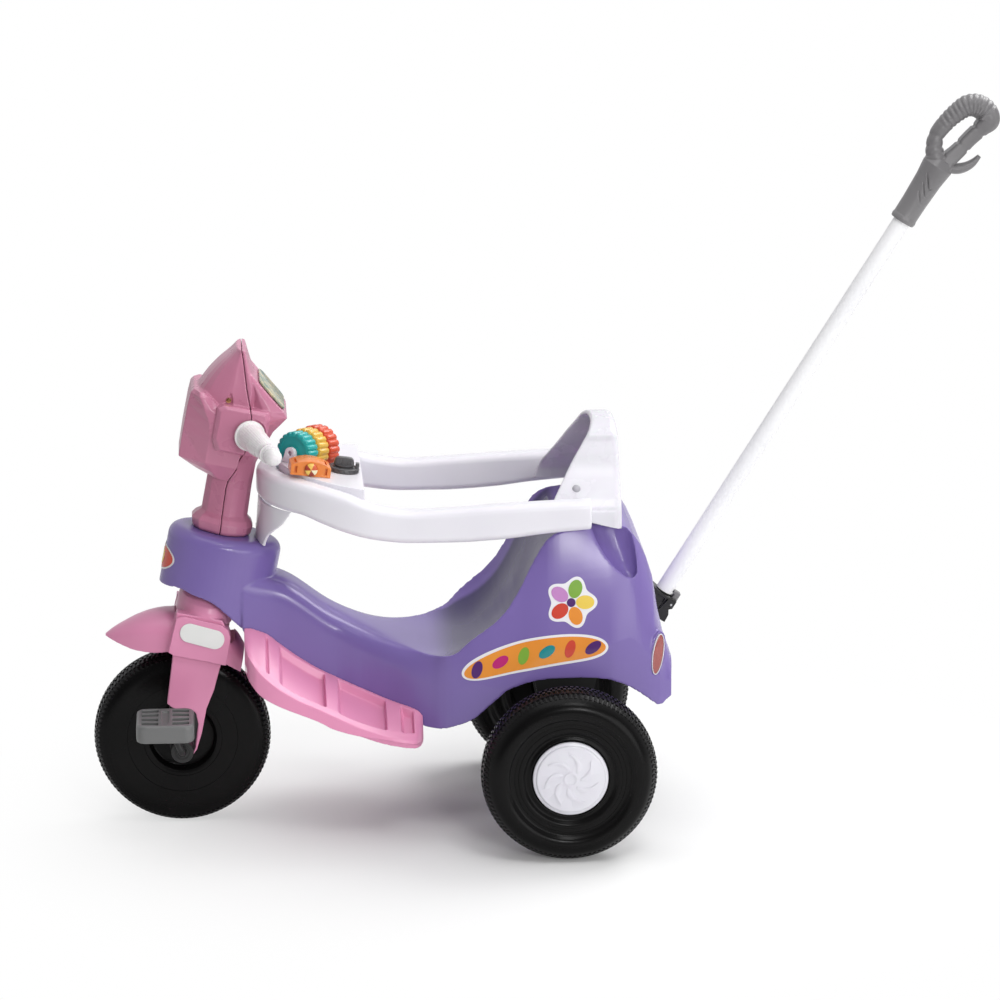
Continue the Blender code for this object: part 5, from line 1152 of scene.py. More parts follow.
def leg_outline(grow=0.0):
    """The side outline of a fork leg, its lower end a crescent round the hub."""
    front = [(x - grow, z) for x, z in LEG_FRONT]
    rear = [(x + grow, z) for x, z in LEG_REAR]
    crescent = arc((0, 0), HUB_RADIUS, 15, -52, 16)
    return front + [(x, z - grow) for x, z in LEG_CUT] + [(0.0145, 0.030)] + crescent + rear


crown_rings = []
for height, grow, wide in CROWN_LEVELS:
    plan = egg(CROWN_FRONT * grow, CROWN_REAR * grow, FORK_OUTSIDE * wide * grow)
    crown_rings.append([(x, y, height) for x, y in plan])
channel = (
    (-0.036 + LEG_WALL, 0.150), (-0.031 + LEG_WALL, 0.080), (-0.029 + LEG_WALL, 0.030), (0.0145, 0.030),
    (0.0212 - LEG_WALL, 0.052), (0.026 - LEG_WALL, 0.078), (0.030 - LEG_WALL, 0.150),
)
legs = []
channels = []
for side in (-1, 1):
    low, high = span(side, FORK_INSIDE, FORK_OUTSIDE)
    legs.append(prism(leg_outline(), low, high))
    low, high = span(side, FORK_INSIDE - 0.010, FORK_OUTSIDE - LEG_WALL)
    channels.append(prism(channel, low, high))
fork_pink = plastic("fork pink plastic", PINK, PINK_SHADE, gloss=0.30)
stem_bore = rod(STEM_RADIUS + BORE_PLAY, CROWN_TOP - STEM_SOCKET, CROWN_TOP + 0.01)
fork = solid(loft(crown_rings), add=legs, cut=channels + [stem_bore])
fork = moulded(fork, 0.0009, rounds=3, share=0.35)
dressed(fork, "fork_moulding", fork_pink, ON_STEERING, "steering", "pink_plastic", "fork")

# Mudguard: a pink hood over the front wheel with a pointed beak in front, a skirt behind
# and a box on each side with a white oval lens stuck to it.
BEAK = (
    (-0.120, 0.1105, 0.1125, 0.004), (-0.112, 0.109, 0.1215, 0.012), (-0.098, 0.107, 0.1335, 0.022),
    (-0.084, 0.106, 0.1440, 0.030), (-0.068, 0.107, 0.1530, 0.036), (-0.052, 0.110, 0.1590, 0.040),
    (-0.040, 0.114, 0.1615, 0.042),
)
GUARD_MIDDLE = ((-0.042, 0.114, 0.1615, 0.042), (-0.010, 0.112, 0.164, 0.045), (0.032, 0.112, 0.160, 0.040))
SKIRT = (
    (0.030, 0.112, 0.160, 0.040), (0.036, 0.109, 0.150, 0.036), (0.046, 0.105, 0.142, 0.033),
    (0.056, 0.101, 0.130, 0.030),
)
GUARD_INSIDE = (
    (-0.108, 0.09, 0.1225, 0.013), (-0.084, 0.09, 0.1415, 0.027), (-0.052, 0.09, 0.1565, 0.037),
    (-0.020, 0.09, 0.1590, 0.041), (0.028, 0.09, 0.1570, 0.037), (0.046, 0.09, 0.1390, 0.030),
    (0.060, 0.09, 0.1235, 0.0265),
)
SIDE_BOX = (
    (-0.040, 0.118), (-0.032, 0.115), (0.035, 0.114), (0.034, 0.150), (0.029, 0.160), (0.020, 0.165),
    (-0.030, 0.168), (-0.038, 0.164),
)
SIDE_BOX_HALF = 0.0585
GUARD_GAP = 0.0004
LENS_CENTRE = (-0.002, 0.147)
LENS_LENGTH = 0.057
LENS_HEIGHT = 0.025
LENS_TILT = math.radians(5)


def hood_section(x, low, top, half):
    """An arched cross-section: upright sides and a round roof."""
    shoulder = max(low + 0.001, top - half * 0.62)
    points = [(half, low), (half, shoulder)]
    for i in range(1, 13):
        a = math.pi / 2 * i / 12
        points.append((half * math.cos(a), shoulder + (top - shoulder) * math.sin(a)))
    points += [(-y, z) for y, z in reversed(points[:-1])]
    return [(x, y, z) for y, z in points]


def hood_loft(table, steps=24):
    """A hood along its table of (x, low, top, half-width) places, joined by smooth curves."""
    columns = [[(row[0], row[k]) for row in table] for k in (1, 2, 3)]
    start = table[0][0]
    end = table[-1][0]
    rings = []
    for i in range(steps + 1):
        x = start + (end - start) * i / steps
        rings.append(hood_section(x, *[read(column, x) for column in columns]))
    return loft(rings)


def lens_outline(grow, steps=12):
    """The long oval of a side lens."""
    points = []
    radius = LENS_HEIGHT / 2 + grow - 0.0005
    for x, z in rounded_rectangle(LENS_LENGTH + 2 * grow, LENS_HEIGHT + 2 * grow, radius, steps):
        points.append((
            LENS_CENTRE[0] + x * math.cos(LENS_TILT) + z * math.sin(LENS_TILT),
            LENS_CENTRE[1] + z * math.cos(LENS_TILT) - x * math.sin(LENS_TILT),
        ))
    return points


box_inside = prism([(x * 0.91, z - 0.0035 if z > 0.13 else 0.10) for x, z in SIDE_BOX],
    -SIDE_BOX_HALF + 0.003, SIDE_BOX_HALF - 0.003)
crown_plan = egg(CROWN_FRONT + GUARD_GAP, CROWN_REAR + GUARD_GAP, FORK_OUTSIDE + GUARD_GAP)
crown_hole = loft([[(x, y, z) for x, y in crown_plan] for z in (0.08, 0.20)])
leg_holes = []
for side in (-1, 1):
    low, high = span(side, FORK_INSIDE - GUARD_GAP, FORK_OUTSIDE + GUARD_GAP)
    leg_holes.append(prism(leg_outline(GUARD_GAP), low, high))
mudguard = solid(
    hood_loft(BEAK),
    add=[hood_loft(GUARD_MIDDLE), prism(SIDE_BOX, -SIDE_BOX_HALF, SIDE_BOX_HALF), hood_loft(SKIRT)],
    cut=[hood_loft(GUARD_INSIDE), box_inside, crown_hole] + leg_holes,
)
mudguard = moulded(mudguard, 0.0009, rounds=5, share=0.35)
dressed(mudguard, "front_mudguard", fork_pink, ON_STEERING, "steering", "pink_plastic", "mudguard")

lens_white = plastic("side lens plastic", (0.80, 0.80, 0.79), (0.74, 0.74, 0.73), gloss=0.14, glow=0.1)
for side, word in SIDES:
    low, high = span(side, SIDE_BOX_HALF + 0.0002, SIDE_BOX_HALF + 0.0018)
    side_lens = as_object(prism(lens_outline(0.0), low, high))
    bevelled(side_lens, 0.0007, 3, 30)
    dressed(side_lens, f"side_light_{word}", lens_white, ON_STEERING, "steering", "white_plastic",
        f"side_lens_{word}", crease=30)

# Handlebar and grips: a kinked zinc-plated steel bar through the head, with tapered
# white grips pushed on: a flange at the root, fine ribs along the hand part, a collar and a cap.
BAR_HEIGHT = 0.416
BAR_RADIUS = 0.007
BAR_KINK = (0.0045, 0.060)
BAR_END = (0.0345, 0.160)
GRIP_START = Vector((0.0075, 0.070, BAR_HEIGHT))
GRIP_AXIS = (Vector((0.0395, 0.1765, BAR_HEIGHT)) - GRIP_START).normalized()
GRIP_FORM = (
    (0.0, 0.0190), (0.0015, 0.0195), (0.004, 0.0195), (0.0045, 0.0172), (0.025, 0.0163), (0.045, 0.0150),
    (0.065, 0.0131), (0.080, 0.0110), (0.0825, 0.0128), (0.086, 0.0130), (0.0865, 0.0098),
    (0.095, 0.0106), (0.103, 0.0104), (0.108, 0.0082), (0.1105, 0.0050),
)
GRIP_RIBS = 34
GRIP_RIB_DEPTH = 0.00035
GRIP_TIP = 0.1112


def softened(points, radius, steps=8):
    """A path with each inner corner rounded by an arc of about the given radius."""
    points = [Vector(p) for p in points]
    soft = [points[0]]
    for before, corner, after in zip(points, points[1:], points[2:]):
        back = (before - corner).normalized()
        ahead = (after - corner).normalized()
        for i in range(steps + 1):
            t = i / steps
            soft.append(corner + back * radius * (1 - t) ** 2 + ahead * radius * t * t)
    soft.append(points[-1])
    return soft


def swept(path, radii, side, steps=32, squash=1.0):
    """A round bar along a flat path, whose plane has the given side vector as its normal."""
    normal = Vector(side).normalized()
    points = [Vector(p) for p in path]
    rings = []
    for i, point in enumerate(points):
        ahead = points[min(i + 1, len(points) - 1)] - points[max(i - 1, 0)]
        across = normal.cross(ahead.normalized())
        radius = radii[i] if isinstance(radii, (list, tuple)) else radii
        ring = []
        for angle in around(steps):
            upward = normal * radius * squash * math.sin(angle)
            ring.append(point + across * radius * math.cos(angle) + upward)
        rings.append(ring)
    return loft(rings)


def metal(name, colour, gloss, scratch=0.03):
    """Bright metal: fine cloudy gloss and a faint drawn grain."""
    made, tree, shader = new_material(name)
    shader.inputs["Base Color"].default_value = (*colour, 1)
    shader.inputs["Metallic"].default_value = 1.0
    where = node(tree, "TexCoord").outputs["Object"]
    patches = node(tree, "TexVoronoi", {"Scale": 260}, {"Vector": where})
    fine = node(tree, "TexNoise", {"Scale": 1500}, {"Vector": where})
    worn(tree, shader, patches.outputs["Distance"], gloss - 0.06, gloss + 0.12)
    grained(tree, shader, fine.outputs["Fac"], scratch)
    return made


bar_path = softened([
    (x, side * y, BAR_HEIGHT)
    for side, (x, y) in ((-1, BAR_END), (-1, BAR_KINK), (1, BAR_KINK), (1, BAR_END))
], 0.008)
zinc = metal("zinc plate", (0.58, 0.58, 0.60), 0.28)
handlebar = as_object(swept(bar_path, BAR_RADIUS, (0, 0, 1)))
dressed(handlebar, "handlebar_tube", zinc, ON_STEERING, "steering", "steel", "handlebar", crease=50)


def grip_frame(side):
    """The frame of a grip: Z runs along it, out from the head."""
    axis = Vector((GRIP_AXIS.x, side * GRIP_AXIS.y, 0))
    turn = Vector((0, 0, 1)).rotation_difference(axis).to_matrix().to_4x4()
    return Matrix.Translation((GRIP_START.x, side * GRIP_START.y, GRIP_START.z)) @ turn


def grip_radius(height):
    """The radius along the grip, straight between the places of its form."""
    for (h0, r0), (h1, r1) in zip(GRIP_FORM, GRIP_FORM[1:]):
        if height <= h1:
            return r0 + (r1 - r0) * (height - h0) / (h1 - h0)
    return GRIP_FORM[-1][1]


def grip_loft():
    """A grip with fine ribs on the hand part."""
    ribbed_part = {0.005 + 0.0745 * i / 20 for i in range(21)}
    heights = sorted({height for height, _ in GRIP_FORM} | ribbed_part | {GRIP_TIP})
    rings = []
    count = GRIP_RIBS * 4
    for height in heights:
        radius = grip_radius(height) if height < GRIP_TIP else 0.0012
        ribbed = GRIP_RIB_DEPTH if 0.006 < height < 0.079 else 0.0
        ring = []
        for i in range(count):
            angle = 2 * math.pi * i / count
            reach = radius - ribbed * (0.5 - 0.5 * math.cos(2 * math.pi * i / 4))
            ring.append((reach * math.cos(angle), reach * math.sin(angle), height))
        rings.append(ring)
    return loft(rings)


grip_plastic = plastic("grip translucent plastic", (0.84, 0.81, 0.81), (0.76, 0.74, 0.75), gloss=0.26,
    glow=0.25)
for side, word in SIDES:
    grip = as_object(grip_loft())
    dressed(grip, f"hand_grip_{word}", grip_plastic, ON_STEERING @ grip_frame(side), "steering",
        "white_plastic", f"grip_{word}", crease=40)

# Head: a pink hollow form of two mouldings, front and rear, screwed together at a seam.
# Column, hood, fairing, dash and a box at each side for the grips.
SEAM = (
    (-0.026, 0.530), (-0.015, 0.501), (-0.005, 0.469), (0.006, 0.440), (0.008, 0.423), (0.006, 0.381),
    (-0.005, 0.346), (-0.006, 0.333), (-0.003, 0.270),
)
COLUMN_FOOT = NOSE_TOP + 0.0006
COLUMN = (
    (COLUMN_FOOT, -0.036, 0.034, 0.020, 0.034, 0.016),
    (COLUMN_FOOT + 0.003, -0.0385, 0.036, 0.022, 0.036, 0.018),
    (0.287, -0.041, 0.037, 0.022, 0.036, 0.018), (0.293, -0.037, 0.034, 0.020, 0.033, 0.016),
    (0.298, -0.0305, 0.028, 0.013, 0.028, 0.013), (0.340, -0.031, 0.026, 0.013, 0.028, 0.011),
    (0.368, -0.031, 0.026, 0.015, 0.031, 0.011), (0.400, -0.031, 0.035, 0.018, 0.045, 0.026),
)
HOOD = (
    (0.345, -0.034, 0.002, 0.012, 0.034, 0.036), (0.353, -0.050, 0.002, 0.022, 0.040, 0.043),
    (0.366, -0.0725, 0.002, 0.034, 0.050, 0.052), (0.400, -0.0735, 0.002, 0.037, 0.059, 0.061),
    (0.420, -0.0735, -0.006, 0.039, 0.061, 0.058), (0.436, -0.0735, -0.026, 0.040, 0.061, 0.056),
    (0.450, -0.0725, -0.046, 0.040, 0.058, 0.052), (0.455, -0.0690, -0.054, 0.038, 0.052, 0.048),
)
FAIRING = (
    (0.425, -0.066, 0.010, 0.038, 0.056, 0.057), (0.450, -0.065, 0.012, 0.036, 0.054, 0.056),
    (0.468, -0.058, 0.010, 0.035, 0.052, 0.055), (0.490, -0.044, -0.002, 0.031, 0.047, 0.050),
    (0.503, -0.033, -0.009, 0.026, 0.042, 0.044), (0.513, -0.026, -0.014, 0.021, 0.037, 0.038),
)
DASH = (
    (0.405, -0.002, 0.0345, 0.030, 0.050, 0.032), (0.418, -0.002, 0.0380, 0.034, 0.054, 0.038),
    (0.430, -0.002, 0.0450, 0.038, 0.056, 0.044), (0.4410, -0.002, 0.0515, 0.040, 0.056, 0.048),
    (0.4470, -0.002, 0.0465, 0.042, 0.056, 0.050), (0.4620, -0.002, 0.0275, 0.042, 0.054, 0.050),
    (0.4780, -0.006, 0.0080, 0.040, 0.050, 0.047), (0.4930, -0.012, -0.0090, 0.036, 0.044, 0.043),
)
HEAD_HOLLOW = (
    (0.374, -0.064, -0.004, 0.030, 0.043, 0.030), (0.387, -0.067, 0.000, 0.032, 0.050, 0.032),
    (0.412, -0.067, 0.020, 0.034, 0.050, 0.030), (0.438, -0.064, 0.034, 0.033, 0.049, 0.036),
    (0.450, -0.056, 0.022, 0.030, 0.046, 0.040), (0.478, -0.042, -0.012, 0.024, 0.037, 0.034),
)
EAR = (
    (-0.037, 0.442), (-0.029, 0.447), (0.026, 0.447), (0.030, 0.440), (0.030, 0.396), (0.024, 0.388),
    (-0.029, 0.388), (-0.0365, 0.402),
)
EAR_HALF = 0.0695
EAR_MIDDLE = 0.417


def rounded_off(ring):
    """A ring with each corner cut off at a quarter of its sides."""
    cut = []
    for a, b in zip(ring, ring[1:] + ring[:1]):
        cut.append(Vector(a) * 0.75 + Vector(b) * 0.25)
        cut.append(Vector(a) * 0.25 + Vector(b) * 0.75)
    return cut


def head_form(levels, steps=0, rounds=0):
    """A head form lofted up its levels, each an eight-sided ring. Steps smooth it, rounds round it off."""
    rings = []
    columns = [[(level[0], level[k]) for level in levels] for k in range(1, 6)]
    if steps:
        heights = [levels[0][0] + (levels[-1][0] - levels[0][0]) * i / steps for i in range(steps + 1)]
        levels = [(height, *[read(column, height) for column in columns]) for height in heights]
    for height, front, rear, narrow, wide, back in levels:
        middle_front = front * 0.55 + rear * 0.45
        middle_rear = front * 0.35 + rear * 0.65
        half = ((front, narrow), (middle_front, wide), (middle_rear, wide), (rear, back))
        ring = [(x, y, height) for x, y in half] + [(x, -y, height) for x, y in reversed(half)]
        for _ in range(rounds):
            ring = rounded_off(ring)
        rings.append(ring)
    return loft(rings)


def ear_block():
    """The chamfered boxes that carry the grips, across the whole head."""
    small = [(x * 0.86, (z - EAR_MIDDLE) * 0.88 + EAR_MIDDLE) for x, z in EAR]
    places = ((-EAR_HALF, small), (-EAR_HALF + 0.005, EAR), (EAR_HALF - 0.005, EAR), (EAR_HALF, small))
    return loft([[(x, y, z) for x, z in outline] for y, outline in places])


def seam_side(offset, far):
    """Everything on one side of the seam between the head's mouldings."""
    line = [(x + offset, z) for x, z in SEAM]
    return prism([(far, 0.56), (line[0][0], 0.56)] + line + [(line[-1][0], 0.25), (far, 0.25)], -0.09, 0.09)


brass = metal("brass screw head", (0.72, 0.47, 0.20), 0.25)
NOTCH = ((-0.0310, 0.4465), (-0.0190, 0.4465), (-0.0200, 0.4540), (-0.0235, 0.4620))
NOTCH_FLOOR = 0.0505
HEAD_SCREW = (-0.0245, 0.4510)
head_pink = plastic("head pink plastic", (0.53, 0.195, 0.305), (0.49, 0.180, 0.280), gloss=0.27)
for word, keep, replaced in (("front", -1, "head_front"), ("rear", 1, "head_rear")):
    inside = solid(
        head_form(HEAD_HOLLOW),
        cut=[rod(STEM_RADIUS + 0.004, 0.25, BAR_HEIGHT + 0.014),
        box((-0.012, -0.070, BAR_HEIGHT - 0.012), (0.032, 0.070, BAR_HEIGHT + 0.012))],
    )
    grip_holes = []
    for side in (-1, 1):
        grip_holes.append(moved(rod(0.0215, -0.0003, 0.02), grip_frame(side)))
    half = solid(
        head_form(COLUMN, 0, 1),
        add=[head_form(HOOD), head_form(FAIRING, 20, 2), head_form(DASH), ear_block()],
        cut=[
            inside, seam_side(keep * 0.0004, 0.12 * -keep), rod(STEM_RADIUS + BORE_PLAY, 0.25, 0.3955),
            rod(0.0195, 0.25, NOSE_TOP + 0.0036), swept(bar_path, BAR_RADIUS + BORE_PLAY, (0, 0, 1)),
            prism(NOTCH, NOTCH_FLOOR, 0.08), prism(NOTCH, -0.08, -NOTCH_FLOOR),
        ] + grip_holes,
    )
    half = moulded(half, 0.0009, rounds=3, share=0.4)
    dressed(half, f"head_{word}_moulding", head_pink, ON_STEERING, "steering", "pink_plastic", replaced)

for side, word in SIDES:
    low, high = span(side, NOTCH_FLOOR - 0.001, NOTCH_FLOOR + 0.0018)
    screw = as_object(rod(0.0032, low, high, "Y", (HEAD_SCREW[0], 0, HEAD_SCREW[1]), 24))
    dressed(screw, f"head_screw_{word}", brass, ON_STEERING, "steering", "steel", crease=40)

# Dash plate: a thin plastic plate with a mottled print, round at its corners,
# stuck to the sloping face of the head.
DASH_TURN = Matrix.Rotation(math.atan2(0.4780 - 0.4470, 0.0465 - 0.0080), 4, "Y")
DASH_PLACE = ON_STEERING @ Matrix.Translation((0.0270, 0, 0.4631)) @ DASH_TURN
dash = as_object(prism(rounded_rectangle(0.048, 0.082, 0.010, 8), 0.0002, 0.0025, "Z"))
bevelled(dash, 0.0006, 2, 30)
dash_print = plastic("dash print", (0.50, 0.42, 0.24), (0.10, 0.20, 0.17), gloss=0.15, cloud=95.0)
dressed(dash, "dash_panel", dash_print, DASH_PLACE, "steering", "teal_plastic", "dash_plate", crease=30)

# Front wheel: one hollow black plastic moulding, flat-sided, with a hub bowl on each side
# and a fine knobbed tread. It turns with the bent crank rod, which has a black sleeve on each side.
CRANK_RADIUS = 0.055
CRANK_ANGLE = math.radians(21.6)
CRANK_ARM_Y = 0.0905
TREAD_DEPTH = 0.0014
TREAD_TEETH = 104
ON_HUB = ON_FRAME @ Matrix.Translation((0, 0, FRONT_RADIUS))
FRONT_SIDE = (
    (CRANK_BORE, 0.0325), (0.0060, 0.0330), (0.0142, 0.0330), (0.0150, 0.0322), (0.0158, 0.0145),
    (0.0175, 0.0124), (0.0210, 0.0112), (0.0370, 0.0092), (0.0398, 0.0104), (0.0412, 0.0140),
    (0.0422, 0.0200), (0.0436, 0.0222), (0.0465, 0.0230), (0.0500, 0.0231), (0.0505, 0.0237),
    (0.0700, 0.0249), (0.0705, 0.0255), (0.0850, 0.0260), (0.0900, 0.0262), (0.0960, 0.0256),
    (FRONT_RADIUS - 0.0118, 0.0245), (FRONT_RADIUS - 0.0080, 0.0222), (FRONT_RADIUS - 0.0050, 0.0190),
    (FRONT_RADIUS - 0.0026, 0.0130), (FRONT_RADIUS - TREAD_DEPTH, 0.0060),
)


def tread(rows, teeth):
    """Rows of small knobs round a wheel, each a tapered block on its own part of the tyre."""
    bm = bmesh.new()
    for outline, phase in rows:
        middle_r = sum(r for r, _ in outline) / len(outline)
        middle_y = sum(y for _, y in outline) / len(outline)
        for tooth in range(teeth):
            centre = 2 * math.pi * (tooth + phase) / teeth
            half = 0.30 * 2 * math.pi / teeth
            rows_of_points = []
            for angle, share in ((-half, 0.82), (-half * 0.72, 1.0), (half * 0.72, 1.0), (half, 0.82)):
                ring = []
                for r, y in outline:
                    reach = middle_r + (r - middle_r) * share
                    across = middle_y + (y - middle_y) * share
                    a = centre + angle
                    ring.append(bm.verts.new((reach * math.cos(a), across, reach * math.sin(a))))
                rows_of_points.append(ring)
            for first, second in zip(rows_of_points, rows_of_points[1:]):
                bridge(bm, first, second)
            bm.faces.new(reversed(rows_of_points[0]))
            bm.faces.new(rows_of_points[-1])
    bmesh.ops.recalc_face_normals(bm, faces=bm.faces)
    return bm


def tread_rows(radius):
    """Two middle rows and a shoulder row on each side."""
    low = radius - 0.0034
    rows = []
    for side in (-1, 1):
        rows.append(([(low, side * 0.0008), (radius, side * 0.0012), (radius, side * 0.0066),
            (low, side * 0.0072)], 0.25 * (side + 1)))
        rows.append((
            [(radius - 0.0050, side * 0.0092), (radius - 0.0007, side * 0.0086),
            (radius - 0.0022, side * 0.0155), (radius - 0.0060, side * 0.0150)],
            0.25 * (1 - side),
        ))
        rows.append((
            [(radius - 0.0075, side * 0.0172), (radius - 0.0030, side * 0.0176),
            (radius - 0.0068, side * 0.0232), (radius - 0.0110, side * 0.0222)],
            0.25 * (1 + side),
        ))
    return rows


tyre_black = plastic("black tyre plastic", (0.0042, 0.0040, 0.0040), (0.0030, 0.0029, 0.0030), gloss=0.25,
    grain=0.06, grain_size=500.0, shine=0.13)
wheel = solid(
    turned([(r, y) for r, y in FRONT_SIDE] + [(r, -y) for r, y in reversed(FRONT_SIDE)], 120, "Y"),
    add=[tread(tread_rows(FRONT_RADIUS), TREAD_TEETH)],
)
dressed(wheel, "front_wheel_tyre", tyre_black, ON_HUB, "front_wheel", "tyre", "front_wheel", crease=40)

PEDAL_LENGTH = 0.072
PEDAL_WIDTH = 0.080
PEDAL_THICKNESS = 0.023
PEDAL_INNER = 0.096
SPINDLE_END = PEDAL_INNER + PEDAL_WIDTH - 0.006
black_enamel = plastic("black enamel", (0.0110, 0.0110, 0.0112), (0.0080, 0.0080, 0.0082), gloss=0.24,
    grain=0.03)
crank_path = softened([
    (CRANK_RADIUS, -SPINDLE_END, 0), (CRANK_RADIUS, -CRANK_ARM_Y, 0), (0, -CRANK_ARM_Y, 0),
    (0, CRANK_ARM_Y, 0),
    (-CRANK_RADIUS, CRANK_ARM_Y, 0), (-CRANK_RADIUS, SPINDLE_END, 0),
], 0.006, 6)
crank = as_object(swept(crank_path, CRANK_ROD / 2, (0, 0, 1), 24))
crank_turn = Matrix.Rotation(-(math.pi / 2 + CRANK_ANGLE), 4, "Y")
dressed(crank, "crank_rod", black_enamel, ON_HUB @ crank_turn, "front_wheel", "steel", "crank_axle",
    crease=50)

SLEEVE_PROFILE = (
    (CRANK_BORE, 0.0536), (0.0146, 0.0536), (0.0150, 0.0541), (0.0150, 0.0700), (0.0142, 0.0720),
    (0.0142, 0.0832), (0.0136, 0.0838), (0.0092, 0.0840), (0.0088, 0.0833), (CRANK_BORE, 0.0833),
)
for side, word in SIDES:
    sleeve = as_object(turned([(r, side * y) for r, y in SLEEVE_PROFILE], 64, "Y"))
    dressed(sleeve, f"crank_collar_{word}", satin_black, ON_HUB, "front_wheel", "black_plastic",
        f"crank_sleeve_{word}", crease=35)

# Pedals: grey plastic blocks that turn on the ends of the crank rod, slatted on both faces,
# with a plain band round the edge.
PEDAL_FRAME = 0.0065
PEDAL_SPINE = 0.017
PEDAL_ROWS = 4
PEDAL_BOW = 0.006


def pedal_slot(end, middle, half):
    """A slot between two slats, bowed outwards, right through the pedal."""
    near = PEDAL_SPINE / 2
    far = PEDAL_LENGTH / 2 - PEDAL_FRAME
    points = []
    for edge in (-1, 1):
        row = []
        for i in range(9):
            x = near + (far - near) * i / 8
            bow = math.copysign(PEDAL_BOW, middle) * (1 - (x / far) ** 2) * 0.35
            row.append((end * x, middle + edge * half + bow))
        points += row if edge < 0 else row[::-1]
    return prism(points, -0.02, 0.02, "Z")


pedal_grey = plastic("pedal grey plastic", (0.168, 0.170, 0.168), (0.142, 0.144, 0.144), gloss=0.40,
    grain=0.10)
for side, word in SIDES:
    outline = rounded_rectangle(PEDAL_LENGTH, PEDAL_WIDTH, 0.011)
    half = PEDAL_THICKNESS / 2
    levels = ((0.93, half), (0.98, half - 0.0015), (1.0, half - 0.0045))
    levels = [(share, -z) for share, z in levels] + list(reversed(levels))
    block = loft([[(x * share, y * share, z) for x, y in outline] for share, z in levels])
    slots = []
    pitch = (PEDAL_WIDTH - 2 * PEDAL_FRAME) / PEDAL_ROWS
    for row in range(PEDAL_ROWS):
        middle = -PEDAL_WIDTH / 2 + PEDAL_FRAME + pitch * (row + 0.5)
        for end in (-1, 1):
            slots.append(pedal_slot(end, middle, pitch / 2 - 0.0026))
    spine_hollow = rounded_rectangle(PEDAL_SPINE - 0.0075, PEDAL_WIDTH - 4 * PEDAL_FRAME, 0.003)
    slots.append(prism(spine_hollow, half - 0.0022, half + 0.005, "Z"))
    slots.append(prism(spine_hollow, -half - 0.005, -half + 0.0022, "Z"))
    low, high = span(side, -0.06, PEDAL_WIDTH / 2 - 0.0055)
    slots.append(rod(CRANK_BORE, low, high, "Y", steps=32))
    pedal = moulded(solid(block, cut=slots), 0.0006, rounds=3, share=0.4)
    place = Matrix.Translation((
        side * CRANK_RADIUS * math.sin(CRANK_ANGLE), side * (PEDAL_INNER + PEDAL_WIDTH / 2),
        -side * CRANK_RADIUS * math.cos(CRANK_ANGLE),
    ))
    dressed(pedal, f"pedal_block_{word}", pedal_grey, ON_HUB @ place, f"pedal_{word}", "grey_plastic",
        f"pedal_{word}")

# Rear wheels: hollow black plastic mouldings with a bulged side, a dished face and the same
# tread. Each runs on the steel axle and takes a white cap that snaps into its middle.
REAR_RADIUS = 0.110
REAR_TRACK = 0.381
REAR_BORE = REAR_ROD / 2 + BORE_PLAY
REAR_HUB = 0.018
HUB_INNER_END = 0.0537
REAR_WEB = 0.004
REAR_FACE = (
    (REAR_RADIUS - TREAD_DEPTH, 0.0040), (REAR_RADIUS - 0.0025, 0.0120), (REAR_RADIUS - 0.0046, 0.0180),
    (REAR_RADIUS - 0.0076, 0.0230), (REAR_RADIUS - 0.0110, 0.0275), (REAR_RADIUS - 0.0150, 0.0308),
    (0.0900, 0.0325), (0.0855, 0.0330), (0.0805, 0.0322), (0.0770, 0.0300), (0.0755, 0.0278),
    (0.0742, 0.0270), (0.0700, 0.0268), (0.0696, 0.0262), (0.0650, 0.0261), (0.0646, 0.0267),
    (0.0615, 0.0268), (0.0590, 0.0258), (0.0568, 0.0232), (0.0545, 0.0224), (0.0522, 0.0230),
    (0.0505, 0.0243), (0.0492, 0.0243), (0.0478, 0.0232),
)
REAR_PROFILE = (
    (REAR_BORE, -HUB_INNER_END), (REAR_HUB - 0.001, -HUB_INNER_END), (REAR_HUB, -HUB_INNER_END + 0.001),
    (REAR_HUB, -REAR_WEB - 0.002), (REAR_HUB + 0.002, -REAR_WEB), (0.0450, -REAR_WEB),
    (0.0462, -REAR_WEB - 0.0015), (0.0470, -0.0200), *[(r, -y) for r, y in reversed(REAR_FACE)][1:-1],
    *REAR_FACE, (0.0470, 0.0215), (0.0462, REAR_WEB), (REAR_HUB, REAR_WEB), (REAR_HUB, 0.009),
    (REAR_BORE, 0.009),
)
HUBCAP_RADIUS = 0.047
HUBCAP_FACE = (
    (0.0, 0.0312), (0.0260, 0.0309), (0.0405, 0.0303), (0.0420, 0.0300), (0.0430, 0.0291),
    (0.0434, 0.0280), (0.0452, 0.0276), (0.0464, 0.0270), (HUBCAP_RADIUS, 0.0262),
    (HUBCAP_RADIUS, 0.0243), (0.0464, 0.0238), (0.0443, 0.0238), (0.0440, 0.0125), (0.0425, 0.0125),
    (0.0422, 0.0280), (0.0, 0.0282),
)
PETALS = 7


def gathered(solids):
    """Several solids as one, each keeping its own faces."""
    together = bmesh.new()
    for part in solids:
        mesh = bpy.data.meshes.new("part")
        part.to_mesh(mesh)
        part.free()
        together.from_mesh(mesh)
        bpy.data.meshes.remove(mesh)
    bmesh.ops.recalc_face_normals(together, faces=together.faces)
    return together


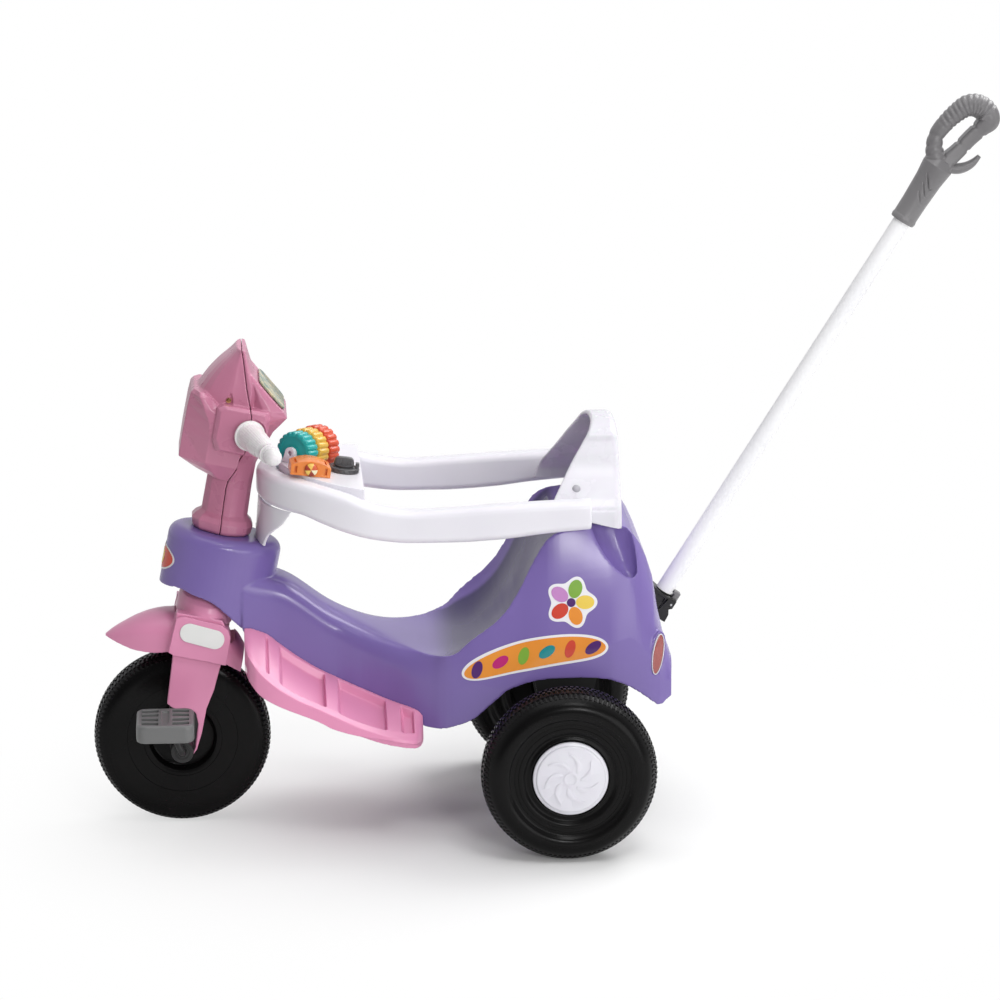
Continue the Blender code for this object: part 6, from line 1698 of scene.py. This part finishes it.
def cap_relief(side):
    """The raised pattern on a cap: curved petals round a small ring."""
    forms = []
    for turn in around(PETALS):
        left, right = [], []
        for i in range(11):
            share = i / 10
            reach = 0.0125 + 0.0215 * share
            lean = turn + 0.75 * share ** 1.5
            width = 0.0030 * math.sin(math.pi * (0.12 + 0.82 * share)) + 0.0004
            for row, sign in ((left, -1), (right, 1)):
                angle = lean + sign * width / reach
                row.append((reach * math.cos(angle), reach * math.sin(angle)))
        forms.append(prism(left + right[::-1], *span(side, 0.0300, 0.0319), "Y"))
    ring = ((0.0062, 0.0300), (0.0092, 0.0300), (0.0092, 0.0319), (0.0062, 0.0319))
    forms.append(turned([(r, side * y) for r, y in ring], 48, "Y"))
    return gathered(forms)


cap_white = plastic("cap white plastic", (0.70, 0.69, 0.74), (0.64, 0.63, 0.69), gloss=0.28, glow=0.08)
for side, word in SIDES:
    place = ON_FRAME @ Matrix.Translation((REAR_AXLE[0], side * REAR_TRACK / 2, REAR_AXLE[1]))
    form = turned([(r, side * y) for r, y in REAR_PROFILE], 120, "Y")
    wheel = solid(form, add=[tread(tread_rows(REAR_RADIUS), TREAD_TEETH)])
    dressed(wheel, f"rear_wheel_tyre_{word}", tyre_black, place, f"rear_wheel_{word}", "tyre",
        f"rear_wheel_{word}", crease=40)
    cap = solid(turned([(r, side * y) for r, y in HUBCAP_FACE], 96, "Y"), add=[cap_relief(side)])
    bevelled(cap, 0.0005, 2)
    dressed(cap, f"wheel_cap_{word}", cap_white, place, f"rear_wheel_{word}", "white_plastic",
        f"hubcap_{word}", crease=38)

# Push handle foot: a black moulded bracket on the tail. A spigot goes up inside the tube and
# a grey press clip on a steel pin locks it.
TUBE_RADIUS = 0.0111
TUBE_WALL = 0.0015
TUBE_FOOT = Vector((0.6172, 0, 0.2905))
TUBE_TILT = math.radians(31.9)
SPIGOT_LENGTH = 0.075
BRACKET_HALF = 0.017
CLIP_AXIS = (0.0145, -0.009)
CLIP_PIN = 0.003
CLIP_SLOT = 0.013
CLIP_WIDTH = 0.012
HANDLE_IN_FRAME = Matrix.Translation(TUBE_FOOT) @ Matrix.Rotation(TUBE_TILT, 4, "Y")
ON_HANDLE = ON_FRAME @ HANDLE_IN_FRAME
FOOT_IN_HANDLE = HANDLE_IN_FRAME.inverted()
BRACKET_SIDE = (
    (-0.012, -0.002), (0.0185, -0.002), (0.0185, -0.013), (0.010, -0.020), (0.002, -0.026),
    (-0.012, -0.020),
)
BRACKET_FOOT = (
    (0.597, 0.306), (0.6105, 0.293), (0.622, 0.283), (0.6215, 0.262), (0.6165, 0.2525), (0.602, 0.262),
)
BRACKET_RECESSES = (
    ((-0.0085, -0.0055), (0.0035, -0.0055), (0.0035, -0.0120), (-0.0010, -0.0165), (-0.0085, -0.0165)),
    ((0.0055, -0.0045), (0.0075, -0.0045), (0.0035, -0.0215), (0.0015, -0.0215)),
)
spigot_radius = TUBE_RADIUS - TUBE_WALL - BORE_PLAY

windows = [
    box((0.0085, -CLIP_SLOT / 2, -0.030), (0.030, CLIP_SLOT / 2, 0.0)),
    rod(CLIP_PIN / 2 + BORE_PLAY, -0.02, 0.02, "Y", (CLIP_AXIS[0], 0, CLIP_AXIS[1])),
    moved(body_loft(-0.0003), FOOT_IN_HANDLE),
]
for side in (-1, 1):
    low, high = span(side, BRACKET_HALF - 0.003, BRACKET_HALF + 0.001)
    windows += [prism(recess, low, high) for recess in BRACKET_RECESSES]
bracket = solid(
    prism(BRACKET_SIDE, -BRACKET_HALF, BRACKET_HALF),
    add=[
        rod(spigot_radius, -0.010, SPIGOT_LENGTH),
        moved(prism(BRACKET_FOOT, -BRACKET_HALF, BRACKET_HALF), FOOT_IN_HANDLE),
    ],
    cut=windows,
)
bracket = moulded(bracket, 0.0005, rounds=2, share=0.35)
dressed(bracket, "tail_bracket", satin_black, ON_HANDLE, "chassis", "black_plastic", "handle_bracket")

clip_side = arc((0, 0), 0.0033, 180, 360, 16)
clip_side += [
    (0.0056, 0.0050), (0.0060, 0.0060), (0.0060, 0.0152), (0.0056, 0.0160), (-0.0012, 0.0165),
    (-0.0042, 0.0155), (-0.0042, 0.0125), (-0.0012, 0.0115), (-0.0018, 0.004),
]
press_grooves = []
for height in (0.0075, 0.0095, 0.0115, 0.0135):
    press_grooves.append(box((0.0054, -0.007, height - 0.0004), (0.0075, 0.007, height + 0.0004)))
clip = solid(prism(clip_side, -CLIP_WIDTH / 2, CLIP_WIDTH / 2),
    cut=press_grooves + [rod(CLIP_PIN / 2 + BORE_PLAY, -0.02, 0.02, "Y")])
bevelled(clip, 0.0004, 2)
handle_grey = plastic("handle grey plastic", (0.205, 0.200, 0.205), (0.165, 0.160, 0.165), gloss=0.34,
    grain=0.10)
clip_place = ON_HANDLE @ Matrix.Translation((CLIP_AXIS[0], 0, CLIP_AXIS[1]))
dressed(clip, "press_clip", handle_grey, clip_place, "release_clip", "grey_plastic", "release_clip",
    crease=35)

# Push tube: a straight steel tube with a white powder coat. It slides over the spigot
# of the bracket and is notched at its foot for the clip.
TUBE_TOP = 0.610
tube_inner = TUBE_RADIUS - TUBE_WALL
tube_profile = (
    (tube_inner, 0), (TUBE_RADIUS - 0.0003, 0), (TUBE_RADIUS, 0.0003), (TUBE_RADIUS, TUBE_TOP - 0.0003),
    (TUBE_RADIUS - 0.0003, TUBE_TOP), (tube_inner, TUBE_TOP),
)
tube_notch = box((0.0070, -CLIP_SLOT / 2, -0.001), (0.0130, CLIP_SLOT / 2, 0.0080))
push_tube = solid(turned(tube_profile, 64), cut=[tube_notch])
powder_white = plastic("white powder coat", (0.88, 0.88, 0.89), (0.84, 0.84, 0.86), gloss=0.30, grain=0.12,
    grain_size=1400.0)
dressed(push_tube, "push_pole", powder_white, ON_HANDLE, "push_handle", "painted_steel", "push_tube",
    crease=40)

# Push grip: one grey moulding pressed on the tube. It is a socket that splits into a ribbed
# front arm and a flat rear arm, joined by a spiral-ribbed arch, with a hook behind for a bag.
SOCKET_LOW = 0.560
SOCKET_BORE_END = TUBE_TOP + 0.0006
LOOP = (
    ((0.9515, 0.836), 0.0135), ((0.9535, 0.8480), 0.0125), ((0.9520, 0.8600), 0.0110),
    ((0.9545, 0.8750), 0.0100), ((0.9665, 0.8910), 0.0112), ((0.9800, 0.9035), 0.0125),
    ((0.9930, 0.9115), 0.0140), ((1.0060, 0.9110), 0.0150), ((1.0160, 0.9035), 0.0150),
    ((1.0185, 0.8930), 0.0140), ((1.0100, 0.8830), 0.0105), ((0.9960, 0.8700), 0.0095),
    ((0.9830, 0.8560), 0.0095), ((0.9700, 0.8440), 0.0105), ((0.9560, 0.8290), 0.0130),
)
HOOK = (
    ((0.9580, 0.8420), 0.0070), ((0.9750, 0.8330), 0.0070), ((0.9880, 0.8330), 0.0065),
    ((1.0000, 0.8385), 0.0050), ((1.0095, 0.8480), 0.0026),
)
SOCKET_PROFILE = (
    (0, SOCKET_LOW), (0.0150, SOCKET_LOW), (0.0158, SOCKET_LOW + 0.0008), (0.0165, SOCKET_LOW + 0.004),
    (0.0162, SOCKET_LOW + 0.007), (0.0157, SOCKET_LOW + 0.008), (0.0160, SOCKET_LOW + 0.030),
    (0.0175, SOCKET_LOW + 0.062), (0.0200, SOCKET_LOW + 0.082), (0.0150, SOCKET_LOW + 0.092),
    (0, SOCKET_LOW + 0.094),
)
ARCH_RIBS = 13
ARCH_START = 3.6
ARCH_END = 8.4
ARM_RIBS = 4
ARM_END = 3.2
RIB_DEPTH = 0.0011


def curve_place(points, t):
    """The place and radius at t along the smooth curve through (place, radius) pairs."""
    i = min(int(t), len(points) - 2)
    s = t - i
    items = (points[max(i - 1, 0)], points[i], points[i + 1], points[min(i + 2, len(points) - 1)])
    weights = (
        -0.5 * s ** 3 + s * s - 0.5 * s, 1.5 * s ** 3 - 2.5 * s * s + 1,
        -1.5 * s ** 3 + 2 * s * s + 0.5 * s, 0.5 * s ** 3 - 0.5 * s * s,
    )
    place = [sum(w * item[0][k] for w, item in zip(weights, items)) for k in (0, 1)]
    return place, sum(w * item[1] for w, item in zip(weights, items))


def ribbed_arm(points, start, end, squash, rings=150, steps=40):
    """Part of the loop as a thick bar whose skin carries the ribs."""
    rows = []
    for n in range(rings + 1):
        t = start + (end - start) * n / rings
        (x, z), radius = curve_place(points, t)
        (ahead_x, ahead_z), _ = curve_place(points, min(t + 0.05, len(points) - 1.001))
        (back_x, back_z), _ = curve_place(points, max(t - 0.05, 0))
        ahead = Vector((ahead_x - back_x, 0, ahead_z - back_z)).normalized()
        across = Vector((0, 1, 0)).cross(ahead)
        row = []
        for angle in around(steps):
            rib = 0.0
            if ARCH_START < t < ARCH_END:
                fade = min(1.0, (t - ARCH_START) / 0.4, (ARCH_END - t) / 0.4)
                phase = 2 * math.pi * ARCH_RIBS * (t - ARCH_START) / (ARCH_END - ARCH_START)
                wave = math.cos(phase - 1.6 * math.sin(angle) + 0.9 * math.cos(angle))
                rib = fade * (0.5 - 0.5 * wave) ** 2
            elif t < ARM_END:
                wave = math.cos(2 * math.pi * ARM_RIBS * t / ARM_END - 2.4 * abs(math.sin(angle)))
                rib = min(1.0, (ARM_END - t) / 0.3) * (0.5 - 0.5 * wave) ** 2
            reach = radius - RIB_DEPTH * rib
            sideways = Vector((0, 1, 0)) * reach * squash * math.sin(angle)
            row.append(Vector((x, 0, z)) + across * reach * math.cos(angle) + sideways)
        rows.append(row)
    return loft(rows)


flat_arm = []
for n in range(61):
    (x, z), radius = curve_place(LOOP, 8.0 + 6.0 * n / 60)
    (ahead_x, ahead_z), _ = curve_place(LOOP, min(8.1 + 6.0 * n / 60, 13.999))
    ahead = Vector((ahead_x - x, 0, ahead_z - z)).normalized()
    across = Vector((0, 1, 0)).cross(ahead)
    notch = 0.0014 if n in (22, 23, 36, 37, 50, 51) else 0.0
    outline = rounded_rectangle(2 * (radius * 0.94 - notch), 2 * radius * 1.12, radius * 0.45, 6)
    flat_arm.append([Vector((x, 0, z)) + across * a + Vector((0, b, 0)) for a, b in outline])
hook_path = []
hook_radii = []
for n in range(33):
    (x, z), radius = curve_place(HOOK, 4.0 * n / 32 if n < 32 else 3.9999)
    hook_path.append((x, 0, z))
    hook_radii.append(radius)
loop_parts = [ribbed_arm(LOOP, 0.0, 9.0, 1.15), loft(flat_arm),
    swept(hook_path, hook_radii, (0, 1, 0), 24, 1.4)]
loop_parts = [moved(part, FOOT_IN_HANDLE) for part in loop_parts]
grooves = []
for height in (0.014, 0.024, 0.034):
    foot = SOCKET_LOW + height
    chevron = ((0.0, foot + 0.016), (0.019, foot + 0.034), (0.019, foot + 0.0368), (0.0, foot + 0.0188))
    for side in (-1, 1):
        low, high = span(side, 0.0148, 0.030)
        for stretch in (1.0, -0.75):
            grooves.append(prism([(x * stretch + 0.004, z) for x, z in chevron], low, high))
push_grip = solid(turned(SOCKET_PROFILE, 64), add=loop_parts,
    cut=grooves + [rod(TUBE_RADIUS + BORE_PLAY, SOCKET_LOW - 0.01, SOCKET_BORE_END)])
push_grip = moulded(push_grip, 0.0006, rounds=1, share=0.4)
dressed(push_grip, "loop_grip", handle_grey, ON_HANDLE, "push_handle", "grey_plastic", "push_grip")

# Rollers: three ridged plastic bands, teal, yellow and red, free on a steel pin between two
# white posts in a well of the tray.
ROLLER_PIN = 0.006
ROLLER_RIDGES = 20
RIDGE_DEPTH = 0.0020
BAND_EDGE = ((0.36, 0.0), (0.42, 0.0003), (0.47, 0.0010), (0.5, 0.0022))
BAND_LEVELS = [(-across, shrink) for across, shrink in reversed(BAND_EDGE)] + list(BAND_EDGE)
BANDS = (
    ("near", ROLLER_RADII[0], (0.020, 0.395, 0.375), (0.012, 0.33, 0.32), "teal_plastic"),
    ("middle", ROLLER_RADII[1], (0.72, 0.46, 0.075), (0.66, 0.38, 0.05), "yellow_plastic"),
    ("far", ROLLER_RADII[2], (0.66, 0.085, 0.030), (0.55, 0.06, 0.022), "red_plastic"),
)
for i, (word, radius, colour, shade, slot) in enumerate(BANDS):
    middle = (i - 1) * (ROLLER_BAND + BAND_GAP)
    rings = []
    for across, shrink in BAND_LEVELS:
        ring = []
        for angle in around(ROLLER_RIDGES * 8):
            ridge = 0.5 + 0.5 * math.cos(ROLLER_RIDGES * angle)
            reach = radius - shrink - RIDGE_DEPTH * ridge ** 3
            ring.append((reach * math.cos(angle), middle + across * ROLLER_BAND, reach * math.sin(angle)))
        rings.append(ring)
    hollows = [rod(ROLLER_PIN / 2 + BORE_PLAY, -0.1, 0.1, "Y")]
    for end in (-1, 1):
        low, high = [middle + y for y in span(end, ROLLER_BAND / 2 - 0.0012, ROLLER_BAND / 2 + 0.001)]
        hollow = ((0.0075, low), (radius - 0.0065, low), (radius - 0.0065, high), (0.0075, high))
        hollows.append(turned(hollow, 64, "Y"))
    band = solid(loft(rings), cut=hollows)
    band_plastic = plastic(f"{word} band plastic", colour, shade, gloss=0.22, grain=0.03)
    dressed(band, f"ridged_band_{word}", band_plastic, ON_FRAME @ ROLLER_PLACE, f"roller_{word}", slot,
        f"roller_band_{word}", crease=35)

for side, word in SIDES:
    low, high = span(side, WELL_HALF - POST_THICKNESS, WELL_HALF)
    post_outline = arc((0, 0), 0.0075, 0, 180, 24)
    foot = [(-0.0085, -0.006), (-0.0105, -ROLLER_CENTRE_Z + 0.002), (-0.0105, -ROLLER_CENTRE_Z + 0.0002)]
    post_outline += foot + [(-x, z) for x, z in reversed(foot)]
    post = solid(prism(post_outline, low, high), cut=[rod(ROLLER_PIN / 2 + BORE_PLAY, -0.1, 0.1, "Y")])
    bevelled(post, 0.0006, 2)
    dressed(post, f"pin_post_{word}", white_plastic, ON_FRAME @ ROLLER_PLACE, "chassis", "white_plastic",
        f"roller_post_{word}", crease=35)

# Sounder: an orange box with an arched top and two slots, screwed up from under the tray.
# Its round button presses in; the dial on it is a plain wheel of coloured fields.
SOUNDER_SIZE = (0.050, 0.034, 0.0165)
BUTTON_RADIUS = 0.0078
BUTTON_PROUD = 0.005
BUTTON_DEPTH = 0.0052
BUTTON_PLACE = (0, -SOUNDER_SIZE[1] / 2, 0.0088)
SOUNDER_TURN = Matrix.Rotation(math.radians(4), 4, "Z")
SOUNDER_PLACE = ON_FRAME @ TRAY_PLACE @ Matrix.Translation((-0.068, -0.066, 0)) @ SOUNDER_TURN

arched = [
    (-SOUNDER_SIZE[0] / 2, 0), (SOUNDER_SIZE[0] / 2, 0), (SOUNDER_SIZE[0] / 2, SOUNDER_SIZE[2] * 0.72),
]
arched += arc((0, SOUNDER_SIZE[2] * 0.72 - 0.0405), 0.0475, 60, 120, 24)
arched += [(-SOUNDER_SIZE[0] / 2, SOUNDER_SIZE[2] * 0.72)]
hollows = []
for place in (-0.0190, 0.0190):
    front_slot = box((place - 0.0016, -0.03, 0.003), (place + 0.0016, 0.004 - SOUNDER_SIZE[1] / 2, 0.0115))
    hollows.append(front_slot)
    hollows.append(box((place - 0.0012, -0.0105, 0.0100), (place + 0.0012, 0.0105, 0.03)))
hollows.append(rod(BUTTON_RADIUS + BORE_PLAY, -0.01, 0.0085, "Y", BUTTON_PLACE))
sounder = solid(prism(arched, -SOUNDER_SIZE[1] / 2, SOUNDER_SIZE[1] / 2), cut=hollows)
bevelled(sounder, 0.0010, 3)
sounder_orange = plastic("sounder orange plastic", (0.78, 0.245, 0.055), (0.70, 0.20, 0.045), gloss=0.26)
dressed(sounder, "sounder_case", sounder_orange, SOUNDER_PLACE, "chassis", "orange_plastic", "sounder_box",
    crease=35)

DIAL_FIELDS = (
    (0.0, (0.80, 0.55, 0.12)), (0.17, (0.30, 0.035, 0.02)), (0.34, (0.82, 0.76, 0.52)),
    (0.50, (0.62, 0.10, 0.03)), (0.67, (0.80, 0.50, 0.10)), (0.84, (0.36, 0.05, 0.03)),
)
dial, tree, shader = new_material("dial print")
where = node(tree, "TexCoord").outputs["Object"]
centre = -(SOUNDER_PLACE @ Vector(BUTTON_PLACE))
shifted = node(tree, "Mapping", {"Location": centre}, {"Vector": where})
apart = node(tree, "SeparateXYZ", wires={"Vector": shifted.outputs["Vector"]})
turn = node(tree, "Math", wires={0: apart.outputs["Z"], 1: apart.outputs["X"]}, operation="ARCTAN2")
wheel_share = node(tree, "MapRange", {"From Min": -math.pi, "From Max": math.pi},
    {"Value": turn.outputs[0]})
fields = node(tree, "ValToRGB", wires={"Fac": wheel_share.outputs["Result"]})
fields.color_ramp.interpolation = "CONSTANT"
fields.color_ramp.elements[1].position = DIAL_FIELDS[1][0]
for i, (position, colour) in enumerate(DIAL_FIELDS):
    field = fields.color_ramp.elements[i] if i < 2 else fields.color_ramp.elements.new(position)
    field.color = (*colour, 1)
wear = node(tree, "TexNoise", {"Scale": 220}, {"Vector": where})
worn(tree, shader, wear.outputs["Fac"], 0.18, 0.34)
tree.links.new(fields.outputs["Color"], shader.inputs["Base Color"])
button_profile = (
    (0, -BUTTON_PROUD), (0.0058, -BUTTON_PROUD), (BUTTON_RADIUS - 0.0012, -BUTTON_PROUD + 0.0003),
    (BUTTON_RADIUS - 0.0004, -BUTTON_PROUD + 0.0011), (BUTTON_RADIUS, -BUTTON_PROUD + 0.0020),
    (BUTTON_RADIUS, BUTTON_DEPTH), (0, BUTTON_DEPTH),
)
button = as_object(turned(button_profile, 64, "Y"))
dressed(button, "push_dial", dial, SOUNDER_PLACE @ Matrix.Translation(BUTTON_PLACE), "dial_button",
    "yellow_plastic", "dial_button", crease=40)

# Key switch: a dark grey plastic base ring with a notched edge and a stop lug, screwed to the
# tray, and a knob with a thumb grip that turns on it.
KEY_RADIUS = 0.0200
KEY_PLACE = ON_FRAME @ TRAY_PLACE @ Matrix.Translation((-0.024, -0.032, 0))
key_grey = plastic("key dark grey plastic", (0.072, 0.070, 0.074), (0.052, 0.050, 0.054), gloss=0.32,
    grain=0.08)
key_profile = (
    (0.0045, 0), (KEY_RADIUS, 0), (KEY_RADIUS, 0.0040), (KEY_RADIUS - 0.0006, 0.0052),
    (KEY_RADIUS - 0.0018, 0.0058), (0.0160, 0.0058), (0.0157, 0.0050), (0.0140, 0.0050), (0.0137, 0.0058),
    (0.0045, 0.0058),
)
notches = []
for step in range(18):
    notch = box((KEY_RADIUS - 0.0009, -0.0009, 0.0012), (KEY_RADIUS + 0.002, 0.0009, 0.0042))
    notches.append(moved(notch, Matrix.Rotation(math.radians(20 * step + 10), 4, "Z")))
key_base = solid(turned(key_profile, 72), add=[box((0.0148, -0.005, 0.001), (0.0192, 0.005, 0.0115))],
    cut=[gathered(notches)])
bevelled(key_base, 0.0004, 2)
dressed(key_base, "key_ring", key_grey, KEY_PLACE, "chassis", "grey_plastic", "key_base", crease=35)

knob_profile = (
    (0, 0.0006), (0.0042, 0.0006), (0.0042, 0.0062), (0.0120, 0.0062), (0.0128, 0.0080), (0.0126, 0.0120),
    (0.0118, 0.0150), (0.0108, 0.0164), (0.0095, 0.0172), (0, 0.0178),
)
grip_cuts = []
for side in (-1, 1):
    grip_cuts.append(box((-0.02, side * 0.0095 - 0.0045, 0.0085), (0.02, side * 0.0095 + 0.0045, 0.03)))
    for step in range(5):
        x = -0.0072 + 0.0036 * step
        low, high = span(side, 0.0042, 0.0060)
        grip_cuts.append(box((x - 0.0005, low, 0.0095), (x + 0.0005, high, 0.03)))
knob = solid(turned(knob_profile, 72), cut=grip_cuts)
bevelled(knob, 0.0005, 2)
dressed(knob, "thumb_knob", key_grey, KEY_PLACE, "key_knob", "grey_plastic", "key_knob", crease=35)

# Small fittings that keep their own form: steel axle, stem, pins and push nuts, the black
# bushes in the steering housing and the bearing blocks in the fork.
for word in ("rear_axle", "steering_stem", "roller_pin", "clip_pin", "push_nut_left", "push_nut_right"):
    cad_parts[word].material_slots[0].material = zinc
for word in ("lower_steering_bush", "upper_steering_bush", "fork_bearing_left", "fork_bearing_right"):
    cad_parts[word].material_slots[0].material = satin_black
